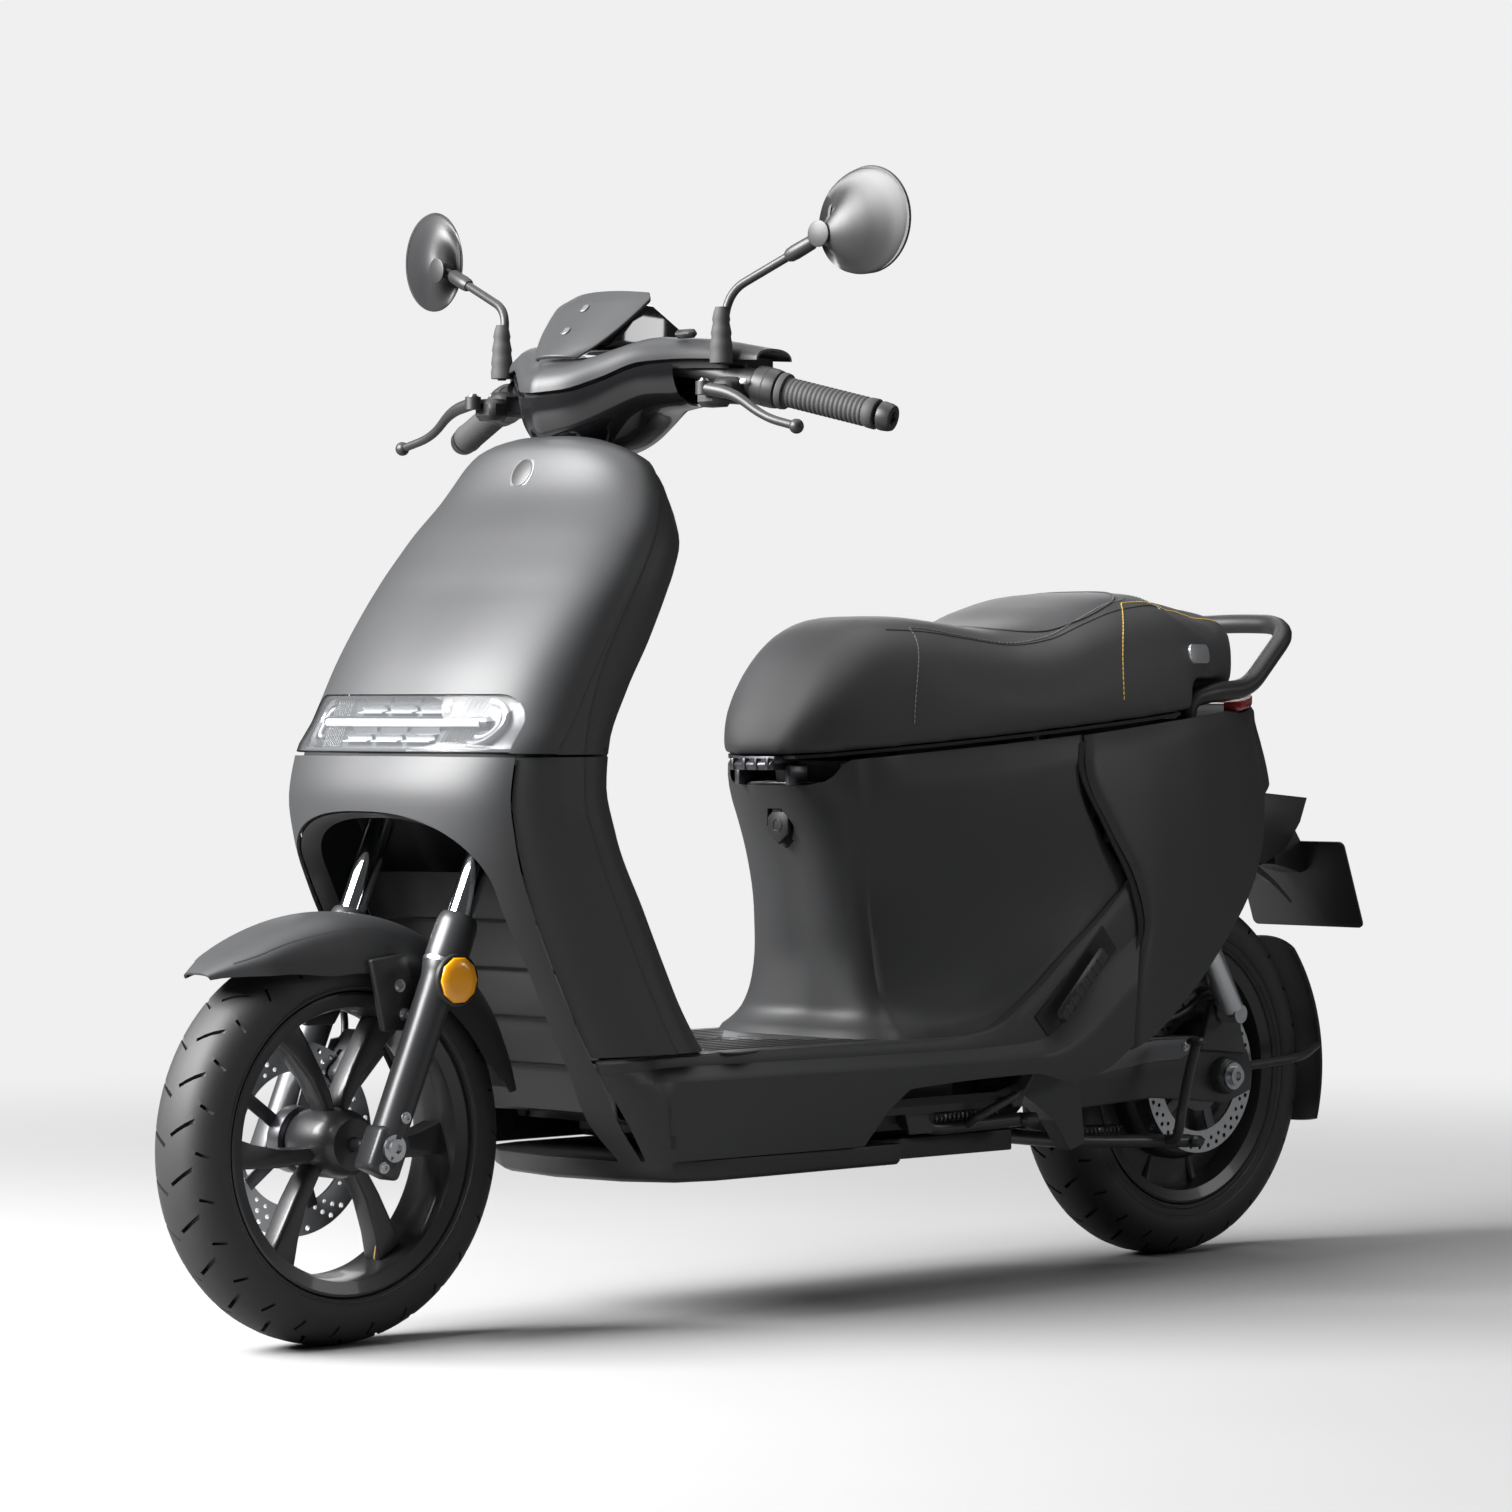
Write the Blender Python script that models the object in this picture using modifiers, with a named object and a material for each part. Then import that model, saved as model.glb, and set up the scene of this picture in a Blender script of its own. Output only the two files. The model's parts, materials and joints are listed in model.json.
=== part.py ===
"""Electric moped scooter, front towards -Y, rider's left towards +X, standing on Z = 0. Metres."""

import math

import bmesh
import bpy
from mathutils import Matrix, Vector

# ---- driving dimensions (Y is counted from the middle of the wheelbase, then shifted by CENTRE_Y) ----
CENTRE_Y = -0.0374
NOSE_POWER = 2.5
SEAM_SHARE = 0.49
FRONT_Y = -0.69
REAR_Y = 0.693
FRONT_RADIUS = 0.2245
REAR_RADIUS = 0.2355
RIM_LIP = 0.1685
RAKE = math.radians(23.5)
WHEEL_STEPS = 28
WALL = 0.003
GAP = 0.0004
FORK_X = 0.095
STANCHION_R = 0.0155
BAR_R = 0.011
GRIP_R = 0.0165
GRIP_START = Vector((0.243, -0.2268, 1.0685))
GRIP_END = Vector((0.360, -0.184, 1.037))
SWING_PIVOT = Vector((0.0, 0.335, 0.232))
SHOCK_TOP = Vector((0.128, 0.545, 0.562))
SHOCK_FOOT = Vector((0.128, 0.686, 0.316))
SEAT_HINGE = Vector((0.0, -0.040, 0.6385))
LID_HINGE = Vector((0, -0.0032, 0.5870))
CENTRE_STAND = Vector((0.0, 0.372, 0.172))
SIDE_STAND = Vector((0.128, 0.096, 0.213))

FRONT_AXLE = Vector((0.0, FRONT_Y, FRONT_RADIUS))
REAR_AXLE = Vector((0.0, REAR_Y, REAR_RADIUS))
STEER = Matrix.Translation(FRONT_AXLE) @ Matrix.Rotation(-RAKE, 4, "X")
SIDEWAYS = Matrix.Rotation(math.pi / 2, 4, "Y")

# ---- stations of the smooth body lines: (height, value) or (fore-aft, value) ----
NOSE_Y = ((0.19, -0.405), (0.25, -0.49), (0.40, -0.583), (0.50, -0.630), (0.56, -0.643), (0.603, -0.6438),
          (0.66, -0.6258), (0.69, -0.6040), (0.76, -0.5671), (0.83, -0.5162), (0.89, -0.4606), (0.95, -0.4100),
          (1.007, -0.385))
CREASE_Y = ((0.19, -0.335), (0.25, -0.352), (0.304, -0.376), (0.333, -0.395), (0.425, -0.445), (0.515, -0.495),
            (0.56, -0.518), (0.603, -0.5338), (0.655, -0.5338), (0.69, -0.5130), (0.76, -0.4731), (0.83, -0.4302),
            (0.89, -0.3896), (0.95, -0.3540), (1.007, -0.330))
SHIELD_W = ((0.19, 0.182), (0.28, 0.190), (0.40, 0.190), (0.50, 0.197), (0.60, 0.205), (0.83, 0.204), (0.89, 0.196),
            (0.95, 0.173), (1.007, 0.143))
SHIELD_REAR_Y = ((0.19, -0.290), (0.31, -0.268), (0.335, -0.285), (0.37, -0.307), (0.414, -0.330), (0.478, -0.366),
                 (0.564, -0.415), (0.62, -0.431), (0.665, -0.427), (0.727, -0.400), (0.784, -0.366),
                 (0.876, -0.321), (0.933, -0.300), (0.975, -0.297), (1.007, -0.303))
CHAMFER = ((0.19, 0.045), (0.50, 0.042), (0.655, 0.040), (0.70, 0.021), (0.76, 0.009), (0.83, 0.005), (1.007, 0.003))
SKIRT_TOP_Z = ((-0.36, 0.308), (0.12, 0.308), (0.19, 0.316), (0.26, 0.353), (0.313, 0.393), (0.367, 0.435),
               (0.44, 0.490))
STRIP_HIGH_Z = ((-0.36, 0.297), (0.12, 0.295), (0.26, 0.300), (0.322, 0.330), (0.367, 0.370), (0.44, 0.430))
STRIP_LOW_Z = ((-0.36, 0.283), (0.12, 0.282), (0.277, 0.286), (0.35, 0.310), (0.386, 0.333), (0.44, 0.372))
SKIRT_LOW_Z = ((-0.36, 0.192), (-0.03, 0.192), (0.025, 0.256), (0.25, 0.264), (0.32, 0.250), (0.38, 0.262),
               (0.44, 0.290))
BARREL_FRONT_Y = ((0.30, -0.020), (0.318, 0.020), (0.345, 0.042), (0.40, 0.044), (0.45, 0.036), (0.537, 0.018),
                  (0.57, 0.004), (0.61, -0.017), (0.66, -0.030))
TAIL_SEAM_Y = ((0.28, 0.428), (0.36, 0.434), (0.398, 0.445), (0.43, 0.456), (0.486, 0.441), (0.556, 0.400),
               (0.637, 0.360), (0.66, 0.366), (0.70, 0.374))
SEAT_LINE_Z = ((-0.04, 0.647), (0.127, 0.661), (0.365, 0.682), (0.60, 0.706), (0.80, 0.726))


def along(stations, t):
    """Height of a smooth line through the stations, with no overshoot between them."""
    if t <= stations[0][0]:
        return stations[0][1]
    if t >= stations[-1][0]:
        return stations[-1][1]
    last = len(stations) - 1
    k = max(i for i in range(last) if stations[i][0] <= t)
    secant = [(stations[i + 1][1] - stations[i][1]) / (stations[i + 1][0] - stations[i][0]) for i in range(last)]

    def slope(i):
        if i == 0 or i == last:
            return secant[min(i, last - 1)]
        if secant[i - 1] * secant[i] <= 0:
            return 0.0
        return 2 * secant[i - 1] * secant[i] / (secant[i - 1] + secant[i])

    span = stations[k + 1][0] - stations[k][0]
    u = (t - stations[k][0]) / span
    return (stations[k][1] * (1 + 2 * u) * (1 - u) ** 2 + slope(k) * span * u * (1 - u) ** 2
            + stations[k + 1][1] * u * u * (3 - 2 * u) + slope(k + 1) * span * u * u * (u - 1))


def spread(low, high, count):
    return [low + (high - low) * i / (count - 1) for i in range(count)]


def power(value, exponent):
    return math.copysign(abs(value) ** exponent, value)


# ---- modelling helpers ----
def clear_scene():
    for obj in list(bpy.data.objects):
        bpy.data.objects.remove(obj, do_unlink=True)


def new_collection(name):
    group = bpy.data.collections.new(name)
    bpy.context.scene.collection.children.link(group)
    return group


def look(name, colour, roughness, metallic=0.0):
    material = bpy.data.materials.new(name)
    material.use_nodes = True
    shader = material.node_tree.nodes["Principled BSDF"]
    shader.inputs["Base Color"].default_value = (*colour, 1.0)
    shader.inputs["Roughness"].default_value = roughness
    shader.inputs["Metallic"].default_value = metallic
    return material


def add_object(name, mesh, group=None):
    obj = bpy.data.objects.new(name, mesh)
    (group or PARTS).objects.link(obj)
    return obj


def from_bmesh(name, bm, group=None):
    mesh = bpy.data.meshes.new(name)
    bmesh.ops.recalc_face_normals(bm, faces=bm.faces)
    bm.to_mesh(mesh)
    bm.free()
    return add_object(name, mesh, group)


def evaluated(obj):
    """A plain object with the modifiers of obj applied and its placing kept; obj is removed."""
    bpy.context.view_layer.update()
    mesh = bpy.data.meshes.new_from_object(obj.evaluated_get(bpy.context.evaluated_depsgraph_get()))
    bm = bmesh.new()
    bm.from_mesh(mesh)
    bmesh.ops.remove_doubles(bm, verts=bm.verts, dist=0.00002)
    bm.to_mesh(mesh)
    bm.free()
    name = obj.name
    placing = obj.matrix_world.copy()
    bpy.data.objects.remove(obj, do_unlink=True)
    plain = add_object(name, mesh, TOOLS)
    plain.matrix_world = placing
    return plain


def combine(name, pieces, operation="UNION"):
    """One solid from the first piece and the others, which are used up."""
    base = pieces[0]
    for other in pieces[1:]:
        step = base.modifiers.new("join", "BOOLEAN")
        step.operation = operation
        step.solver = "EXACT"
        step.object = other
    joined = evaluated(base)
    for other in pieces[1:]:
        bpy.data.objects.remove(other, do_unlink=True)
    joined.name = name
    return joined


def finish(obj, name, material, pivot=None, smooth=True):
    """Make the piece a named part: its material, shading, and its origin on the pivot."""
    if obj.modifiers and pivot is not None:
        obj = evaluated(obj)
    if pivot is not None:
        bpy.context.view_layer.update()
        obj.data.transform(Matrix.Translation(-Vector(pivot)) @ obj.matrix_world)
        obj.matrix_world = Matrix.Translation(pivot)
    for group in list(obj.users_collection):
        group.objects.unlink(obj)
    PARTS.objects.link(obj)
    obj.name = name
    obj.data.materials.clear()
    obj.data.materials.append(material)
    if smooth:
        obj.data.shade_smooth()
    return obj


def sheet(rows, wall, side=-1.0, closed=False):
    """A thin wall over a grid of points."""
    bm = bmesh.new()
    verts = [[bm.verts.new(point) for point in row] for row in rows]
    across = len(rows[0])
    for low, high in zip(verts, verts[1:]):
        for i in range(across if closed else across - 1):
            j = (i + 1) % across
            bm.faces.new((low[i], low[j], high[j], high[i]))
    mesh = bpy.data.meshes.new("sheet")
    bm.to_mesh(mesh)
    bm.free()
    obj = add_object("sheet", mesh, TOOLS)
    skin = obj.modifiers.new("wall", "SOLIDIFY")
    skin.thickness = wall
    skin.offset = side
    skin.use_even_offset = True
    return obj


def loft(rings):
    """A solid through closed rings of points, with flat ends."""
    bm = bmesh.new()
    verts = [[bm.verts.new(point) for point in ring] for ring in rings]
    count = len(rings[0])
    for low, high in zip(verts, verts[1:]):
        for i in range(count):
            bm.faces.new((low[i], low[(i + 1) % count], high[(i + 1) % count], high[i]))
    bm.faces.new(verts[0])
    bm.faces.new(verts[-1])
    return from_bmesh("loft", bm, TOOLS)


def turned(profile, placing, steps=24, ring=False):
    """A solid turned about local Z; the profile runs down the outer side, closed when it is a ring."""
    bm = bmesh.new()
    verts = [bm.verts.new((radius, 0.0, height)) for radius, height in profile]
    for low, high in zip(verts, verts[1:]):
        bm.edges.new((low, high))
    if ring:
        bm.edges.new((verts[-1], verts[0]))
    mesh = bpy.data.meshes.new("turned")
    bm.to_mesh(mesh)
    bm.free()
    obj = add_object("turned", mesh, TOOLS)
    screw = obj.modifiers.new("turn", "SCREW")
    screw.steps = steps
    screw.render_steps = steps
    screw.use_merge_vertices = True
    screw.merge_threshold = 0.00001
    screw.use_normal_calculate = True
    obj.matrix_world = placing
    plain = evaluated(obj)
    bm = bmesh.new()
    bm.from_mesh(plain.data)
    bmesh.ops.recalc_face_normals(bm, faces=bm.faces)
    bm.to_mesh(plain.data)
    bm.free()
    return plain


def wheel_ring(profile, axle, steps=WHEEL_STEPS, ring=True):
    """A turned wheel piece: profile of (radius, sideways offset), with a flat of the polygon downwards."""
    grown = 1.0 / math.cos(math.pi / steps)
    placing = Matrix.Translation(axle) @ SIDEWAYS @ Matrix.Rotation(math.pi / steps, 4, "Z")
    return turned([(radius * grown, offset) for radius, offset in profile], placing, steps, ring)


def rod(points, radius, sides=8):
    """A round bar along the points."""
    curve = bpy.data.curves.new("rod", "CURVE")
    curve.dimensions = "3D"
    curve.bevel_depth = radius
    curve.bevel_resolution = max(0, sides // 4 - 1)
    curve.use_fill_caps = True
    spline = curve.splines.new("POLY")
    spline.points.add(len(points) - 1)
    for place, point in zip(spline.points, points):
        place.co = (*point, 1.0)
    return evaluated(add_object("rod", curve, TOOLS))


def bent(points, radius, steps=2):
    """The corner points of a bent bar, each corner replaced by an arc-like curve."""
    points = [Vector(p) for p in points]
    path = [points[0]]
    for before, corner, after in zip(points, points[1:], points[2:]):
        reach = min(radius, (corner - before).length * 0.45, (after - corner).length * 0.45)
        start = corner + (before - corner).normalized() * reach
        stop = corner + (after - corner).normalized() * reach
        for i in range(steps + 1):
            u = i / steps
            path.append(start * (1 - u) ** 2 + corner * 2 * u * (1 - u) + stop * u * u)
    path.append(points[-1])
    return path


def block(centre, size, bevel=0.003, turn=None):
    """A box with rounded edges."""
    bm = bmesh.new()
    bmesh.ops.create_cube(bm, size=1.0)
    bmesh.ops.scale(bm, vec=Vector(size), verts=bm.verts)
    if bevel:
        bmesh.ops.bevel(bm, geom=list(bm.edges), offset=bevel, segments=1, affect="EDGES", profile=0.5)
    obj = from_bmesh("block", bm, TOOLS)
    obj.matrix_world = Matrix.Translation(centre) @ (turn or Matrix.Identity(4))
    return obj


def pin(start, stop, radius, sides=12, top_radius=None):
    """A round solid between two points."""
    start = Vector(start)
    stop = Vector(stop)
    bm = bmesh.new()
    bmesh.ops.create_cone(bm, cap_ends=True, segments=sides, radius1=radius,
                          radius2=radius if top_radius is None else top_radius, depth=(stop - start).length)
    obj = from_bmesh("pin", bm, TOOLS)
    obj.matrix_world = (Matrix.Translation((start + stop) / 2)
                        @ (stop - start).to_track_quat("Z", "Y").to_matrix().to_4x4())
    return obj


def plate(outline, thickness, placing):
    """A flat piece: the outline lies in the placing's own XY plane, centred through its thickness."""
    curve = bpy.data.curves.new("plate", "CURVE")
    curve.dimensions = "2D"
    curve.fill_mode = "BOTH"
    curve.extrude = thickness / 2
    spline = curve.splines.new("POLY")
    spline.points.add(len(outline) - 1)
    for place, point in zip(spline.points, outline):
        place.co = (point[0], point[1], 0.0, 1.0)
    spline.use_cyclic_u = True
    obj = add_object("plate", curve, TOOLS)
    obj.matrix_world = placing
    return evaluated(obj)


def side_plate(outline, x, thickness):
    """A flat piece in a fore-aft plane at x: the outline is of (y, z)."""
    placing = Matrix(((0, 0, 1, x), (1, 0, 0, 0), (0, 1, 0, 0), (0, 0, 0, 1)))
    return plate(outline, thickness, placing)


def front_plate(outline, y, thickness):
    """A flat piece in a crosswise plane at y: the outline is of (x, z)."""
    placing = Matrix(((1, 0, 0, 0), (0, 0, -1, y), (0, 1, 0, 0), (0, 0, 0, 1)))
    return plate(outline, thickness, placing)


def rounded_outline(low, high, radius, steps=4, corners=(True, True, True, True)):
    """A rectangle's outline with rounded corners, from its low-left corner anticlockwise."""
    places = ((low[0], low[1], math.pi), (high[0], low[1], 1.5 * math.pi), (high[0], high[1], 0.0),
              (low[0], high[1], 0.5 * math.pi))
    points = []
    for (x, y, start), is_round in zip(places, corners):
        if not is_round:
            points.append((x, y))
            continue
        cx = x + radius if x == low[0] else x - radius
        cy = y + radius if y == low[1] else y - radius
        for i in range(steps + 1):
            a = start + 0.5 * math.pi * i / steps
            points.append((cx + radius * math.cos(a), cy + radius * math.sin(a)))
    return points


def mirrored(obj):
    """A copy of the piece on the other side."""
    other = add_object(obj.name + ".other", obj.data.copy(), TOOLS)
    other.data.transform(obj.matrix_world)
    other.data.transform(Matrix.Scale(-1, 4, (1, 0, 0)))
    other.data.flip_normals()
    return other


def both(maker):
    """The piece on the left and its mirror image on the right."""
    left = maker()
    bpy.context.view_layer.update()
    return [left, mirrored(left)]


# ---- the apron: front panel, nose panel, leg shield ----
def axis_y(z):
    """Fore-aft place of the steering axis at a height."""
    return FRONT_Y + (z - FRONT_RADIUS) * math.tan(RAKE)


def apron_scale(z):
    return along(((0.95, 1.0), (0.975, 0.985), (0.99, 0.94), (1.0, 0.82), (1.007, 0.64)), z)


def apron_place(x, y, z):
    """Top rows shrink towards the steering axis and tilt square to it."""
    k = apron_scale(z)
    centre = axis_y(z)
    y = centre + (y - centre) * k
    tilt = along(((0.84, 0.0), (0.96, 0.36), (1.0, 0.4348)), z)
    return (x * k, y, z - tilt * (y - centre))


def nose_point(z, angle):
    """Front wrap: angle 0 is the left crease, 90 degrees the nose, 180 the right crease."""
    w = along(SHIELD_W, z)
    rear = along(CREASE_Y, z)
    depth = rear - along(NOSE_Y, z)
    x = w * power(math.cos(angle), 2 / NOSE_POWER)
    y = rear - depth * abs(math.sin(angle)) ** (2 / NOSE_POWER)
    return apron_place(x, y, z)


def shield_ring(z, start):
    """Leg shield section from the left seam round the rear to the right seam."""
    w = along(SHIELD_W, z)
    crease = along(CREASE_Y, z)
    rear = along(SHIELD_REAR_Y, z)
    depth = rear - crease
    left = [nose_point(z, start * k / 2) for k in (2, 1)] if start > 0.01 else [
        nose_point(z, 0.0), apron_place(w - 0.0002, crease + 0.002, z)]
    back = min(along(CHAMFER, z), depth * 0.45)
    wall = rear - 0.020 - crease - back
    half = [(w + 0.0005, crease + 0.003), (w, crease + back), (w - 0.006, crease + back + wall * 0.5),
            (w - 0.018, rear - 0.020), (w - 0.032, rear - 0.003), (w - 0.052, rear + 0.006), (0.05, rear + 0.010)]
    left += [apron_place(x, y, z) for x, y in half]
    right = [(-x, y, q) for x, y, q in reversed(left)]
    return left + [apron_place(0.0, rear + 0.011, z)] + right


SEAM_ANGLE = math.asin(SEAM_SHARE ** (NOSE_POWER / 2))
HEAD_OUTLINE = rounded_outline((-0.1870, 0.6570), (0.1870, 0.7225), 0.036, 5, (False, False, True, True))
GLASS_OUTLINE = rounded_outline((-0.1862, 0.6576), (0.1862, 0.7217), 0.036, 5, (False, False, True, True))


def build_front_panel():
    heights = [0.6565, 0.69, 0.74, 0.80, 0.86, 0.92, 0.96, 0.985, 1.0, 1.007]
    angles = spread(0.006, math.pi - 0.006, 17)
    skin = sheet([[nose_point(z, a) for a in angles] for z in heights], WALL)
    window = front_plate(HEAD_OUTLINE, -0.62, 0.34)
    return finish(combine("front_panel", [skin, window], "DIFFERENCE"), "front_panel", MATT_BLACK)


def build_headlight():
    heights = spread(0.6565, 0.7225, 4)
    angles = spread(0.35, math.pi - 0.35, 15)
    skin = sheet([[nose_point(z, a) for a in angles] for z in heights], 0.0022)
    edge = front_plate(GLASS_OUTLINE, -0.62, 0.34)
    finish(combine("headlight_lens", [skin, edge], "INTERSECT"), "headlight_lens", LENS)
    heights = spread(0.6600, 0.7190, 4)
    angles = spread(0.52, math.pi - 0.52, 11)
    rows = [[Vector(nose_point(z, a)) * 1.0 for a in angles] for z in heights]
    rows = [[(p.x * 0.93, p.y + 0.030, p.z) for p in row] for row in rows]
    tray = sheet(rows, 0.012)
    bar = rod([(x, along(NOSE_Y, 0.69) + 0.0260 + 1.1 * x * x, 0.6895) for x in spread(-0.131, 0.131, 7)], 0.0042, 8)
    lamps = []
    for z in (0.7035, 0.6735):
        for x in (-0.050, 0.0, 0.050):
            lamps.append(block((x, along(NOSE_Y, z) + 0.029 + 1.0 * x * x, z), (0.040, 0.022, 0.013), 0.0))
    finish(combine("headlight_unit", [tray, bar] + lamps), "headlight_unit", SILVER)


def build_nose_panel():
    heights = [0.205, 0.24, 0.29, 0.36, 0.44, 0.51, 0.56, 0.60, 0.63, 0.6525]
    gap = 0.012
    angles = spread(SEAM_ANGLE + gap, math.pi - SEAM_ANGLE - gap, 17)
    skin = sheet([[nose_point(z, a) for a in angles] for z in heights], WALL)
    arch = [(-0.150, 0.190), (0.150, 0.190), (0.162, 0.30), (0.164, 0.42), (0.165, 0.50)]
    arch += [(0.165 * power(math.cos(a), 0.8), 0.50 + 0.092 * math.sin(a) ** 0.8) for a in spread(0.25, math.pi - 0.25, 11)]
    arch += [(-0.165, 0.50), (-0.164, 0.42), (-0.162, 0.30)]
    opening = front_plate(arch, -0.55, 0.50)
    return finish(combine("nose_panel", [skin, opening], "DIFFERENCE"), "nose_panel", MATT_BLACK)


def build_leg_shield():
    heights = [0.3155, 0.35, 0.40, 0.48, 0.57, 0.6525, 0.6555, 0.74, 0.82, 0.89, 0.95, 0.985, 1.0, 1.007]
    rows = []
    for z in heights:
        start = SEAM_ANGLE - 0.012 if z < 0.654 else 0.0
        rows.append(shield_ring(z, start))
    return finish(sheet(rows, WALL), "leg_shield", MATT_BLACK)


def louvre_y(x, z):
    """The panel behind the front wheel is hollowed towards its middle."""
    edge = along(CREASE_Y, z) - 0.048
    hollow = along(((0.20, 0.045), (0.28, 0.055), (0.36, 0.060), (0.46, 0.085), (0.57, 0.105)), z)
    return edge + hollow * (1 - (x / 0.150) ** 2) ** 0.36


def build_louvre_panel():
    rows = []
    width = [0.15 * math.sin(a) for a in spread(-math.pi / 2 + 0.05, math.pi / 2 - 0.05, 9)]
    z = 0.2405
    while z < 0.50:
        step = 0.056
        rows.append([(x, louvre_y(x, z) + 0.007, z) for x in width])
        rows.append([(x, louvre_y(x, z + 0.004), z + 0.004) for x in width])
        z += step
    rows.append([(x, louvre_y(x, z) + 0.004, z) for x in width])
    return finish(sheet(rows, WALL, 1.0), "louvre_panel", SATIN_BLACK)


def build_belly_tray():
    def ring(z, grow):
        left = [(0.162, 0.29), (0.166, 0.10), (0.166, -0.28), (0.158, -0.335), (0.10, -0.372)]
        half = [(x * grow, y * grow if y < 0 else y, z) for x, y in left]
        return half + [(0.0, -0.388 * grow, z)] + [(-x, y, q) for x, y, q in reversed(half)]

    shell = loft([ring(0.1645, 0.96), ring(0.1700, 1.0), ring(0.1900, 1.0)])
    hollow = block((0, -0.03, 0.1830), (0.296, 0.52, 0.024), 0.0)
    stand_room = block((0.148, 0.180, 0.1800), (0.066, 0.270, 0.040), 0.0)
    return finish(combine("belly_tray", [shell, hollow, stand_room], "DIFFERENCE"), "belly_tray", SATIN_BLACK, smooth=False)


# ---- floor and side skirts ----
def seam_y(z):
    """Fore-aft place of the seam behind the nose panel."""
    crease = along(CREASE_Y, z)
    return crease - SEAM_SHARE * (crease - along(NOSE_Y, z))


def skirt_x(y, z):
    """Outboard place of the side skirt; ahead of the crease it wraps round with the nose."""
    crease = along(CREASE_Y, z)
    if y < crease:
        ahead = (crease - y) / (crease - along(NOSE_Y, z))
        return along(SHIELD_W, z) * (1 - ahead ** NOSE_POWER) ** (1 / NOSE_POWER)
    swell = along(((-0.36, 0.184), (-0.25, 0.189), (0.10, 0.190), (0.30, 0.192), (0.44, 0.190)), y)
    tuck = 0.016 * ((0.285 - z) / 0.095) ** 2 if z < 0.285 else 0.0
    return swell - tuck


def floor_section(y):
    """Left half from the skirt's lower edge up and in over the floor."""
    top = along(SKIRT_TOP_Z, y)
    high = along(STRIP_HIGH_Z, y)
    low = along(STRIP_LOW_Z, y)
    foot = along(SKIRT_LOW_Z, y)
    rise = min(1.0, max(0.0, (y - 0.10) / 0.25))
    inset = (0.020 - 0.006 * rise) * min(1.0, max(0.0, (y + 0.42) / 0.10))
    points = []
    for z, shift in ((foot, 0.0), ((foot + low) / 2, 0.0), (low, 0.0), (high, inset * 0.9), (top, inset)):
        place = y
        if y < -0.3335:
            front = seam_y(z) + 0.002
            place = front + (y + 0.45) / (0.45 - 0.3335) * (-0.3335 - front)
        if y > 0.30:
            place += (along(TAIL_SEAM_Y, z) - 0.0030 - 0.44) * ((y - 0.30) / 0.14) ** 1.5
        points.append((skirt_x(place, z) - shift, place, z))
    return points


def build_floor():
    stations = [-0.45, -0.40, -0.3335, -0.22, -0.10, -0.03, 0.025, 0.12, 0.17, 0.22, 0.27, 0.32, 0.38, 0.44]

    def skirt():
        flat = []
        for y in stations:
            points = floor_section(y)
            x, _, z = points[-1]
            flat.append(points + [(x - 0.014, points[-1][1], z + 0.0006)])
        return sheet(flat, WALL)

    left, right = both(lambda: evaluated(skirt()))
    deck_rows = []
    for y in spread(-0.288, 0.200, 4):
        deck_rows.append([(x, y, 0.3092) for x in spread(-0.1650, 0.1650, 7)])
    deck = sheet(deck_rows, 0.0042, -1.0)
    deck_solid = evaluated(deck)
    finish(combine("floor_pan", [deck_solid, left, right]), "floor_pan", MATT_BLACK)
    mat = plate(rounded_outline((-0.145, -0.250), (0.145, -0.004), 0.030), 0.003,
                Matrix.Translation((0, 0, 0.3112)))
    ribs = []
    for k in range(7):
        x = 0.020 * (k - 3) * 2.05
        ribs.append(block((x, -0.128, 0.3130), (0.010, 0.20 - 0.012 * abs(k - 3), 0.004), 0.0012))
    finish(combine("floor_mat", [mat] + ribs), "floor_mat", RUBBER, smooth=False)


# ---- body under the seat ----
def barrel_side(y, z):
    """Half width of the body under the seat."""
    top = along(((-0.03, 0.0), (0.0, 0.078), (0.05, 0.112), (0.155, 0.138), (0.25, 0.156), (0.36, 0.169),
                 (0.45, 0.174)), y)
    waist = along(((0.0, 0.0), (0.05, 0.086), (0.10, 0.108), (0.18, 0.130), (0.27, 0.148), (0.36, 0.163),
                   (0.45, 0.175)), y)
    mix = along(((0.33, 1.0), (0.46, 1.0), (0.62, 0.0), (0.70, 0.0)), z)
    flare = 0.0
    if y > 0.02:
        edge = along(SKIRT_TOP_Z, y) + 0.002
        flare = max(0.0, skirt_x(y, 0.3) - 0.0215 - top * (1 - mix) - waist * mix) * math.exp(-max(0.0, z - edge) / 0.035)
    return top * (1 - mix) + waist * mix + flare


def body_point(t, r):
    """t runs 0 at the front centre to 1 at the tail seam; r runs 0 at the seat line to 1 at the bottom."""
    back = along(TAIL_SEAM_Y, 0.672 - 0.184 * r) - 0.0012
    front = t < 0.28
    if front:
        turn = t / 0.28 * math.pi / 2
        y_top = along(BARREL_FRONT_Y, 0.612) + 0.062 * (1 - math.cos(turn))
    else:
        turn = math.pi / 2
        y_top = 0.045 + (back - 0.045) * (t - 0.28) / 0.72
    z_top = along(SEAT_LINE_Z, y_top) - 0.0075
    if y_top < 0.02:
        z_top = 0.6145 + (z_top - 0.6145) * max(0.0, (y_top + 0.012) / 0.032) ** 2 if y_top > -0.012 else 0.6145
    z_low = 0.3145 if y_top < 0.10 else along(SKIRT_TOP_Z, y_top) + 0.0090
    z = z_top + (z_low - z_top) * r
    shift = along(BARREL_FRONT_Y, z) - along(BARREL_FRONT_Y, 0.612)
    y = y_top + shift * max(0.0, 1 - t / 0.45)
    if front:
        x = barrel_side(0.047 + shift * 0.4, z) * math.sin(turn) ** 0.85
    else:
        x = barrel_side(y, z)
    return (x, y, z)


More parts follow.
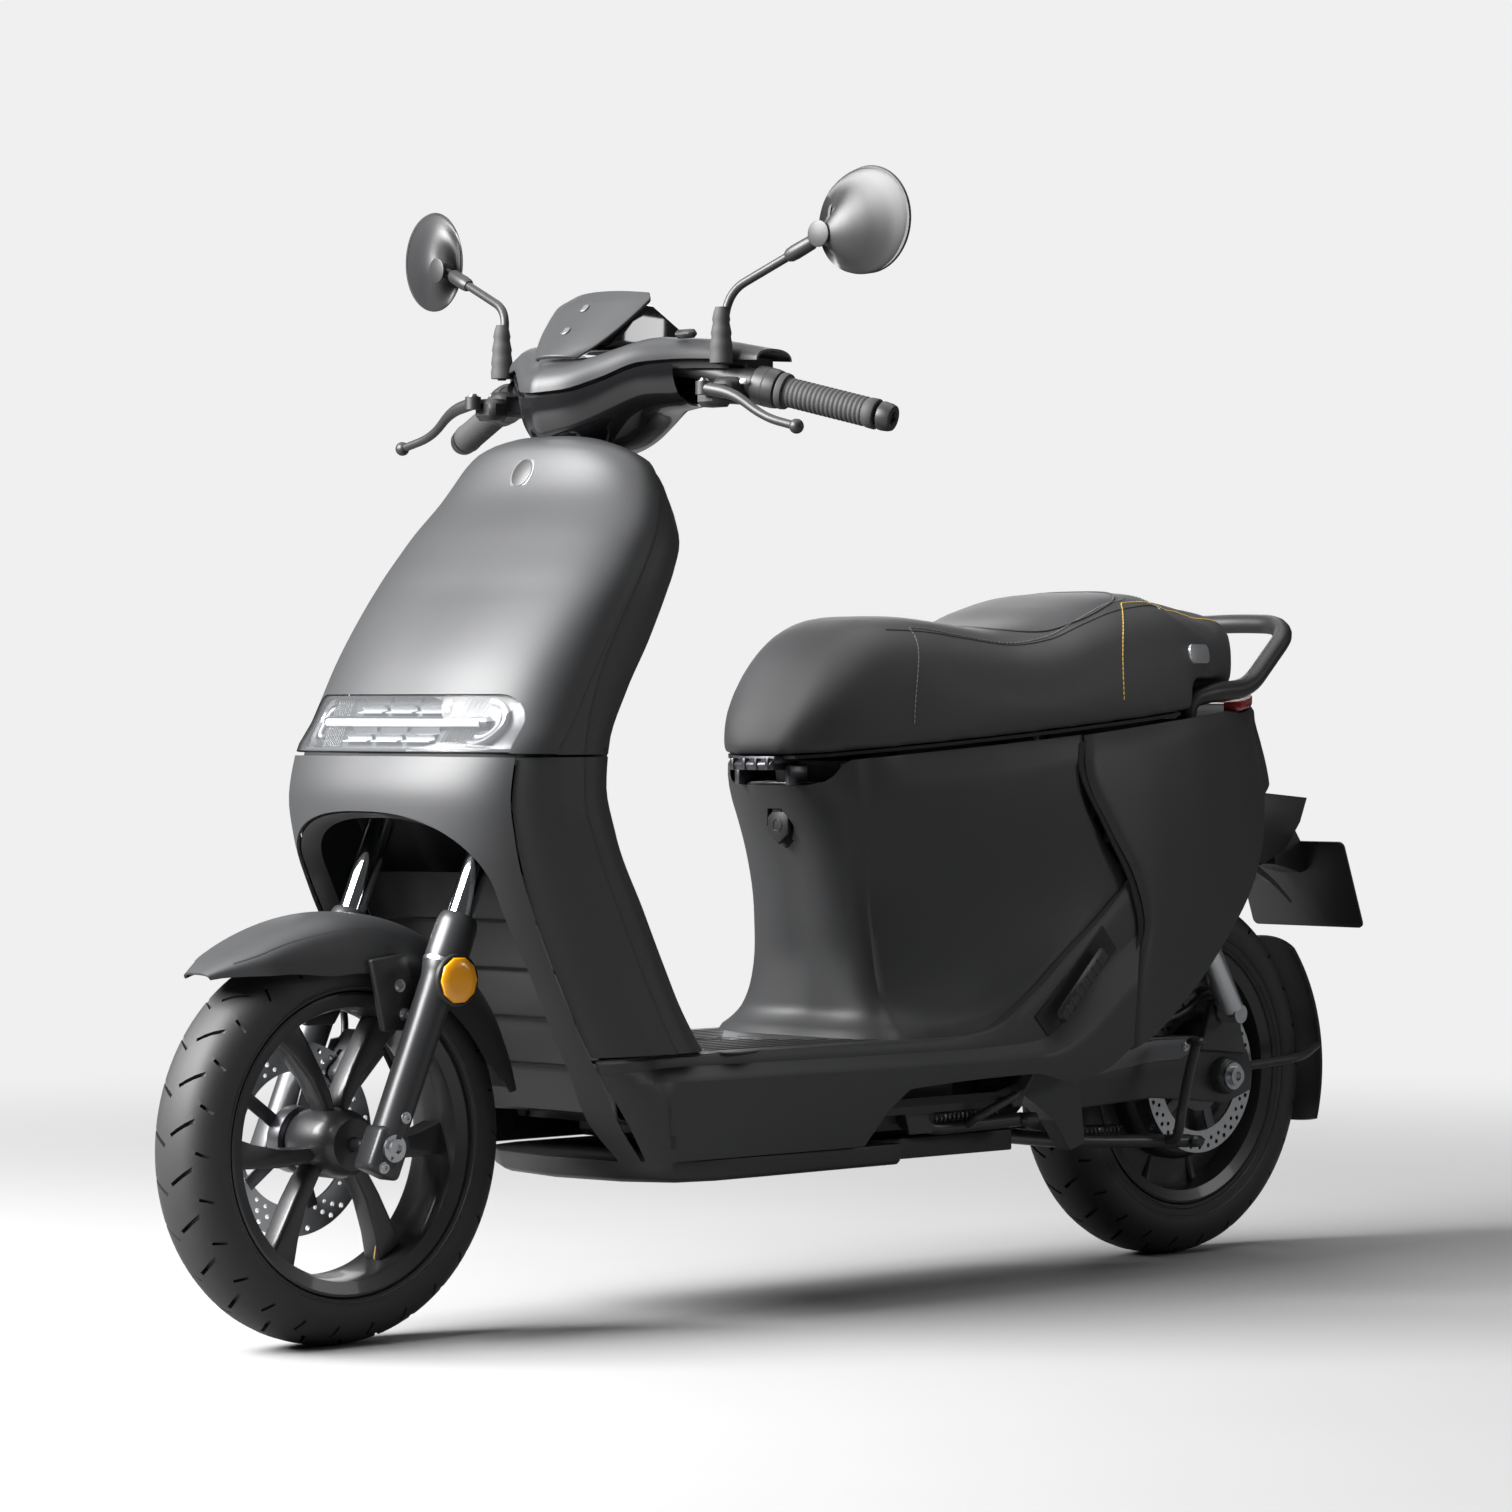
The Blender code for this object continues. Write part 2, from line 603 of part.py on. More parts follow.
def build_body_shell():
    ts = [0.0, 0.09, 0.18, 0.28, 0.40, 0.55, 0.70, 0.85, 1.0]
    rs = [0.0, 0.16, 0.35, 0.55, 0.72, 0.86, 0.95, 1.0]
    rows = []
    for r in rs:
        left = [body_point(t, r) for t in reversed(ts)]
        rows.append(left + [(-x, y, z) for x, y, z in reversed(left[:-1])])
    skin = evaluated(sheet(rows, WALL))
    lugs = both(lambda: block((0.044, -0.010, 0.6265), (0.008, 0.030, 0.023), 0.0))
    shelf = block((0, 0.012, 0.6165), (0.100, 0.050, 0.004), 0.0)
    pocket = pin((0, -0.03, 0.566), (0, 0.035, 0.566), 0.0215, 6)
    body = combine("body_shell", [skin, shelf] + lugs)
    return finish(combine("body_shell", [body, pocket], "DIFFERENCE"), "body_shell", MATT_BLACK)


def tail_low(y):
    return along(((0.38, 0.262), (0.43, 0.284), (0.47, 0.301), (0.56, 0.352), (0.66, 0.426), (0.72, 0.482), (0.757, 0.537),
                  (0.785, 0.590), (0.82, 0.612), (0.84, 0.616)), y)


def tail_half_width(y, z):
    top = along(((0.35, 0.1685), (0.55, 0.165), (0.65, 0.147), (0.73, 0.115), (0.77, 0.088), (0.80, 0.055), (0.815, 0.0)), y)
    low = along(((0.35, 0.188), (0.45, 0.190), (0.55, 0.174), (0.65, 0.153), (0.73, 0.132), (0.79, 0.106), (0.825, 0.065),
                 (0.84, 0.0)), y)
    mix = along(((0.36, 1.0), (0.50, 0.9), (0.60, 0.6), (0.69, 0.0)), z)
    return top * (1 - mix) + low * mix


def tail_point(c, r):
    """c runs 0 at the seam to 1 at the rear; r runs 0 at the seat line to 1 at the trailing edge."""
    front = along(TAIL_SEAM_Y, 0.672 - 0.385 * r) + 0.0012
    back = 0.815 + 0.022 * math.sin(r * math.pi / 2)
    y = front + (back - front) * math.sin(c * math.pi / 2) ** 0.9
    high = along(SEAT_LINE_Z, y) - 0.0085 - 0.008 * max(0.0, min(1.0, (y - 0.66) / 0.05))
    z = high + (tail_low(y) - high) * r
    k = max(0.0, (y - 0.79) / (back - 0.79))
    x = tail_half_width(min(y, 0.79), z) * (1 - k ** 2.2) ** (1 / 2.2) if k < 1 else 0.0
    return (x, y, z)


def build_tail_panels():
    rs = [0.0, 0.10, 0.25, 0.42, 0.60, 0.78, 0.92, 1.0]
    cs = spread(0.0, 1.0, 10)

    def panel():
        return evaluated(sheet([[tail_point(c, r) for c in cs] for r in rs], WALL, 1.0))

    left, right = both(panel)
    keep = block((0.3001, 0.6, 0.5), (0.6, 1.0, 1.0), 0.0)
    keep_other = block((-0.3001, 0.6, 0.5), (0.6, 1.0, 1.0), 0.0)
    finish(combine("tail_panel_left", [left, keep], "INTERSECT"), "tail_panel_left", MATT_BLACK)
    finish(combine("tail_panel_right", [right, keep_other], "INTERSECT"), "tail_panel_right", MATT_BLACK)


def build_tail_light():
    def ring(z, inset):
        left = [(tail_half_width(y, 0.69) - inset, y) for y in (0.70, 0.73, 0.76, 0.785, 0.80, 0.8085)]
        outer = [(x, y) for x, y in left] + [(0, 0.8130 - inset)] + [(-x, y) for x, y in reversed(left)]
        both_sides = outer + [(x * 0.86, y - 0.012) for x, y in reversed(outer)]
        return [(x, y, z + 0.1 * (y - 0.70)) for x, y in both_sides]

    return finish(loft([ring(0.7036, 0.001), ring(0.7096, 0.0), ring(0.7156, 0.001)]), "tail_light", RED_LENS)


def build_plate_holder():
    """Inner mudguard over the rear wheel with the lamp wedge and the number plate behind it."""
    rows = []
    for a in spread(math.radians(52), math.radians(122), 9):
        radius = 0.312
        y = REAR_Y + radius * math.cos(a)
        z = REAR_RADIUS + radius * math.sin(a)
        rows.append([(x, y - 0.02 * (x / 0.07) ** 2 * math.cos(a), z - 0.03 * (x / 0.07) ** 2) for x in spread(-0.07, 0.07, 7)])
    guard = evaluated(sheet(rows, WALL, 1.0))
    wedge = side_plate([(0.780, 0.560), (0.850, 0.596), (0.944, 0.588), (0.930, 0.556), (0.900, 0.520), (0.850, 0.500)],
                       0.0, 0.070)
    arm = side_plate([(0.885, 0.560), (0.925, 0.560), (0.955, 0.520), (0.962, 0.492), (0.948, 0.488), (0.895, 0.500)],
                     0.0, 0.042)
    tilt = Matrix.Rotation(math.radians(20.4), 4, "X")
    plate_obj = plate(rounded_outline((-0.095, -0.060), (0.095, 0.062), 0.008), 0.0026,
                      Matrix.Translation((0, 0.9672, 0.4720)) @ tilt @ Matrix.Rotation(math.pi / 2, 4, "X"))
    return finish(combine("plate_holder", [guard, wedge, arm, plate_obj]), "plate_holder", SATIN_BLACK, smooth=False)


def build_seat():
    low = ((-0.040, 0.650), (0.127, 0.664), (0.365, 0.685), (0.60, 0.709), (0.66, 0.722), (0.73, 0.745), (0.78, 0.775))
    high = ((-0.038, 0.664), (-0.033, 0.682), (-0.025, 0.702), (0.0, 0.742), (0.03, 0.778), (0.065, 0.804), (0.10, 0.815),
            (0.15, 0.816), (0.21, 0.811), (0.28, 0.804), (0.34, 0.812), (0.40, 0.832), (0.47, 0.848), (0.534, 0.851),
            (0.60, 0.841), (0.67, 0.832), (0.76, 0.823), (0.78, 0.806))
    wide = ((-0.038, 0.030), (-0.033, 0.052), (-0.02, 0.072), (0.0, 0.090), (0.03, 0.104), (0.08, 0.120), (0.15, 0.140),
            (0.25, 0.158), (0.36, 0.169), (0.45, 0.171), (0.55, 0.165), (0.60, 0.155), (0.65, 0.136), (0.70, 0.110),
            (0.74, 0.078), (0.765, 0.052), (0.78, 0.030))
    rings = []
    for y in (-0.038, -0.030, -0.012, 0.015, 0.05, 0.09, 0.17, 0.26, 0.35, 0.44, 0.53, 0.60, 0.66, 0.71, 0.75, 0.778):
        z0 = along(low, y)
        z1 = along(high, y)
        w = along(wide, y)
        ring = []
        for a in spread(0.0, math.pi, 13):
            ring.append((w * power(math.cos(a), 0.62), y, z0 + 0.010 + (z1 - z0 - 0.010) * math.sin(a) ** 0.62))
        ring += [(-w * 0.96, y, z0), (0.0, y, z0), (w * 0.96, y, z0)]
        rings.append(ring)
    cushion = loft(rings)
    notches = [block((s * 0.187, 0.690, 0.712), (0.150, 0.230, 0.066), 0.0) for s in (1, -1)]
    finish(combine("seat_cushion", [cushion] + notches, "DIFFERENCE"), "seat_cushion", SEAT_COVER, SEAT_HINGE)
    outline = []
    for y in (-0.025, 0.0, 0.03, 0.08, 0.15, 0.25, 0.36, 0.45, 0.55, 0.565):
        outline.append((along(wide, y) - 0.010, y))
    outline += [(0.100, 0.570), (0.098, 0.600)]
    rows = []
    for x, y in outline:
        z = along(low, y) - 0.0012
        rows.append([(x * k, y, z) for k in spread(-1, 1, 5)])
    pan = evaluated(sheet(rows, 0.0035, -1.0))
    knuckle = pin((-0.036, SEAT_HINGE.y, SEAT_HINGE.z), (0.036, SEAT_HINGE.y, SEAT_HINGE.z), 0.006, 12)
    strap = block((0, -0.022, 0.6450), (0.060, 0.040, 0.009), 0.0)
    finish(combine("seat_pan", [pan, knuckle, strap]), "seat_pan", SATIN_BLACK, SEAT_HINGE, smooth=False)


def build_grab_rail():
    half = [(0.120, 0.600, 0.6295), (0.127, 0.600, 0.718), (0.132, 0.640, 0.7270), (0.128, 0.715, 0.7320),
            (0.108, 0.812, 0.802), (0.070, 0.837, 0.8165), (0.0, 0.842, 0.8185)]
    path = half + [(-x, y, z) for x, y, z in reversed(half[:-1])]
    return finish(rod(bent(path, 0.030, 2), 0.0125, 8), "grab_rail", SATIN_BLACK)


def build_insides():
    battery = block((0, -0.015, 0.2410), (0.226, 0.420, 0.084), 0.008)
    finish(battery, "battery_pack", GREY_METAL, smooth=False)
    tub = bmesh.new()
    corners = [[(0.082, 0.075), (0.100, 0.385)], [(0.074, 0.085), (0.092, 0.372)]]
    rings = []
    for (near, far), z in ((corners[0], 0.6430), (corners[1], 0.450)):
        rings.append([(near[0], near[1], z), (far[0], far[1], z), (-far[0], far[1], z), (-near[0], near[1], z)])
    verts = [[tub.verts.new(p) for p in ring] for ring in rings]
    for i in range(4):
        tub.faces.new((verts[0][i], verts[0][(i + 1) % 4], verts[1][(i + 1) % 4], verts[1][i]))
    tub.faces.new(verts[1])
    bmesh.ops.recalc_face_normals(tub, faces=tub.faces)
    mesh = bpy.data.meshes.new("tub")
    tub.to_mesh(mesh)
    tub.free()
    bin_obj = add_object("tub", mesh, TOOLS)
    skin = bin_obj.modifiers.new("wall", "SOLIDIFY")
    skin.thickness = 0.003
    skin.offset = -1.0
    finish(bin_obj, "storage_bin", SATIN_BLACK, smooth=False)


# ---- frame ----
def steer_point(x, v, s):
    return STEER @ Vector((x, v, s))


def build_frame():
    head = pin(steer_point(0, 0, 0.50), steer_point(0, 0, 0.80), 0.028, 14)
    down = rod(bent([steer_point(0, 0.036, 0.545), (0, -0.447, 0.60), (0, -0.402, 0.50), (0, -0.325, 0.32), (0, -0.265, 0.232)],
                    0.05, 3), 0.017, 12)
    neck = side_plate([(-0.475, 0.745), (-0.452, 0.80), (-0.428, 0.70), (-0.432, 0.610), (-0.452, 0.63)], 0.0, 0.014)
    cross = [rod([(-0.150, y, 0.232), (0.150, y, 0.232)], 0.0125, 8) for y in (-0.262, 0.262)]
    pieces = [head, down, neck] + cross

    def rail():
        return rod(bent([(0.150, -0.277, 0.232), (0.150, 0.270, 0.232), (0.132, 0.405, 0.460), (0.118, 0.455, 0.6050),
                         (0.110, 0.700, 0.6240)], 0.05, 2), 0.0110, 8)

    def hanger():
        return side_plate([(0.272, 0.236), (0.330, 0.322), (0.374, 0.255), (0.385, 0.170), (0.360, 0.162), (0.330, 0.200),
                           (0.296, 0.222)], 0.1362, 0.0245)

    def stand_lug():
        return side_plate([(0.070, 0.232), (0.130, 0.232), (0.118, 0.197), (0.080, 0.197)], 0.1425, 0.006)

    def shock_ear():
        top = SHOCK_TOP
        return side_plate([(top.y - 0.022, 0.622), (top.y + 0.022, 0.622), (top.y + 0.012, top.z - 0.008),
                           (top.y - 0.012, top.z - 0.008)], 0.1090, 0.008)

    for maker in (rail, hanger, stand_lug, shock_ear):
        pieces += both(maker)
    pieces.append(rod([(-0.120, 0.640, 0.6200), (0.120, 0.640, 0.6200)], 0.009, 8))
    bore = pin(steer_point(0, 0, 0.45), steer_point(0, 0, 0.85), 0.0183, 14)
    return finish(combine("frame", [combine("frame", pieces), bore], "DIFFERENCE"), "frame", FRAME_BLACK)


# ---- steering ----
def build_steering():
    stem = pin(steer_point(0, 0, 0.420), steer_point(0, 0, 0.905), 0.0160, 14)
    yoke = loft([[steer_point(x, v, s) for x, v in ((0.118, -0.016), (0.118, 0.016), (0.060, 0.030), (-0.060, 0.030),
                                                   (-0.118, 0.016), (-0.118, -0.016), (-0.060, -0.030),
                                                   (0.060, -0.030))] for s in (0.410, 0.438)])
    legs = both(lambda: pin(steer_point(FORK_X, 0, 0.150), steer_point(FORK_X, 0, 0.445), STANCHION_R, 14))
    finish(combine("fork_upper", [yoke, stem] + legs), "fork_upper", CHROME)
    bar_dir = (GRIP_END - GRIP_START).normalized()
    inner = GRIP_START - bar_dir * 0.118
    half = [GRIP_END + bar_dir * 0.003, inner, Vector((0.070, -0.305, 1.1010)), Vector((0.0, -0.3200, 1.0900))]
    path = half + [Vector((-p.x, p.y, p.z)) for p in reversed(half[:-1])]
    bar = rod(bent(path, 0.03, 2), BAR_R, 8)
    clamp = pin(steer_point(0, 0, 0.9054), steer_point(0, 0, 0.943), 0.0210, 12)
    caps = both(lambda: pin(GRIP_END + bar_dir * 0.0006, GRIP_END + bar_dir * 0.016, 0.0165, 14, 0.0150))
    finish(combine("handlebar", [bar, clamp] + caps), "handlebar", SATIN_BLACK)


def cowl_line(x):
    """Front edge, rear edge and height of the line between the cowl's two shells."""
    x = abs(x)
    front = along(((0.0, -0.392), (0.035, -0.378), (0.07, -0.352), (0.11, -0.322), (0.15, -0.290), (0.22, -0.246)), x)
    rear = along(((0.0, -0.212), (0.06, -0.214), (0.13, -0.214), (0.18, -0.206), (0.22, -0.190)), x)
    height = along(((0.0, 1.064), (0.035, 1.067), (0.07, 1.080), (0.11, 1.098), (0.15, 1.101), (0.22, 1.098)), x)
    return front, rear, height


def cowl_row(x, drop, low, high, count, grow=0.0, rise=0.0):
    front, rear, height = cowl_line(x)
    middle = (front + rear) / 2
    half = (rear - front) / 2 + grow
    row = []
    for a in spread(low, high, count):
        row.append((x, middle - half * power(math.cos(a), 0.85), height + rise + drop * abs(math.sin(a)) ** 0.85))
    return row


def build_cowl():
    def crown(x):
        return along(((0.0, 0.043), (0.07, 0.040), (0.12, 0.028), (0.17, 0.022), (0.22, 0.014)), abs(x))

    def belly(x):
        return -along(((0.0, 0.072), (0.05, 0.066), (0.09, 0.052), (0.115, 0.050), (0.138, 0.048)), abs(x))

    xs = [-0.222, -0.17, -0.12, -0.07, -0.035, 0.0, 0.035, 0.07, 0.12, 0.17, 0.222]
    top = sheet([cowl_row(x, crown(x), 0.0, math.pi, 11, 0.0, 0.0056) for x in xs], 0.0028, 1.0)
    sockets = both(lambda: pin((0.191, -0.272, 1.075), (0.191, -0.272, 1.150), 0.0085, 12))
    finish(combine("cowl_top", [evaluated(top)] + sockets, "DIFFERENCE"), "cowl_top", MATT_BLACK)
    xs = [-0.138, -0.10, -0.06, -0.02, 0.02, 0.06, 0.10, 0.138]
    low = evaluated(sheet([cowl_row(x, belly(x), 0.0, math.pi, 11) for x in xs], 0.0028, -1.0))
    throat = pin(steer_point(0, 0, 0.82), steer_point(0, 0, 0.93), 0.0200, 12)
    finish(combine("cowl_lower", [low, throat], "DIFFERENCE"), "cowl_lower", GLOSS_BLACK)
    rows = []
    for u in spread(0.0, 1.0, 7):
        w = along(((0.0, 0.036), (0.2, 0.054), (0.5, 0.070), (0.85, 0.079), (1.0, 0.066)), u)
        y = -0.3700 + 0.086 * u
        z = 1.1090 + 0.082 * u - 0.012 * max(0.0, u - 0.8)
        rows.append([(w * k, y + 0.016 * abs(k) ** 2.5, z + 0.004 * (1 - k * k)) for k in spread(-1, 1, 9)])
    finish(sheet(rows, 0.0050, -1.0), "cowl_face", MATT_BLACK)
    pod = side_plate([(-0.328, 1.1220), (-0.268, 1.1745), (-0.252, 1.1740), (-0.200, 1.1430), (-0.204, 1.1220)], 0.0, 0.112)
    finish(pod, "dash_display", GLASS_BLACK, smooth=False)


def bar_point(t, side=1):
    """A point on the grip's own axis, t metres outboard of the grip's inner end."""
    direction = (GRIP_END - GRIP_START).normalized()
    point = GRIP_START + direction * t
    return Vector((point.x * side, point.y, point.z))


def build_controls(side, tag):
    start = bar_point(-0.0335, side)
    stop = bar_point(-0.0006, side)
    body = pin(start, stop, 0.0225, 12)
    perch = block(bar_point(-0.052, side) + Vector((0, -0.010, -0.012)), (0.030, 0.052, 0.030), 0.003)
    reservoir = block(bar_point(-0.056, side) + Vector((side * 0.002, -0.040, -0.020)), (0.036, 0.030, 0.026), 0.003)
    clamp = pin(bar_point(-0.064, side), bar_point(-0.030, side), 0.0170, 12)
    solid = combine("control", [body, clamp, perch, reservoir])
    bore = pin(bar_point(-0.10, side), bar_point(0.02, side), BAR_R + 0.0007, 12)
    finish(combine("control", [solid, bore], "DIFFERENCE"), "control_" + tag, SATIN_BLACK, smooth=False)
    axis = (stop - start).normalized()
    sleeve = pin(bar_point(0.0004, side), bar_point(0.1248, side), GRIP_R, 14)
    flange = pin(bar_point(0.0004, side), bar_point(0.008, side), GRIP_R + 0.0045, 14)
    bore = pin(bar_point(-0.01, side), bar_point(0.14, side), BAR_R + 0.0004, 14)
    grip = combine("grip", [combine("grip", [sleeve, flange]), bore], "DIFFERENCE")
    finish(grip, "grip_left" if side > 0 else "throttle_grip", RUBBER, bar_point(0.0, side))
    pivot = lever_pivot(side)
    path = [pivot, pivot + Vector((side * 0.045, 0.004, -0.008)), Vector((side * 0.290, -0.2980, 1.0330)),
            Vector((side * 0.343, -0.300, 1.021))]
    blade = rod(bent(path, 0.04, 2), 0.0052, 8)
    ball = bmesh.new()
    bmesh.ops.create_uvsphere(ball, u_segments=12, v_segments=8, radius=0.0085)
    ball_obj = from_bmesh("ball", ball, TOOLS)
    ball_obj.location = path[-1]
    knob = pin(pivot + Vector((0, 0, -0.007)), pivot + Vector((0, 0, 0.007)), 0.0080, 12)
    finish(combine("lever", [blade, ball_obj, knob]), "brake_lever_" + tag, SATIN_BLACK, pivot)
    return axis


def lever_pivot(side):
    return bar_point(-0.046, side) + Vector((0, -0.0665, -0.010))


def build_buttons():
    left = block(bar_point(-0.016, 1) + Vector((-0.010, -0.0314, 0.0060)), (0.011, 0.0050, 0.006), 0.001)
    finish(left, "indicator_switch", GREY_PLASTIC, smooth=False)
    right = block(bar_point(-0.016, -1) + Vector((0.010, -0.0314, 0.0060)), (0.009, 0.0050, 0.009), 0.001)
    finish(right, "power_button", GREY_PLASTIC, smooth=False)


def build_mirror(side, tag):
    foot = Vector((side * 0.191, -0.272, 1.128))
    ball = Vector((side * 0.325, -0.243, 1.237))
    stem = rod(bent([foot + Vector((0, 0, -0.030)), foot, Vector((side * 0.194, -0.262, 1.182)), ball], 0.03, 4), 0.0052, 10)
    boot = pin(foot + Vector((0, 0, -0.004)), foot + Vector((0, 0, 0.026)), 0.0115, 14, 0.0085)
    direction = (ball - Vector((side * 0.194, -0.262, 1.182))).normalized()
    sleeve = pin(ball - direction * 0.052, ball - direction * 0.012, 0.0085, 12)
    finish(combine("arm", [stem, boot, sleeve]), "mirror_arm_" + tag, SATIN_BLACK, foot)
    centre = Vector((side * 0.378, -0.221, 1.254))
    facing = Vector((-side * 0.10, 0.99, 0.02)).normalized()
    across = facing.cross(Vector((0, 0, 1))).normalized()
    upward = across.cross(facing)
    rings = []
    start = ball + direction * 0.0040
    for u, radius in ((0.0, 0.0085), (0.12, 0.016), (0.30, 0.031), (0.52, 0.046), (0.75, 0.0565), (0.92, 0.0600), (1.0, 0.0590)):
        hub = start.lerp(centre, u)
        lean = min(1.0, u * 1.6)
        ring = []
        for k in range(18):
            a = 2 * math.pi * k / 18
            flat = across * math.cos(a) + upward * math.sin(a)
            early = direction.cross(Vector((0, 0, 1))).normalized() * math.cos(a)
            tilted = (flat * lean + (early + Vector((0, 0, 1)) * math.sin(a)) * (1 - lean))
            ring.append(hub + tilted * radius)
        rings.append(ring)
    finish(loft(rings), "mirror_head_" + tag, SATIN_BLACK, ball)


# ---- front end ----
def build_fork_lower():
    def leg():
        outer = pin(steer_point(FORK_X, 0, -0.018), steer_point(FORK_X, 0, 0.250), 0.0200, 14, 0.0215)
        collar = pin(steer_point(FORK_X, 0, 0.236), steer_point(FORK_X, 0, 0.275), 0.0245, 14, 0.0225)
        foot = block(steer_point(FORK_X, 0, -0.006), (0.034, 0.046, 0.052), 0.0, Matrix.Rotation(-RAKE, 4, "X"))
        return combine("leg", [outer, collar, foot])

    left, right = both(leg)
    axle = pin((-0.090, FRONT_Y, FRONT_RADIUS), (0.090, FRONT_Y, FRONT_RADIUS), 0.0075, 12)
    solid = combine("fork_lower", [left, axle, right])
    bores = both(lambda: pin(steer_point(FORK_X, 0, 0.060), steer_point(FORK_X, 0, 0.30), STANCHION_R + 0.0004, 14))
    finish(combine("fork_lower", [solid] + bores, "DIFFERENCE"), "fork_lower", SATIN_BLACK)
    for side, tag in ((1, "left"), (-1, "right")):
        middle = steer_point(side * (FORK_X + 0.0222), 0.004, 0.200)
        lamp = pin(middle, middle + Vector((side * 0.010, 0, 0)), 0.0290, 14, 0.0250)
        finish(lamp, "reflector_" + tag, AMBER, smooth=False)


def build_fender():
    rows = []
    for a in spread(math.radians(134), math.radians(12), 14):
        deg = math.degrees(a)
        crown = along(((12, 0.2430), (40, 0.2500), (90, 0.2540), (120, 0.2585), (134, 0.2680)), deg)
        side = along(((12, 0.225), (30, 0.195), (60, 0.188), (100, 0.192), (120, 0.222), (134, 0.262)), deg)
        half = along(((12, 0.050), (40, 0.061), (90, 0.063), (120, 0.056), (134, 0.020)), deg)
        row = []
        for k in spread(-math.pi / 2, math.pi / 2, 11):
            radius = side + (crown - side) * math.cos(k) ** 0.55
            row.append((half * power(math.sin(k), 0.75), FRONT_Y + radius * math.cos(a), FRONT_RADIUS + radius * math.sin(a)))
        rows.append(row)
    skin = evaluated(sheet(rows, 0.0025, 1.0))

    def tab():
        return side_plate([(-0.690, 0.430), (-0.640, 0.435), (-0.615, 0.372), (-0.630, 0.350), (-0.672, 0.350)],
                          0.0685, 0.0100)

    tabs = both(tab)
    return finish(combine("front_fender", [skin] + tabs), "front_fender", MATT_BLACK)


def build_front_caliper():
    body = block((-0.0660, FRONT_Y + 0.082, FRONT_RADIUS + 0.082), (0.046, 0.042, 0.072), 0.006,
                 Matrix.Rotation(math.radians(-45), 4, "X"))
    bracket = side_plate([(-0.652, 0.256), (-0.618, 0.262), (-0.586, 0.300), (-0.600, 0.335), (-0.640, 0.330)], -0.0840, 0.0060)
    slot = pin((-0.0665, FRONT_Y, FRONT_RADIUS), (-0.0605, FRONT_Y, FRONT_RADIUS), 0.1185, 20)
    leg = pin(steer_point(-FORK_X, 0, -0.05), steer_point(-FORK_X, 0, 0.30), 0.0232, 14)
    return finish(combine("front_caliper", [combine("c", [body, bracket]), slot, leg], "DIFFERENCE"),
                  "front_caliper", GREY_METAL, smooth=False)


def tyre_profile(radius, half):
    """Tyre section: nearly flat crown, round shoulders, bead seated on the rim."""
    crown = [(0.50, 0.0), (0.76, 0.006), (0.94, 0.019), (1.0, 0.034), (0.93, 0.048)]
    outer = [(radius - drop, half * k) for k, drop in crown]
    wide = half / 0.046
    side = outer + [(RIM_LIP + 0.0014, 0.0385 * wide), (RIM_LIP + 0.0005, 0.0352 * wide), (0.1584, 0.0342 * wide)]
    return [(r, x) for r, x in side] + [(r, -x) for r, x in reversed(side)]


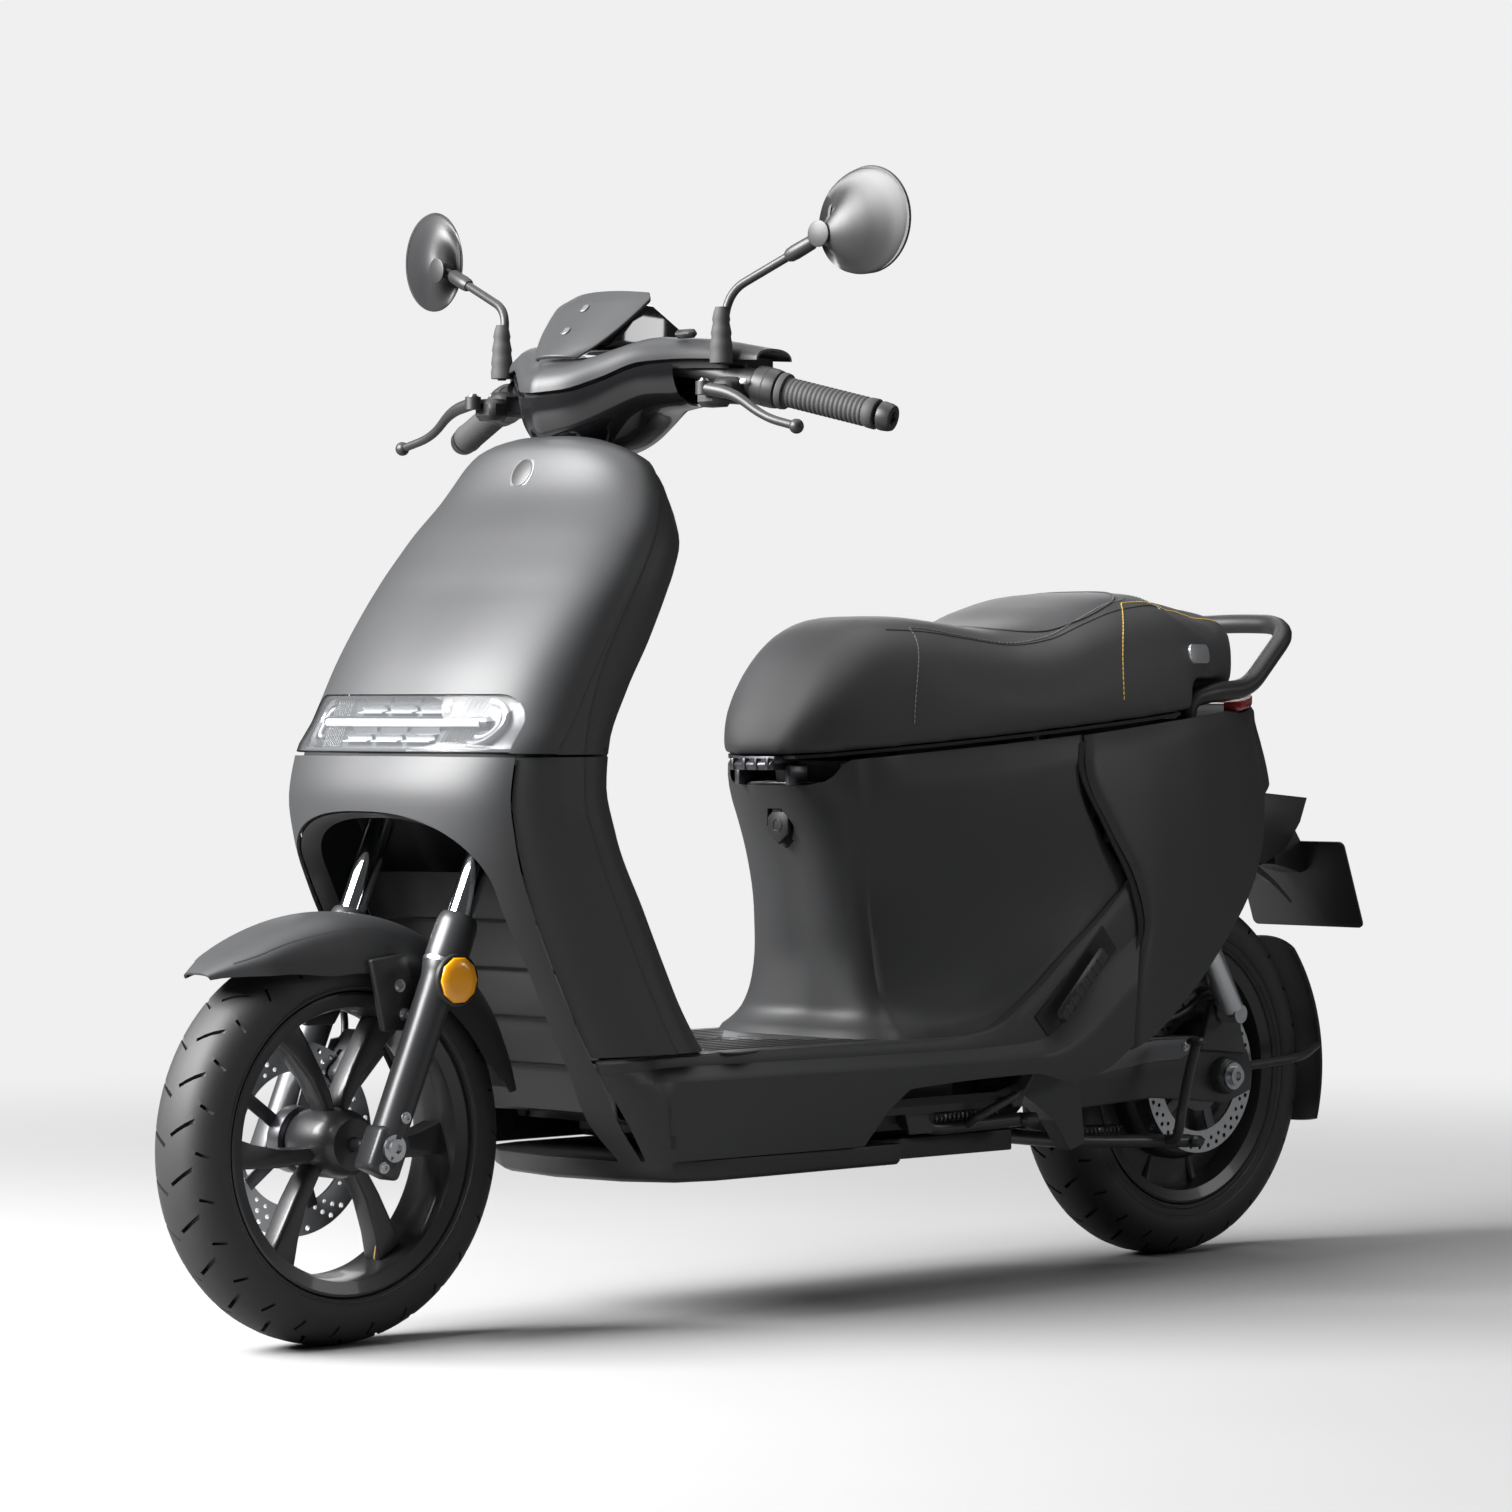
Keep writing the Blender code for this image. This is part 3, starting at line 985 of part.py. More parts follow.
def build_wheels():
    finish(wheel_ring(list(reversed(tyre_profile(FRONT_RADIUS, 0.046))), FRONT_AXLE), "front_tyre", TYRE, FRONT_AXLE)
    finish(wheel_ring(list(reversed(tyre_profile(REAR_RADIUS, 0.050))), REAR_AXLE), "rear_tyre", TYRE, REAR_AXLE)
    hoop = [(RIM_LIP, 0.0410), (RIM_LIP, 0.0366), (0.1578, 0.0356), (0.1578, -0.0356), (RIM_LIP, -0.0366), (RIM_LIP, -0.0410),
            (0.1500, -0.0360), (0.1480, 0.0), (0.1500, 0.0360)]
    rim = wheel_ring(list(reversed(hoop)), FRONT_AXLE)
    hub = wheel_ring([(0.030, -0.044), (0.040, -0.020), (0.040, 0.020), (0.030, 0.044), (0.0083, 0.044), (0.0083, -0.044)],
                     FRONT_AXLE, 24)
    spokes = []
    for k in range(3):
        turn = math.radians(90 + 120 * k)
        for split in (-1, 1):
            start = Vector((0, math.cos(turn), math.sin(turn))) * 0.032
            root = turn + split * math.radians(21)
            bend = Vector((0, math.cos(root), math.sin(root))) * 0.082
            tip = turn + split * math.radians(27)
            end = Vector((0, math.cos(tip), math.sin(tip))) * 0.1490
            for a, b in ((start, bend), (bend, end)):
                along_spoke = (b - a).normalized()
                frame = Matrix((Vector((1, 0, 0)), along_spoke, Vector((1, 0, 0)).cross(along_spoke))).transposed().to_4x4()
                spokes.append(block(FRONT_AXLE + (a + b) / 2, (0.030, (b - a).length + 0.012, 0.017), 0.0, frame))
    finish(combine("front_rim", [rim, hub] + spokes), "front_rim", WHEEL_BLACK, FRONT_AXLE)
    rotor = [(0.1100, -0.0655), (0.1100, -0.0615), (0.0330, -0.0615), (0.0330, -0.0445), (0.0200, -0.0445), (0.0200, -0.0655)]
    finish(wheel_ring(rotor, FRONT_AXLE, 28), "front_disc", STEEL, FRONT_AXLE)
    rim = wheel_ring(list(reversed([(r, x * 1.08) if r > 0.15 else (r, x) for r, x in hoop])), REAR_AXLE)
    motor = wheel_ring([(0.1050, -0.048), (0.1120, -0.040), (0.1120, 0.030), (0.1030, 0.042), (0.0450, 0.050), (0.0450, 0.058),
                        (0.0100, 0.058), (0.0100, -0.060), (0.0450, -0.060), (0.0450, -0.052)], REAR_AXLE, 28)
    web = wheel_ring([(0.1490, -0.010), (0.1490, 0.012), (0.1110, 0.016), (0.1110, -0.014)], REAR_AXLE, 28)
    finish(combine("rear_rim", [rim, web, motor]), "rear_rim", WHEEL_BLACK, REAR_AXLE)
    rotor = [(0.1020, 0.0625), (0.1020, 0.0665), (0.0200, 0.0665), (0.0200, 0.0585), (0.0400, 0.0585), (0.0400, 0.0625)]
    finish(wheel_ring(rotor, REAR_AXLE, 28), "rear_disc", STEEL, REAR_AXLE)


# ---- rear end ----
def build_swingarm():
    def arm():
        blade = side_plate([(0.345, 0.215), (0.330, 0.250), (0.400, 0.272), (0.560, 0.292), (0.640, 0.290), (0.742, 0.268),
                            (0.752, 0.214), (0.700, 0.198), (0.630, 0.206), (0.560, 0.212), (0.430, 0.206)], 0.0960, 0.018)
        boss = pin((0.0790, REAR_Y, REAR_RADIUS), (0.122, REAR_Y, REAR_RADIUS), 0.0240, 14)
        clevis = side_plate([(0.645, 0.270), (0.735, 0.262), (0.708, 0.334), (0.668, 0.334)], 0.1055, 0.010)
        return combine("arm", [blade, boss, clevis])

    left, right = both(arm)
    tube = pin((-0.1235, SWING_PIVOT.y, SWING_PIVOT.z), (0.1235, SWING_PIVOT.y, SWING_PIVOT.z), 0.0180, 14)
    bridge = rod([(-0.095, 0.400, 0.240), (0.095, 0.400, 0.240)], 0.014, 8)
    axle = pin((-0.090, REAR_Y, REAR_RADIUS), (0.090, REAR_Y, REAR_RADIUS), 0.0092, 12)
    body = block((0.0700, REAR_Y + 0.030, REAR_RADIUS + 0.085), (0.030, 0.070, 0.040), 0.005,
                 Matrix.Rotation(math.radians(-20), 4, "X"))
    lug = side_plate([(0.700, 0.3400), (0.745, 0.332), (0.745, 0.2600), (0.712, 0.2600)], 0.0880, 0.0060)
    slot = pin((0.0610, REAR_Y, REAR_RADIUS), (0.0680, REAR_Y, REAR_RADIUS), 0.1080, 20)
    caliper = combine("caliper", [combine("caliper", [body, lug]), slot], "DIFFERENCE")
    solid = combine("swingarm", [tube, bridge, left, right, axle, caliper])
    finish(solid, "swingarm", FRAME_BLACK, SWING_PIVOT)
    rows = []
    for a in spread(math.radians(-17), math.radians(40), 9):
        radius = 0.2650
        rows.append([(x, REAR_Y + (radius - 0.6 * x * x * 8) * math.cos(a), REAR_RADIUS + (radius - 0.6 * x * x * 8) * math.sin(a))
                     for x in spread(-0.068, 0.068, 7)])
    flap = evaluated(sheet(rows, WALL, 1.0))
    stay = both(lambda: rod(bent([(0.0960, 0.7530, 0.244), (0.0960, 0.860, 0.250), (0.062, 0.932, 0.262)], 0.03, 2), 0.006, 8))
    finish(combine("mudflap", [flap] + stay), "mudflap", SATIN_BLACK, SWING_PIVOT)


def build_shocks():
    line = (SHOCK_TOP - SHOCK_FOOT).normalized()
    for side, tag in ((1, "left"), (-1, "right")):
        def at(point):
            return Vector((point.x * side, point.y, point.z))

        top = at(SHOCK_TOP)
        foot = at(SHOCK_FOOT)
        up = at(line) if side > 0 else Vector((-line.x, line.y, line.z))
        eye = pin(top - Vector((0.0145, 0, 0)), top + Vector((0.0145, 0, 0)), 0.0120, 12)
        shaft = pin(top - up * 0.006, top - up * 0.193, 0.0080, 12)
        cover = pin(top - up * 0.026, top - up * 0.085, 0.0195, 12)
        finish(combine("rod", [shaft, eye, cover]), "shock_rod_" + tag, SATIN_BLACK, top)
        lower_eye = pin(foot - Vector((0.0145, 0, 0)), foot + Vector((0.0145, 0, 0)), 0.0120, 12)
        barrel = pin(foot + up * 0.006, foot + up * 0.125, 0.0165, 14)
        bore = pin(foot + up * 0.022, foot + up * 0.14, 0.0084, 12)
        finish(combine("shock", [combine("shock", [barrel, lower_eye]), bore], "DIFFERENCE"), "shock_body_" + tag,
               ALUMINIUM, top)


def build_stands():
    pivot = CENTRE_STAND

    def leg():
        return rod(bent([(0.112, pivot.y, pivot.z), (0.112, 0.440, 0.166), (0.128, 0.602, 0.158)], 0.03, 2), 0.0085, 8)

    legs = both(leg)
    cross = rod([(-0.118, pivot.y, pivot.z), (0.118, pivot.y, pivot.z)], 0.0100, 8)
    brace = rod([(-0.110, 0.455, 0.165), (0.110, 0.455, 0.165)], 0.006, 8)
    feet = both(lambda: block((0.129, 0.606, 0.1575), (0.030, 0.022, 0.014), 0.003))
    tang = rod(bent([(0.122, 0.560, 0.161), (0.150, 0.575, 0.175), (0.158, 0.585, 0.290)], 0.03, 2), 0.0065, 8)
    finish(combine("centre_stand", [cross, brace, tang] + legs + feet), "centre_stand", SATIN_BLACK, pivot)
    pivot = SIDE_STAND
    hub = pin(pivot - Vector((0.0085, 0, 0)), pivot + Vector((0.0108, 0, 0)), 0.0120, 12)
    bar = rod(bent([pivot, (0.130, 0.135, 0.2000), (0.154, 0.265, 0.2060)], 0.03, 2), 0.0085, 8)
    foot = block((0.156, 0.272, 0.2055), (0.024, 0.030, 0.016), 0.004)
    tang = rod(bent([(0.140, 0.180, 0.2020), (0.169, 0.178, 0.216), (0.174, 0.235, 0.238)], 0.02, 2), 0.0055, 8)
    finish(combine("side_stand", [bar, hub, foot, tang]), "side_stand", SATIN_BLACK, pivot)


def build_footrests():
    low = Vector((0.1945, 0.290, 0.3280))
    high = Vector((0.1945, 0.372, 0.4090))
    for side, tag in ((1, "left"), (-1, "right")):
        start = Vector((low.x * side, low.y, low.z))
        stop = Vector((high.x * side, high.y, high.z))
        direction = (stop - start).normalized()
        frame = Matrix((Vector((1, 0, 0)), direction, Vector((1, 0, 0)).cross(direction))).transposed().to_4x4()
        peg = block((start + stop) / 2, (0.010, (stop - start).length, 0.020), 0.003, frame)
        finish(peg, "footrest_" + tag, SATIN_BLACK, start)


def build_charge_lid():
    lid = pin((0, -0.0020, 0.566), (0, 0.0040, 0.566), 0.0208, 6)
    finish(lid, "charge_port_lid", SATIN_BLACK, LID_HINGE, smooth=False)


clear_scene()
PARTS = new_collection("moped_scooter")
TOOLS = new_collection("shaping_tools")
TOOLS.hide_render = True

MATT_BLACK = look("matt_black_panel", (0.030, 0.031, 0.033), 0.50)
GLOSS_BLACK = look("gloss_black_cover", (0.010, 0.010, 0.011), 0.12)
SATIN_BLACK = look("satin_black_moulding", (0.022, 0.022, 0.023), 0.45)
FRAME_BLACK = look("painted_frame", (0.035, 0.036, 0.038), 0.38)
WHEEL_BLACK = look("painted_wheel", (0.040, 0.040, 0.042), 0.35)
SEAT_COVER = look("seat_cover", (0.045, 0.045, 0.047), 0.62)
RUBBER = look("black_rubber", (0.035, 0.035, 0.036), 0.80)
TYRE = look("tyre_rubber", (0.030, 0.030, 0.031), 0.72)
CHROME = look("chrome", (0.85, 0.86, 0.88), 0.08, 1.0)
STEEL = look("brushed_disc", (0.55, 0.56, 0.58), 0.30, 1.0)
ALUMINIUM = look("cast_aluminium", (0.60, 0.61, 0.63), 0.30, 1.0)
GREY_METAL = look("grey_metal", (0.20, 0.205, 0.215), 0.45, 0.6)
SILVER = look("lamp_reflector", (0.75, 0.76, 0.78), 0.20, 0.9)
LENS = look("clear_lens", (0.70, 0.72, 0.75), 0.05)
RED_LENS = look("red_lens", (0.60, 0.04, 0.04), 0.15)
AMBER = look("amber_reflector", (0.90, 0.40, 0.02), 0.25)
GREY_PLASTIC = look("grey_switch", (0.45, 0.45, 0.46), 0.40)
GLASS_BLACK = look("display_glass", (0.008, 0.008, 0.010), 0.06)

build_frame()
build_front_panel()
build_headlight()
build_nose_panel()
build_leg_shield()
build_louvre_panel()
build_belly_tray()
build_floor()
build_body_shell()
build_tail_panels()
build_tail_light()
build_plate_holder()
build_seat()
build_grab_rail()
build_insides()
build_steering()
build_cowl()
build_controls(1, "left")
build_controls(-1, "right")
build_buttons()
build_mirror(1, "left")
build_mirror(-1, "right")
build_fork_lower()
build_fender()
build_front_caliper()
build_wheels()
build_swingarm()
build_shocks()
build_stands()
build_footrests()
build_charge_lid()

for part in PARTS.objects:
    part.location.y += CENTRE_Y
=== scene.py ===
"""Electric moped scooter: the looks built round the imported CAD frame. Metres; built about the middle of the
wheelbase and shifted by CENTRE_Y, as the CAD source is."""

import json
from math import asin, copysign, cos, degrees, exp, hypot, pi, radians, sin, sqrt, tan

import bmesh
import bpy
from mathutils import Matrix, Vector
from mathutils.bvhtree import BVHTree

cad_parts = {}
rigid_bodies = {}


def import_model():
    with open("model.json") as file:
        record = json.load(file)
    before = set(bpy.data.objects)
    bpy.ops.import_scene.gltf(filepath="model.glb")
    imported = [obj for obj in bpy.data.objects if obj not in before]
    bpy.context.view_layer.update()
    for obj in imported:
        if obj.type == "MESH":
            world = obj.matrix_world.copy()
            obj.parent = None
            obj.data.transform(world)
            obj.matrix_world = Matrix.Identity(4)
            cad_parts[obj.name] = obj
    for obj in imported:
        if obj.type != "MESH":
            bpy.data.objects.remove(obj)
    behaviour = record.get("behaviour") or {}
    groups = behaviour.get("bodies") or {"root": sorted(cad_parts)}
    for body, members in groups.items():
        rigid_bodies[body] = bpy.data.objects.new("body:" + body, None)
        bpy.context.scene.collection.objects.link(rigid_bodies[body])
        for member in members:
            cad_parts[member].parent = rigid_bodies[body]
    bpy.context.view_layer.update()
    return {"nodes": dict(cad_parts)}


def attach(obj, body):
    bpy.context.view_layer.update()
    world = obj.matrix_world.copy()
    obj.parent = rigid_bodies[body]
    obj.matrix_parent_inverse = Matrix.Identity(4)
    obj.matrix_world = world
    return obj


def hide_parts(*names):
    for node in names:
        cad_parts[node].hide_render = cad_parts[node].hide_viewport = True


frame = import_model()
TOOLS = bpy.data.collections.new("shaping_tools")
bpy.context.scene.collection.children.link(TOOLS)

CENTRE_Y = -0.0374
NOSE_POWER = 2.5
SEAM_SHARE = 0.49
FRONT_Y = -0.69
REAR_Y = 0.693
FRONT_RADIUS = 0.2245
REAR_RADIUS = 0.2355
RIM_LIP = 0.1685
RAKE = radians(23.5)
FORK_X = 0.095
STANCHION_R = 0.0155
BAR_R = 0.011
GRIP_R = 0.0165
GRIP_START = Vector((0.243, -0.2268, 1.0685))
GRIP_END = Vector((0.36, -0.184, 1.037))
SWING_PIVOT = Vector((0.0, 0.335, 0.232))
SHOCK_TOP = Vector((0.128, 0.545, 0.562))
SHOCK_FOOT = Vector((0.128, 0.686, 0.316))
SEAT_HINGE = Vector((0.0, -0.04, 0.6385))
CENTRE_STAND = Vector((0.0, 0.372, 0.172))
SIDE_STAND = Vector((0.128, 0.096, 0.213))
FRONT_AXLE = Vector((0.0, FRONT_Y, FRONT_RADIUS))
REAR_AXLE = Vector((0.0, REAR_Y, REAR_RADIUS))
STEER = Matrix.Translation(FRONT_AXLE) @ Matrix.Rotation(-RAKE, 4, "X")
SIDEWAYS = Matrix.Rotation(pi / 2, 4, "Y")
NOSE_Y = ((0.19, -0.405), (0.25, -0.49), (0.4, -0.583), (0.5, -0.63), (0.56, -0.643), (0.603, -0.6438),
          (0.66, -0.6258), (0.69, -0.604), (0.76, -0.5671), (0.83, -0.5162), (0.89, -0.4606), (0.95, -0.41),
          (1.007, -0.385))
CREASE_Y = ((0.19, -0.335), (0.25, -0.352), (0.304, -0.376), (0.333, -0.395), (0.425, -0.445), (0.515, -0.495),
            (0.56, -0.518), (0.603, -0.5338), (0.655, -0.5338), (0.69, -0.513), (0.76, -0.4731), (0.83, -0.4302),
            (0.89, -0.3896), (0.95, -0.354), (1.007, -0.33))
SHIELD_W = ((0.19, 0.182), (0.28, 0.19), (0.4, 0.19), (0.5, 0.197), (0.6, 0.205), (0.83, 0.204), (0.89, 0.196),
            (0.95, 0.173), (1.007, 0.143))
SHIELD_REAR_Y = ((0.19, -0.29), (0.31, -0.268), (0.335, -0.285), (0.37, -0.307), (0.414, -0.33), (0.478, -0.366),
                 (0.564, -0.415), (0.62, -0.431), (0.665, -0.427), (0.727, -0.4), (0.784, -0.366),
                 (0.876, -0.321), (0.933, -0.3), (0.975, -0.297), (1.007, -0.303))
CHAMFER = ((0.19, 0.045), (0.5, 0.042), (0.655, 0.04), (0.7, 0.021), (0.76, 0.009), (0.83, 0.005), (1.007, 0.003))
SKIRT_TOP_Z = ((-0.36, 0.308), (0.12, 0.308), (0.19, 0.316), (0.26, 0.353), (0.313, 0.393), (0.367, 0.435),
               (0.44, 0.49))
STRIP_HIGH_Z = ((-0.36, 0.297), (0.12, 0.295), (0.26, 0.3), (0.322, 0.33), (0.367, 0.37), (0.44, 0.43))
STRIP_LOW_Z = ((-0.36, 0.283), (0.12, 0.282), (0.277, 0.286), (0.35, 0.31), (0.386, 0.333), (0.44, 0.372))
SKIRT_LOW_Z = ((-0.36, 0.192), (-0.03, 0.192), (0.025, 0.256), (0.25, 0.264), (0.32, 0.25), (0.38, 0.262),
               (0.44, 0.29))
BARREL_FRONT_Y = ((0.3, -0.02), (0.318, 0.02), (0.345, 0.042), (0.4, 0.044), (0.45, 0.036), (0.537, 0.018),
                  (0.57, 0.004), (0.61, -0.017), (0.66, -0.03))
TAIL_SEAM_Y = ((0.28, 0.428), (0.36, 0.434), (0.398, 0.445), (0.43, 0.456), (0.486, 0.441), (0.556, 0.4),
               (0.637, 0.36), (0.66, 0.366), (0.7, 0.374))
SEAT_LINE_Z = ((-0.04, 0.647), (0.127, 0.661), (0.365, 0.682), (0.6, 0.706), (0.8, 0.726))


def along(stations, t):
    """Height of a smooth line through the stations, with no overshoot between them."""
    if t <= stations[0][0]:
        return stations[0][1]
    if t >= stations[-1][0]:
        return stations[-1][1]
    last = len(stations) - 1
    k = max(i for i in range(last) if stations[i][0] <= t)
    secant = [(stations[i + 1][1] - stations[i][1]) / (stations[i + 1][0] - stations[i][0]) for i in range(last)]

    def slope(i):
        if i == 0 or i == last:
            return secant[min(i, last - 1)]
        if secant[i - 1] * secant[i] <= 0:
            return 0.0
        return 2 * secant[i - 1] * secant[i] / (secant[i - 1] + secant[i])

    span = stations[k + 1][0] - stations[k][0]
    u = (t - stations[k][0]) / span
    return (stations[k][1] * (1 + 2 * u) * (1 - u) ** 2 + slope(k) * span * u * (1 - u) ** 2
            + stations[k + 1][1] * u * u * (3 - 2 * u) + slope(k + 1) * span * u * u * (u - 1))


def spread(low, high, count):
    return [low + (high - low) * i / (count - 1) for i in range(count)]


def power(value, exponent):
    return copysign(abs(value) ** exponent, value)


def add_object(name, mesh, group=None):
    obj = bpy.data.objects.new(name, mesh)
    (group or TOOLS).objects.link(obj)
    return obj


def from_bmesh(name, bm, group=None):
    mesh = bpy.data.meshes.new(name)
    bmesh.ops.recalc_face_normals(bm, faces=bm.faces)
    bm.to_mesh(mesh)
    bm.free()
    return add_object(name, mesh, group)


def evaluated(obj):
    """A plain object with the modifiers of obj applied and its placing kept; obj is removed."""
    bpy.context.view_layer.update()
    mesh = bpy.data.meshes.new_from_object(obj.evaluated_get(bpy.context.evaluated_depsgraph_get()))
    bm = bmesh.new()
    bm.from_mesh(mesh)
    bmesh.ops.remove_doubles(bm, verts=bm.verts, dist=0.00002)
    bm.to_mesh(mesh)
    bm.free()
    name = obj.name
    placing = obj.matrix_world.copy()
    bpy.data.objects.remove(obj, do_unlink=True)
    plain = add_object(name, mesh, TOOLS)
    plain.matrix_world = placing
    return plain


def combine(name, pieces, operation="UNION"):
    """One solid from the first piece and the others, which are used up."""
    base = pieces[0]
    for other in pieces[1:]:
        step = base.modifiers.new("join", "BOOLEAN")
        step.operation = operation
        step.solver = "EXACT"
        step.object = other
    joined = evaluated(base)
    for other in pieces[1:]:
        bpy.data.objects.remove(other, do_unlink=True)
    joined.name = name
    return joined


def sheet(rows, wall, side=-1.0, closed=False):
    """A thin wall over a grid of points."""
    bm = bmesh.new()
    verts = [[bm.verts.new(point) for point in row] for row in rows]
    across = len(rows[0])
    for low, high in zip(verts, verts[1:]):
        for i in range(across if closed else across - 1):
            j = (i + 1) % across
            bm.faces.new((low[i], low[j], high[j], high[i]))
    mesh = bpy.data.meshes.new("sheet")
    bm.to_mesh(mesh)
    bm.free()
    obj = add_object("sheet", mesh, TOOLS)
    skin = obj.modifiers.new("wall", "SOLIDIFY")
    skin.thickness = wall
    skin.offset = side
    skin.use_even_offset = True
    return obj


def loft(rings):
    """A solid through closed rings of points, with flat ends."""
    bm = bmesh.new()
    verts = [[bm.verts.new(point) for point in ring] for ring in rings]
    count = len(rings[0])
    for low, high in zip(verts, verts[1:]):
        for i in range(count):
            bm.faces.new((low[i], low[(i + 1) % count], high[(i + 1) % count], high[i]))
    bm.faces.new(verts[0])
    bm.faces.new(verts[-1])
    return from_bmesh("loft", bm, TOOLS)


def turned(profile, placing, steps=24, ring=False):
    """A solid turned about local Z; the profile runs down the outer side, closed when it is a ring."""
    bm = bmesh.new()
    verts = [bm.verts.new((radius, 0.0, height)) for radius, height in profile]
    for low, high in zip(verts, verts[1:]):
        bm.edges.new((low, high))
    if ring:
        bm.edges.new((verts[-1], verts[0]))
    mesh = bpy.data.meshes.new("turned")
    bm.to_mesh(mesh)
    bm.free()
    obj = add_object("turned", mesh, TOOLS)
    screw = obj.modifiers.new("turn", "SCREW")
    screw.steps = steps
    screw.render_steps = steps
    screw.use_merge_vertices = True
    screw.merge_threshold = 0.00001
    screw.use_normal_calculate = True
    obj.matrix_world = placing
    plain = evaluated(obj)
    bm = bmesh.new()
    bm.from_mesh(plain.data)
    bmesh.ops.recalc_face_normals(bm, faces=bm.faces)
    bm.to_mesh(plain.data)
    bm.free()
    return plain


def bent(points, radius, steps=2):
    """The corner points of a bent bar, each corner replaced by an arc-like curve."""
    points = [Vector(p) for p in points]
    path = [points[0]]
    for before, corner, after in zip(points, points[1:], points[2:]):
        reach = min(radius, (corner - before).length * 0.45, (after - corner).length * 0.45)
        start = corner + (before - corner).normalized() * reach
        stop = corner + (after - corner).normalized() * reach
        for i in range(steps + 1):
            u = i / steps
            path.append(start * (1 - u) ** 2 + corner * 2 * u * (1 - u) + stop * u * u)
    path.append(points[-1])
    return path


def block(centre, size, bevel=0.003, turn=None):
    """A box with rounded edges."""
    bm = bmesh.new()
    bmesh.ops.create_cube(bm, size=1.0)
    bmesh.ops.scale(bm, vec=Vector(size), verts=bm.verts)
    if bevel:
        bmesh.ops.bevel(bm, geom=list(bm.edges), offset=bevel, segments=1, affect="EDGES", profile=0.5)
    obj = from_bmesh("block", bm, TOOLS)
    obj.matrix_world = Matrix.Translation(centre) @ (turn or Matrix.Identity(4))
    return obj


def pin(start, stop, radius, sides=12, top_radius=None):
    """A round solid between two points."""
    start = Vector(start)
    stop = Vector(stop)
    bm = bmesh.new()
    bmesh.ops.create_cone(bm, cap_ends=True, segments=sides, radius1=radius,
                          radius2=radius if top_radius is None else top_radius, depth=(stop - start).length)
    obj = from_bmesh("pin", bm, TOOLS)
    obj.matrix_world = (Matrix.Translation((start + stop) / 2)
                        @ (stop - start).to_track_quat("Z", "Y").to_matrix().to_4x4())
    return obj


def plate(outline, thickness, placing):
    """A flat piece: the outline lies in the placing's own XY plane, centred through its thickness."""
    curve = bpy.data.curves.new("plate", "CURVE")
    curve.dimensions = "2D"
    curve.fill_mode = "BOTH"
    curve.extrude = thickness / 2
    spline = curve.splines.new("POLY")
    spline.points.add(len(outline) - 1)
    for place, point in zip(spline.points, outline):
        place.co = (point[0], point[1], 0.0, 1.0)
    spline.use_cyclic_u = True
    obj = add_object("plate", curve, TOOLS)
    obj.matrix_world = placing
    return evaluated(obj)


def side_plate(outline, x, thickness):
    """A flat piece in a fore-aft plane at x: the outline is of (y, z)."""
    placing = Matrix(((0, 0, 1, x), (1, 0, 0, 0), (0, 1, 0, 0), (0, 0, 0, 1)))
    return plate(outline, thickness, placing)


def front_plate(outline, y, thickness):
    """A flat piece in a crosswise plane at y: the outline is of (x, z)."""
    placing = Matrix(((1, 0, 0, 0), (0, 0, -1, y), (0, 1, 0, 0), (0, 0, 0, 1)))
    return plate(outline, thickness, placing)


def rounded_outline(low, high, radius, steps=4, corners=(True, True, True, True)):
    """A rectangle's outline with rounded corners, from its low-left corner anticlockwise."""
    places = ((low[0], low[1], pi), (high[0], low[1], 1.5 * pi), (high[0], high[1], 0.0),
              (low[0], high[1], 0.5 * pi))
    points = []
    for (x, y, start), is_round in zip(places, corners):
        if not is_round:
            points.append((x, y))
            continue
        cx = x + radius if x == low[0] else x - radius
        cy = y + radius if y == low[1] else y - radius
        for i in range(steps + 1):
            a = start + 0.5 * pi * i / steps
            points.append((cx + radius * cos(a), cy + radius * sin(a)))
    return points


def mirrored(obj):
    """A copy of the piece on the other side."""
    other = add_object(obj.name + ".other", obj.data.copy(), TOOLS)
    other.data.transform(obj.matrix_world)
    other.data.transform(Matrix.Scale(-1, 4, (1, 0, 0)))
    other.data.flip_normals()
    return other


def both(maker):
    """The piece on the left and its mirror image on the right."""
    left = maker()
    bpy.context.view_layer.update()
    return [left, mirrored(left)]


def rounded(obj, width, segments):
    """The piece with its edges rounded."""
    edge = obj.modifiers.new("edge", "BEVEL")
    edge.width = width
    edge.segments = segments
    return evaluated(obj)


def sided(point, side):
    """The point itself on the left, side 1, and its mirror image on the right, side -1."""
    return Vector((point.x * side, point.y, point.z))


def lying_along(direction):
    """A frame with X to the left and Y along a direction of the fore-aft plane."""
    left = Vector((1, 0, 0))
    return Matrix((left, direction, left.cross(direction))).transposed().to_4x4()


def axis_y(z):
    """Fore-aft place of the steering axis at a height."""
    return FRONT_Y + (z - FRONT_RADIUS) * tan(RAKE)


def apron_scale(z):
    return along(((0.95, 1.0), (0.975, 0.985), (0.99, 0.94), (1.0, 0.82), (1.007, 0.64)), z)


def apron_place(x, y, z):
    """Top rows shrink towards the steering axis and tilt square to it."""
    k = apron_scale(z)
    centre = axis_y(z)
    y = centre + (y - centre) * k
    tilt = along(((0.84, 0.0), (0.96, 0.36), (1.0, 0.4348)), z)
    return (x * k, y, z - tilt * (y - centre))


def nose_point(z, angle):
    """Front wrap: angle 0 is the left crease, 90 degrees the nose, 180 the right crease."""
    w = along(SHIELD_W, z)
    rear = along(CREASE_Y, z)
    depth = rear - along(NOSE_Y, z)
    x = w * power(cos(angle), 2 / NOSE_POWER)
    y = rear - depth * abs(sin(angle)) ** (2 / NOSE_POWER)
    return apron_place(x, y, z)


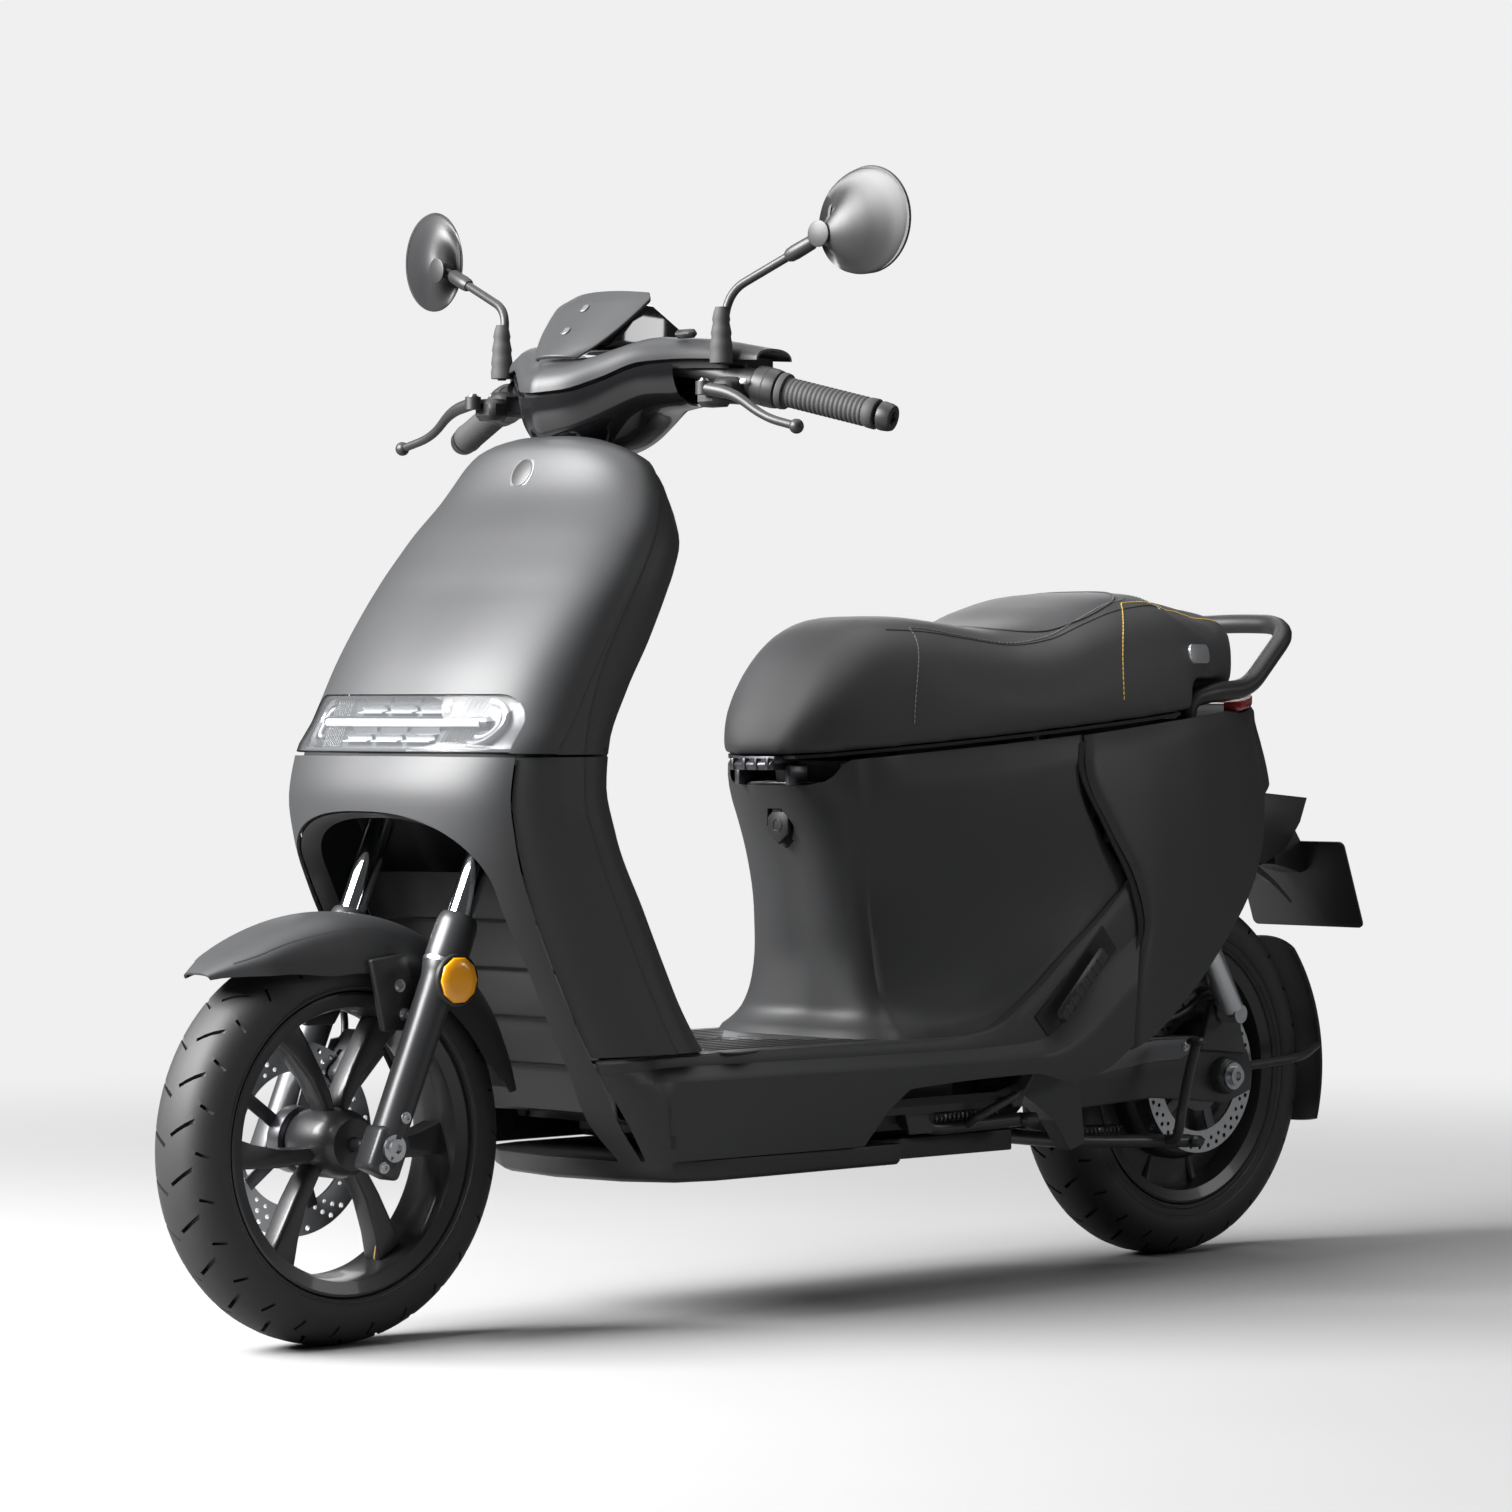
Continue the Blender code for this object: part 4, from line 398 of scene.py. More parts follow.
def louvre_y(x, z):
    """The panel behind the front wheel is hollowed towards its middle."""
    edge = along(CREASE_Y, z) - 0.048
    hollow = along(((0.2, 0.045), (0.28, 0.055), (0.36, 0.06), (0.46, 0.085), (0.57, 0.105)), z)
    return edge + hollow * (1 - (x / 0.15) ** 2) ** 0.36


def seam_y(z):
    """Fore-aft place of the seam behind the nose panel."""
    crease = along(CREASE_Y, z)
    return crease - SEAM_SHARE * (crease - along(NOSE_Y, z))


def skirt_x(y, z):
    """Outboard place of the side skirt; ahead of the crease it wraps round with the nose."""
    crease = along(CREASE_Y, z)
    if y < crease:
        ahead = (crease - y) / (crease - along(NOSE_Y, z))
        return along(SHIELD_W, z) * (1 - ahead ** NOSE_POWER) ** (1 / NOSE_POWER)
    swell = along(((-0.36, 0.184), (-0.25, 0.189), (0.1, 0.19), (0.3, 0.192), (0.44, 0.19)), y)
    tuck = 0.016 * ((0.285 - z) / 0.095) ** 2 if z < 0.285 else 0.0
    return swell - tuck


def floor_section(y):
    """Left half from the skirt's lower edge up and in over the floor."""
    top = along(SKIRT_TOP_Z, y)
    high = along(STRIP_HIGH_Z, y)
    low = along(STRIP_LOW_Z, y)
    foot = along(SKIRT_LOW_Z, y)
    rise = min(1.0, max(0.0, (y - 0.1) / 0.25))
    inset = (0.02 - 0.006 * rise) * min(1.0, max(0.0, (y + 0.42) / 0.1))
    points = []
    for z, shift in ((foot, 0.0), ((foot + low) / 2, 0.0), (low, 0.0), (high, inset * 0.9), (top, inset)):
        place = y
        if y < -0.3335:
            front = seam_y(z) + 0.002
            place = front + (y + 0.45) / (0.45 - 0.3335) * (-0.3335 - front)
        if y > 0.3:
            place += (along(TAIL_SEAM_Y, z) - 0.003 - 0.44) * ((y - 0.3) / 0.14) ** 1.5
        points.append((skirt_x(place, z) - shift, place, z))
    return points


def barrel_side(y, z):
    """Half width of the body under the seat."""
    top = along(((-0.03, 0.0), (0.0, 0.078), (0.05, 0.112), (0.155, 0.138), (0.25, 0.156), (0.36, 0.169),
                 (0.45, 0.174)), y)
    waist = along(((0.0, 0.0), (0.05, 0.086), (0.1, 0.108), (0.18, 0.13), (0.27, 0.148), (0.36, 0.163),
                   (0.45, 0.175)), y)
    mix = along(((0.33, 1.0), (0.46, 1.0), (0.62, 0.0), (0.7, 0.0)), z)
    flare = 0.0
    if y > 0.02:
        edge = along(SKIRT_TOP_Z, y) + 0.002
        flare = max(0.0, skirt_x(y, 0.3) - 0.0215 - top * (1 - mix) - waist * mix) * exp(-max(0.0, z - edge) / 0.035)
    return top * (1 - mix) + waist * mix + flare


def body_point(t, r):
    """t runs 0 at the front centre to 1 at the tail seam; r runs 0 at the seat line to 1 at the bottom."""
    back = along(TAIL_SEAM_Y, 0.672 - 0.184 * r) - 0.0012
    front = t < 0.28
    if front:
        turn = t / 0.28 * pi / 2
        y_top = along(BARREL_FRONT_Y, 0.612) + 0.062 * (1 - cos(turn))
    else:
        turn = pi / 2
        y_top = 0.045 + (back - 0.045) * (t - 0.28) / 0.72
    z_top = along(SEAT_LINE_Z, y_top) - 0.0075
    if y_top < 0.02:
        z_top = 0.6145 + (z_top - 0.6145) * max(0.0, (y_top + 0.012) / 0.032) ** 2 if y_top > -0.012 else 0.6145
    z_low = 0.3145 if y_top < 0.1 else along(SKIRT_TOP_Z, y_top) + 0.009
    z = z_top + (z_low - z_top) * r
    shift = along(BARREL_FRONT_Y, z) - along(BARREL_FRONT_Y, 0.612)
    y = y_top + shift * max(0.0, 1 - t / 0.45)
    if front:
        x = barrel_side(0.047 + shift * 0.4, z) * sin(turn) ** 0.85
    else:
        x = barrel_side(y, z)
    return (x, y, z)


def tail_low(y):
    return along(((0.38, 0.262), (0.43, 0.284), (0.47, 0.301), (0.56, 0.352), (0.66, 0.426), (0.72, 0.482),
                  (0.757, 0.537), (0.785, 0.59), (0.82, 0.612), (0.84, 0.616)), y)


def tail_half_width(y, z):
    top = along(((0.35, 0.1685), (0.55, 0.165), (0.65, 0.147), (0.73, 0.115), (0.77, 0.088), (0.8, 0.055),
                 (0.815, 0.0)), y)
    low = along(((0.35, 0.188), (0.45, 0.19), (0.55, 0.174), (0.65, 0.153), (0.73, 0.132), (0.79, 0.106),
                 (0.825, 0.065), (0.84, 0.0)), y)
    mix = along(((0.36, 1.0), (0.5, 0.9), (0.6, 0.6), (0.69, 0.0)), z)
    return top * (1 - mix) + low * mix


def tail_point(c, r):
    """c runs 0 at the seam to 1 at the rear; r runs 0 at the seat line to 1 at the trailing edge."""
    front = along(TAIL_SEAM_Y, 0.672 - 0.385 * r) + 0.0012
    back = 0.815 + 0.022 * sin(r * pi / 2)
    y = front + (back - front) * sin(c * pi / 2) ** 0.9
    high = along(SEAT_LINE_Z, y) - 0.0085 - 0.008 * max(0.0, min(1.0, (y - 0.66) / 0.05))
    z = high + (tail_low(y) - high) * r
    k = max(0.0, (y - 0.79) / (back - 0.79))
    x = tail_half_width(min(y, 0.79), z) * (1 - k ** 2.2) ** (1 / 2.2) if k < 1 else 0.0
    return (x, y, z)


def steer_point(x, v, s):
    return STEER @ Vector((x, v, s))


def cowl_line(x):
    """Front edge, rear edge and height of the line between the cowl's two shells."""
    x = abs(x)
    front = along(((0.0, -0.392), (0.035, -0.378), (0.07, -0.352), (0.11, -0.322), (0.15, -0.29), (0.22, -0.246)), x)
    rear = along(((0.0, -0.212), (0.06, -0.214), (0.13, -0.214), (0.18, -0.206), (0.22, -0.19)), x)
    height = along(((0.0, 1.064), (0.035, 1.067), (0.07, 1.08), (0.11, 1.098), (0.15, 1.101), (0.22, 1.098)), x)
    return front, rear, height


def cowl_row(x, drop, low, high, count, grow=0.0, rise=0.0):
    front, rear, height = cowl_line(x)
    middle = (front + rear) / 2
    half = (rear - front) / 2 + grow
    row = []
    for a in spread(low, high, count):
        row.append((x, middle - half * power(cos(a), 0.85), height + rise + drop * abs(sin(a)) ** 0.85))
    return row


def bar_point(t, side=1):
    """A point on the grip's own axis, t metres outboard of the grip's inner end."""
    direction = (GRIP_END - GRIP_START).normalized()
    point = GRIP_START + direction * t
    return sided(point, side)


def lever_pivot(side):
    return bar_point(-0.046, side) + Vector((0, -0.0665, -0.01))


SEAM_ANGLE = asin(SEAM_SHARE ** (NOSE_POWER / 2))


# ---- looks ----
def tree_of(name):
    """A new node material, its nodes, its links and its shader."""
    material = bpy.data.materials.new(name)
    material.use_nodes = True
    nodes = material.node_tree.nodes
    return material, nodes, material.node_tree.links, nodes["Principled BSDF"]


def surface(name, colour, roughness, metallic=0.0, grain=900.0, relief=0.05, wear=0.05, drift=0.12, coat=0.0):
    """Fine grain in the relief, slow drift in the roughness and colour."""
    material, nodes, links, shader = tree_of(name)
    place = nodes.new("ShaderNodeTexCoord")
    slow = nodes.new("ShaderNodeTexNoise")
    slow.inputs["Scale"].default_value = 5.0
    slow.inputs["Detail"].default_value = 4.0
    links.new(place.outputs["Object"], slow.inputs["Vector"])
    rough = nodes.new("ShaderNodeMapRange")
    rough.inputs["To Min"].default_value = max(0.02, roughness - wear)
    rough.inputs["To Max"].default_value = min(1.0, roughness + wear)
    links.new(slow.outputs["Fac"], rough.inputs["Value"])
    links.new(rough.outputs["Result"], shader.inputs["Roughness"])
    tint = nodes.new("ShaderNodeMix")
    tint.data_type = "RGBA"
    tint.inputs[6].default_value = (*[c * (1 - drift) for c in colour], 1.0)
    tint.inputs[7].default_value = (*[min(1.0, c * (1 + drift)) for c in colour], 1.0)
    links.new(slow.outputs["Fac"], tint.inputs[0])
    links.new(tint.outputs[2], shader.inputs["Base Color"])
    shader.inputs["Metallic"].default_value = metallic
    shader.inputs["Coat Weight"].default_value = coat
    shader.inputs["Coat Roughness"].default_value = 0.06
    fine = nodes.new("ShaderNodeTexNoise")
    fine.inputs["Scale"].default_value = grain
    fine.inputs["Detail"].default_value = 2.0
    links.new(place.outputs["Object"], fine.inputs["Vector"])
    bump = nodes.new("ShaderNodeBump")
    bump.inputs["Strength"].default_value = relief
    bump.inputs["Distance"].default_value = 0.0004
    links.new(fine.outputs["Fac"], bump.inputs["Height"])
    links.new(bump.outputs["Normal"], shader.inputs["Normal"])
    return material


def clouded(nodes, links, shader, scale, smoothest, roughest):
    """Roughness that drifts slowly between two values."""
    place = nodes.new("ShaderNodeTexCoord")
    noise = nodes.new("ShaderNodeTexNoise")
    noise.inputs["Scale"].default_value = scale
    links.new(place.outputs["Object"], noise.inputs["Vector"])
    rough = nodes.new("ShaderNodeMapRange")
    rough.inputs["To Min"].default_value = smoothest
    rough.inputs["To Max"].default_value = roughest
    links.new(noise.outputs["Fac"], rough.inputs["Value"])
    links.new(rough.outputs["Result"], shader.inputs["Roughness"])


def glass(name, colour, roughness, see_through, ior=1.45):
    """A clear cover, thin enough to show what is behind it."""
    material, nodes, links, shader = tree_of(name)
    clouded(nodes, links, shader, 40.0, roughness, roughness + 0.02)
    shader.inputs["Base Color"].default_value = (*colour, 1.0)
    shader.inputs["Alpha"].default_value = 1.0 - see_through
    shader.inputs["IOR"].default_value = ior
    shader.inputs["Coat Weight"].default_value = 0.5
    return material


def glow(name, colour, strength):
    """A lit part of a lamp."""
    material, nodes, links, shader = tree_of(name)
    clouded(nodes, links, shader, 60.0, 0.18, 0.3)
    shader.inputs["Base Color"].default_value = (*colour, 1.0)
    shader.inputs["Emission Color"].default_value = (*colour, 1.0)
    shader.inputs["Emission Strength"].default_value = strength
    return material


PANEL = surface("matt_panel", (0.026, 0.0265, 0.028), 0.5, grain=1400.0, relief=0.05)
GLOSS = surface("gloss_panel", (0.009, 0.009, 0.01), 0.1, relief=0.0, wear=0.02, coat=0.6)
MOULD = surface("satin_moulding", (0.014, 0.014, 0.015), 0.46, grain=1100.0, relief=0.12)
# Near-black look: the real dark lining of the seat base, charge port and tail deck, and the dark joint lines; it is
# also painted shade in the dark sheets set into gaps and recesses.
LINING_AND_SHADE = surface("dark_lining_and_painted_shade", (0.008, 0.008, 0.009), 0.75, grain=700.0, relief=0.2)
FLOOR_SKIN = surface("floor_panel", (0.04, 0.041, 0.043), 0.5, grain=1300.0, relief=0.08)
SEAT_SKIN = surface("seat_leather", (0.036, 0.036, 0.038), 0.56, grain=620.0, relief=0.35, wear=0.06)
SEAT_TOP = surface("seat_leather_top", (0.046, 0.046, 0.048), 0.6, grain=520.0, relief=0.45, wear=0.06)
RUBBER_SKIN = surface("ribbed_rubber", (0.03, 0.03, 0.031), 0.72, grain=500.0, relief=0.3)
TYRE_SKIN = surface("tyre_skin", (0.016, 0.016, 0.017), 0.62, grain=420.0, relief=0.25, wear=0.08)
TYRE_MARK = surface("tyre_mark", (0.048, 0.048, 0.049), 0.5, grain=420.0, relief=0.1)
WHEEL_SKIN = surface("wheel_paint", (0.024, 0.024, 0.026), 0.38, metallic=0.1, relief=0.06, coat=0.15)
FRAME_SKIN = surface("frame_paint", (0.034, 0.035, 0.037), 0.36, metallic=0.1, relief=0.08)
FORK_SKIN = surface("fork_paint", (0.03, 0.0305, 0.032), 0.34, metallic=0.2, relief=0.06)
CHROME_SKIN = surface("polished_chrome", (0.88, 0.89, 0.91), 0.07, metallic=1.0, relief=0.0, wear=0.02, drift=0.02)
STEEL_SKIN = surface("brushed_steel", (0.52, 0.53, 0.55), 0.3, metallic=1.0, grain=300.0, relief=0.15)
DARK_STEEL = surface("dark_steel", (0.12, 0.12, 0.13), 0.34, metallic=0.9, relief=0.1)
ALLOY = surface("bright_alloy", (0.62, 0.63, 0.65), 0.24, metallic=0.9, relief=0.05)
GREY_PLATE = surface("grey_cover", (0.105, 0.107, 0.112), 0.42, metallic=0.2, relief=0.1)
SILVER_BADGE = surface("silver_badge", (0.72, 0.73, 0.75), 0.26, metallic=0.8, relief=0.02)
LAMP_TRAY = surface("lamp_tray", (0.07, 0.072, 0.076), 0.34, metallic=0.5, relief=0.03)
LAMP_SILVER = surface("lamp_silver", (0.2, 0.203, 0.21), 0.3, metallic=0.8, relief=0.02)
LAMP_DARK = surface("lamp_bezel", (0.02, 0.02, 0.022), 0.3, relief=0.05)
LENS_CLEAR = glass("clear_lens", (0.3, 0.31, 0.32), 0.04, 0.9)
LED_CELL = glow("lamp_cell", (0.36, 0.37, 0.39), 0.1)
LIGHT_BAR = glow("light_bar", (0.62, 0.64, 0.68), 0.25)
RED_CLEAR = surface("red_lens", (0.5, 0.03, 0.028), 0.18, relief=0.05, coat=0.6)
AMBER_CLEAR = surface("amber_reflector", (0.85, 0.34, 0.005), 0.22, relief=0.1, coat=0.6)
SWITCH = surface("switch_grey", (0.42, 0.42, 0.43), 0.38, relief=0.05)
DISPLAY = surface("display_glass", (0.006, 0.006, 0.008), 0.05, relief=0.0, wear=0.01, coat=0.8)
MIRROR_GLASS = surface("mirror_glass", (0.86, 0.88, 0.9), 0.03, metallic=1.0, relief=0.0, wear=0.01, drift=0.01)
BRASS = surface("brass", (0.75, 0.52, 0.18), 0.28, metallic=1.0, relief=0.05)
GOLD_THREAD = surface("gold_thread", (0.62, 0.42, 0.08), 0.6, grain=2000.0, relief=0.5)
GREY_THREAD = surface("grey_thread", (0.2, 0.2, 0.205), 0.65, grain=2000.0, relief=0.5)
HOSE = surface("brake_hose", (0.016, 0.016, 0.017), 0.42, grain=900.0, relief=0.2)


def keep(obj, name, body, look, replaced=(), angle=38, bevel=0.0, segments=2, smooth=True):
    """Fix the piece in the CAD's frame, shade it, and let it ride on a body."""
    if bevel:
        edge = obj.modifiers.new("edge", "BEVEL")
        edge.width = bevel
        edge.segments = segments
        edge.limit_method = "ANGLE"
        edge.angle_limit = radians(32)
        edge.use_clamp_overlap = True
    obj = evaluated(obj)
    obj.data.transform(Matrix.Translation((0, CENTRE_Y, 0)) @ obj.matrix_world)
    obj.matrix_world = Matrix.Identity(4)
    for group in list(obj.users_collection):
        group.objects.unlink(obj)
    bpy.context.scene.collection.objects.link(obj)
    obj.name = name
    obj.data.materials.clear()
    obj.data.materials.append(look)
    if smooth:
        obj.data.shade_smooth()
        obj.data.set_sharp_from_angle(angle=radians(angle))
    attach(obj, body)
    if replaced:
        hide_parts(*replaced)
    return obj


def joined(pieces):
    """One mesh from several, without cutting them."""
    bpy.context.view_layer.update()
    bm = bmesh.new()
    for piece in pieces:
        mesh = piece.data.copy()
        mesh.transform(piece.matrix_world)
        bm.from_mesh(mesh)
        bpy.data.objects.remove(piece, do_unlink=True)
    mesh = bpy.data.meshes.new("joined")
    bm.to_mesh(mesh)
    bm.free()
    return add_object("joined", mesh, TOOLS)


def bolt(place, direction, radius, height, sides=6, washer=True):
    """A screw head on its washer, pointing outwards."""
    direction = Vector(direction).normalized()
    place = Vector(place)
    pieces = []
    if washer:
        pieces.append(pin(place, place + direction * height * 0.35, radius * 1.45, 20))
    head = pin(place + direction * height * 0.3, place + direction * height, radius, sides if sides > 6 else 24)
    pieces.append(head)
    bore = pin(place + direction * height * 0.5, place + direction * (height + 0.002), radius * 0.55, 6)
    return joined([combine("bolt", [joined(pieces) if len(pieces) == 1 else combine("b", pieces), bore],
                           "DIFFERENCE")])


def chain(points, closed=False, steps=8):
    """Smooth points through the given ones."""
    pts = [Vector(p) for p in points]
    out = []
    count = len(pts)
    for i in range(count if closed else count - 1):
        p0 = pts[(i - 1) % count] if closed or i > 0 else pts[0] * 2 - pts[1]
        p1 = pts[i]
        p2 = pts[(i + 1) % count]
        p3 = pts[(i + 2) % count] if closed or i + 2 < count else pts[-1] * 2 - pts[-2]
        for k in range(steps):
            t = k / steps
            out.append(0.5 * ((2 * p1) + (p2 - p0) * t + (2 * p0 - 5 * p1 + 4 * p2 - p3) * t * t
                              + (3 * p1 - p0 - 3 * p2 + p3) * t ** 3))
    if not closed:
        out.append(pts[-1])
    return out


def tube(points, radius, sides=16, steps=8, taper=None):
    """A smooth round tube; taper gives the radius share along it."""
    curve = bpy.data.curves.new("tube", "CURVE")
    curve.dimensions = "3D"
    curve.bevel_depth = radius
    curve.bevel_resolution = max(1, sides // 4 - 1)
    curve.use_fill_caps = True
    path = chain(points, steps=steps) if steps > 1 else [Vector(p) for p in points]
    spline = curve.splines.new("POLY")
    spline.points.add(len(path) - 1)
    last = len(path) - 1
    for i, (place, point) in enumerate(zip(spline.points, path)):
        place.co = (*point, 1.0)
        place.radius = along(taper, i / last) if taper else 1.0
    return evaluated(add_object("tube", curve, TOOLS))


def ball(place, radius, u=20, v=12, scale=(1, 1, 1)):
    bm = bmesh.new()
    bmesh.ops.create_uvsphere(bm, u_segments=u, v_segments=v, radius=radius)
    obj = from_bmesh("ball", bm, TOOLS)
    obj.matrix_world = Matrix.Translation(place) @ Matrix.Diagonal((*scale, 1.0))
    return obj


def turned_on(profile, place, direction, steps=48, ring=False):
    """Turned piece: profile of (radius, height) about a direction from a place."""
    frame_of = Matrix.Translation(place) @ Vector(direction).to_track_quat("Z", "Y").to_matrix().to_4x4()
    return turned(profile, frame_of, steps, ring)


def spring(start, stop, coil, wire, turns, sides=8):
    start = Vector(start)
    stop = Vector(stop)
    axis = (stop - start)
    length = axis.length
    axis.normalize()
    side = axis.orthogonal().normalized()
    other = axis.cross(side)
    path = []
    for i in range(turns * 12 + 1):
        a = 2 * pi * i / 12
        path.append(start + axis * length * i / (turns * 12) + (side * cos(a) + other * sin(a)) * coil)
    return tube(path, wire, sides, 1)


# ---- apron ----
def build_apron():
    fine = [0.6565, 0.6575, 0.665] + spread(0.68, 0.95, 30) + [0.96, 0.968, 0.975, 0.981, 0.987, 0.992, 0.996, 1.0,
                                                               1.0035, 1.006, 1.007]
    angles = [0.004 + (pi - 0.008) * k / 64 for k in range(65)]
    skin = evaluated(sheet([[nose_point(z, a) for a in angles] for z in fine], 0.0032))
    window = front_plate(rounded_outline((-0.187, 0.657), (0.187, 0.7225), 0.036, 12, (False, False, True, True)),
                         -0.62, 0.3)
    keep(combine("panel", [skin, window], "DIFFERENCE"), "front_panel_skin", "chassis", PANEL, ["front_panel"])

    low = [0.3155, 0.33] + spread(0.35, 0.64, 26) + [0.65, 0.6525]
    high = [0.6555, 0.66] + spread(0.675, 0.95, 24) + [0.9625, 0.975, 0.9825, 0.99, 0.995, 1.0, 1.0035, 1.007]

    def ring(z):
        start = SEAM_ANGLE - 0.01 if z < 0.654 else 0.0
        w = along(SHIELD_W, z)
        crease = along(CREASE_Y, z)
        rear = along(SHIELD_REAR_Y, z)
        back = min(along(CHAMFER, z), (rear - crease) * 0.45)
        wall = rear - 0.02 - crease - back
        left = []
        if start > 0.01:
            left += [nose_point(z, start * k / 6) for k in (6, 5, 4, 3, 2, 1)]
        half = [(w + 0.0002, crease + back * 0.03), (w + 0.0008, crease + back * 0.14)]
        half += [(w + 0.0005, crease + back * k) for k in (0.35, 0.7, 0.97)]
        half += [(w - 0.0012, crease + back + wall * 0.06)]
        half += [(w - 0.002 - 0.012 * k * k, crease + back + wall * (0.12 + 0.88 * k)) for k in (0.0, 0.25, 0.5,
                0.75)]
        half += [(w - 0.0165, rear - 0.02), (w - 0.0205, rear - 0.012), (w - 0.026, rear - 0.006),
                 (w - 0.033, rear - 0.0015), (w - 0.042, rear + 0.0025), (w - 0.055, rear + 0.006),
                 ((w - 0.055) * 0.66, rear + 0.008), ((w - 0.055) * 0.33, rear + 0.0105)]
        left += [apron_place(x, y, z) for x, y in half]
        right = [(-x, y, q) for x, y, q in reversed(left)]
        return left + [apron_place(0.0, rear + 0.011, z)] + right

    keep(sheet([ring(z) for z in low], 0.0032), "leg_shield_low_skin", "chassis", PANEL, ["leg_shield"], angle=24)
    keep(sheet([ring(z) for z in high], 0.0032), "leg_shield_high_skin", "chassis", PANEL, ["leg_shield"], angle=24)

    heights = [0.196, 0.2] + spread(0.21, 0.64, 40) + [0.648, 0.652]
    gap = 0.01
    angles = [SEAM_ANGLE + gap + (pi - 2 * SEAM_ANGLE - 2 * gap) * k / 56 for k in range(57)]
    skin = evaluated(sheet([[nose_point(z, a) for a in angles] for z in heights], 0.0034))
    opening = front_plate(ARCH, -0.55, 0.56)
    lip = combine("nose", [skin, opening], "DIFFERENCE")
    keep(lip, "nose_panel_skin", "chassis", PANEL, ["nose_panel"])
    rows = []
    for depth, shrink in ((0.0025, 1.0), (0.008, 0.988), (0.016, 0.976), (0.026, 0.97)):
        row = []
        for x, z in ARCH_LIP:
            nx = x * shrink
            nz = 0.4 + (z - 0.4) * (shrink if z > 0.4 else 1.0)
            t = min(1.0, abs(x) / along(SHIELD_W, nz))
            y = along(CREASE_Y, nz) - (along(CREASE_Y, nz) - along(NOSE_Y, nz)) * (1
                    - t ** NOSE_POWER) ** (1 / NOSE_POWER)
            row.append((nx, y + depth, nz))
        rows.append(row)
    keep(sheet(rows, 0.0022, 1.0), "nose_arch_lip", "chassis", PANEL)

    # Painted shadow: a dark sheet along the seam under the headlight stands in for the shade in that gap.
    slot = []
    for z in (0.6405, 0.6445):
        slot.append([Vector(nose_point(z, a)) + Vector((0, -0.0006 if z < 0.643 else -0.0001, 0))
                     for a in spread(0.62, pi - 0.62, 40)])
    keep(sheet(slot, 0.0012), "nose_shadow_line", "chassis", LINING_AND_SHADE)

    # Painted shade: a dark sheet just inside the joint between the front panel and the nose panel, so the gap reads
    # dark and lets no light through.
    shade_sheet = []
    for z in (0.644, 0.662):
        front = [Vector(nose_point(z, pi * k / 40)) for k in range(41)]
        middle = Vector((0, along(CREASE_Y, z), z))
        row = [p + (middle - p).normalized() * 0.0075 for p in front]
        rear = along(SHIELD_REAR_Y, z)
        w = along(SHIELD_W, z)
        back = [Vector((-(w - 0.012), rear - 0.02, z)), Vector((-(w - 0.045), rear - 0.008, z)), Vector((0, rear, z)),
                Vector((w - 0.045, rear - 0.008, z)), Vector((w - 0.012, rear - 0.02, z))]
        shade_sheet.append(row + back)
    keep(sheet(shade_sheet, 0.0015, 1.0, closed=True), "apron_joint_painted_shade", "chassis", LINING_AND_SHADE)

    width = [0.15 * sin(a) for a in spread(-pi / 2 + 0.03, pi / 2 - 0.03, 41)]
    rows = []
    z = 0.24
    while z < 0.5:
        for dz, push in ((0.0, 0.0095), (0.0015, 0.0035), (0.003, 0.0005), (0.006, 0.0), (0.02, 0.0022),
                         (0.034, 0.0048), (0.046, 0.0085), (0.0535, 0.011)):
            rows.append([(x, louvre_y(x, z + dz) + push, z + dz) for x in width])
        z += 0.056
    keep(sheet(rows, 0.0024, 1.0), "louvre_panel_skin", "chassis", MOULD, ["louvre_panel"], angle=28)


ARCH = [(-0.15, 0.19), (0.15, 0.19), (0.162, 0.3), (0.164, 0.42), (0.165, 0.5)]
ARCH += [(0.165 * power(cos(a), 0.8), 0.5 + 0.092 * sin(a) ** 0.8) for a in spread(0.05, pi - 0.05, 41)]
ARCH += [(-0.165, 0.5), (-0.164, 0.42), (-0.162, 0.3)]
ARCH_LIP = [(0.15, 0.205), (0.157, 0.25), (0.162, 0.3), (0.1635, 0.36), (0.164, 0.42), (0.1645, 0.46), (0.165, 0.495)]
ARCH_LIP += [(0.165 * power(cos(a), 0.8), 0.5 + 0.092 * sin(a) ** 0.8) for a in spread(0.05, pi - 0.05, 41)]
ARCH_LIP += [(-x, z) for x, z in reversed(ARCH_LIP[:7])]


# ---- headlight ----
def lamp_y(x, z, inward):
    w = along(SHIELD_W, z)
    t = min(0.999, abs(x) / w)
    depth = along(CREASE_Y, z) - along(NOSE_Y, z)
    return along(CREASE_Y, z) - depth * (1 - t ** NOSE_POWER) ** (1 / NOSE_POWER) + inward


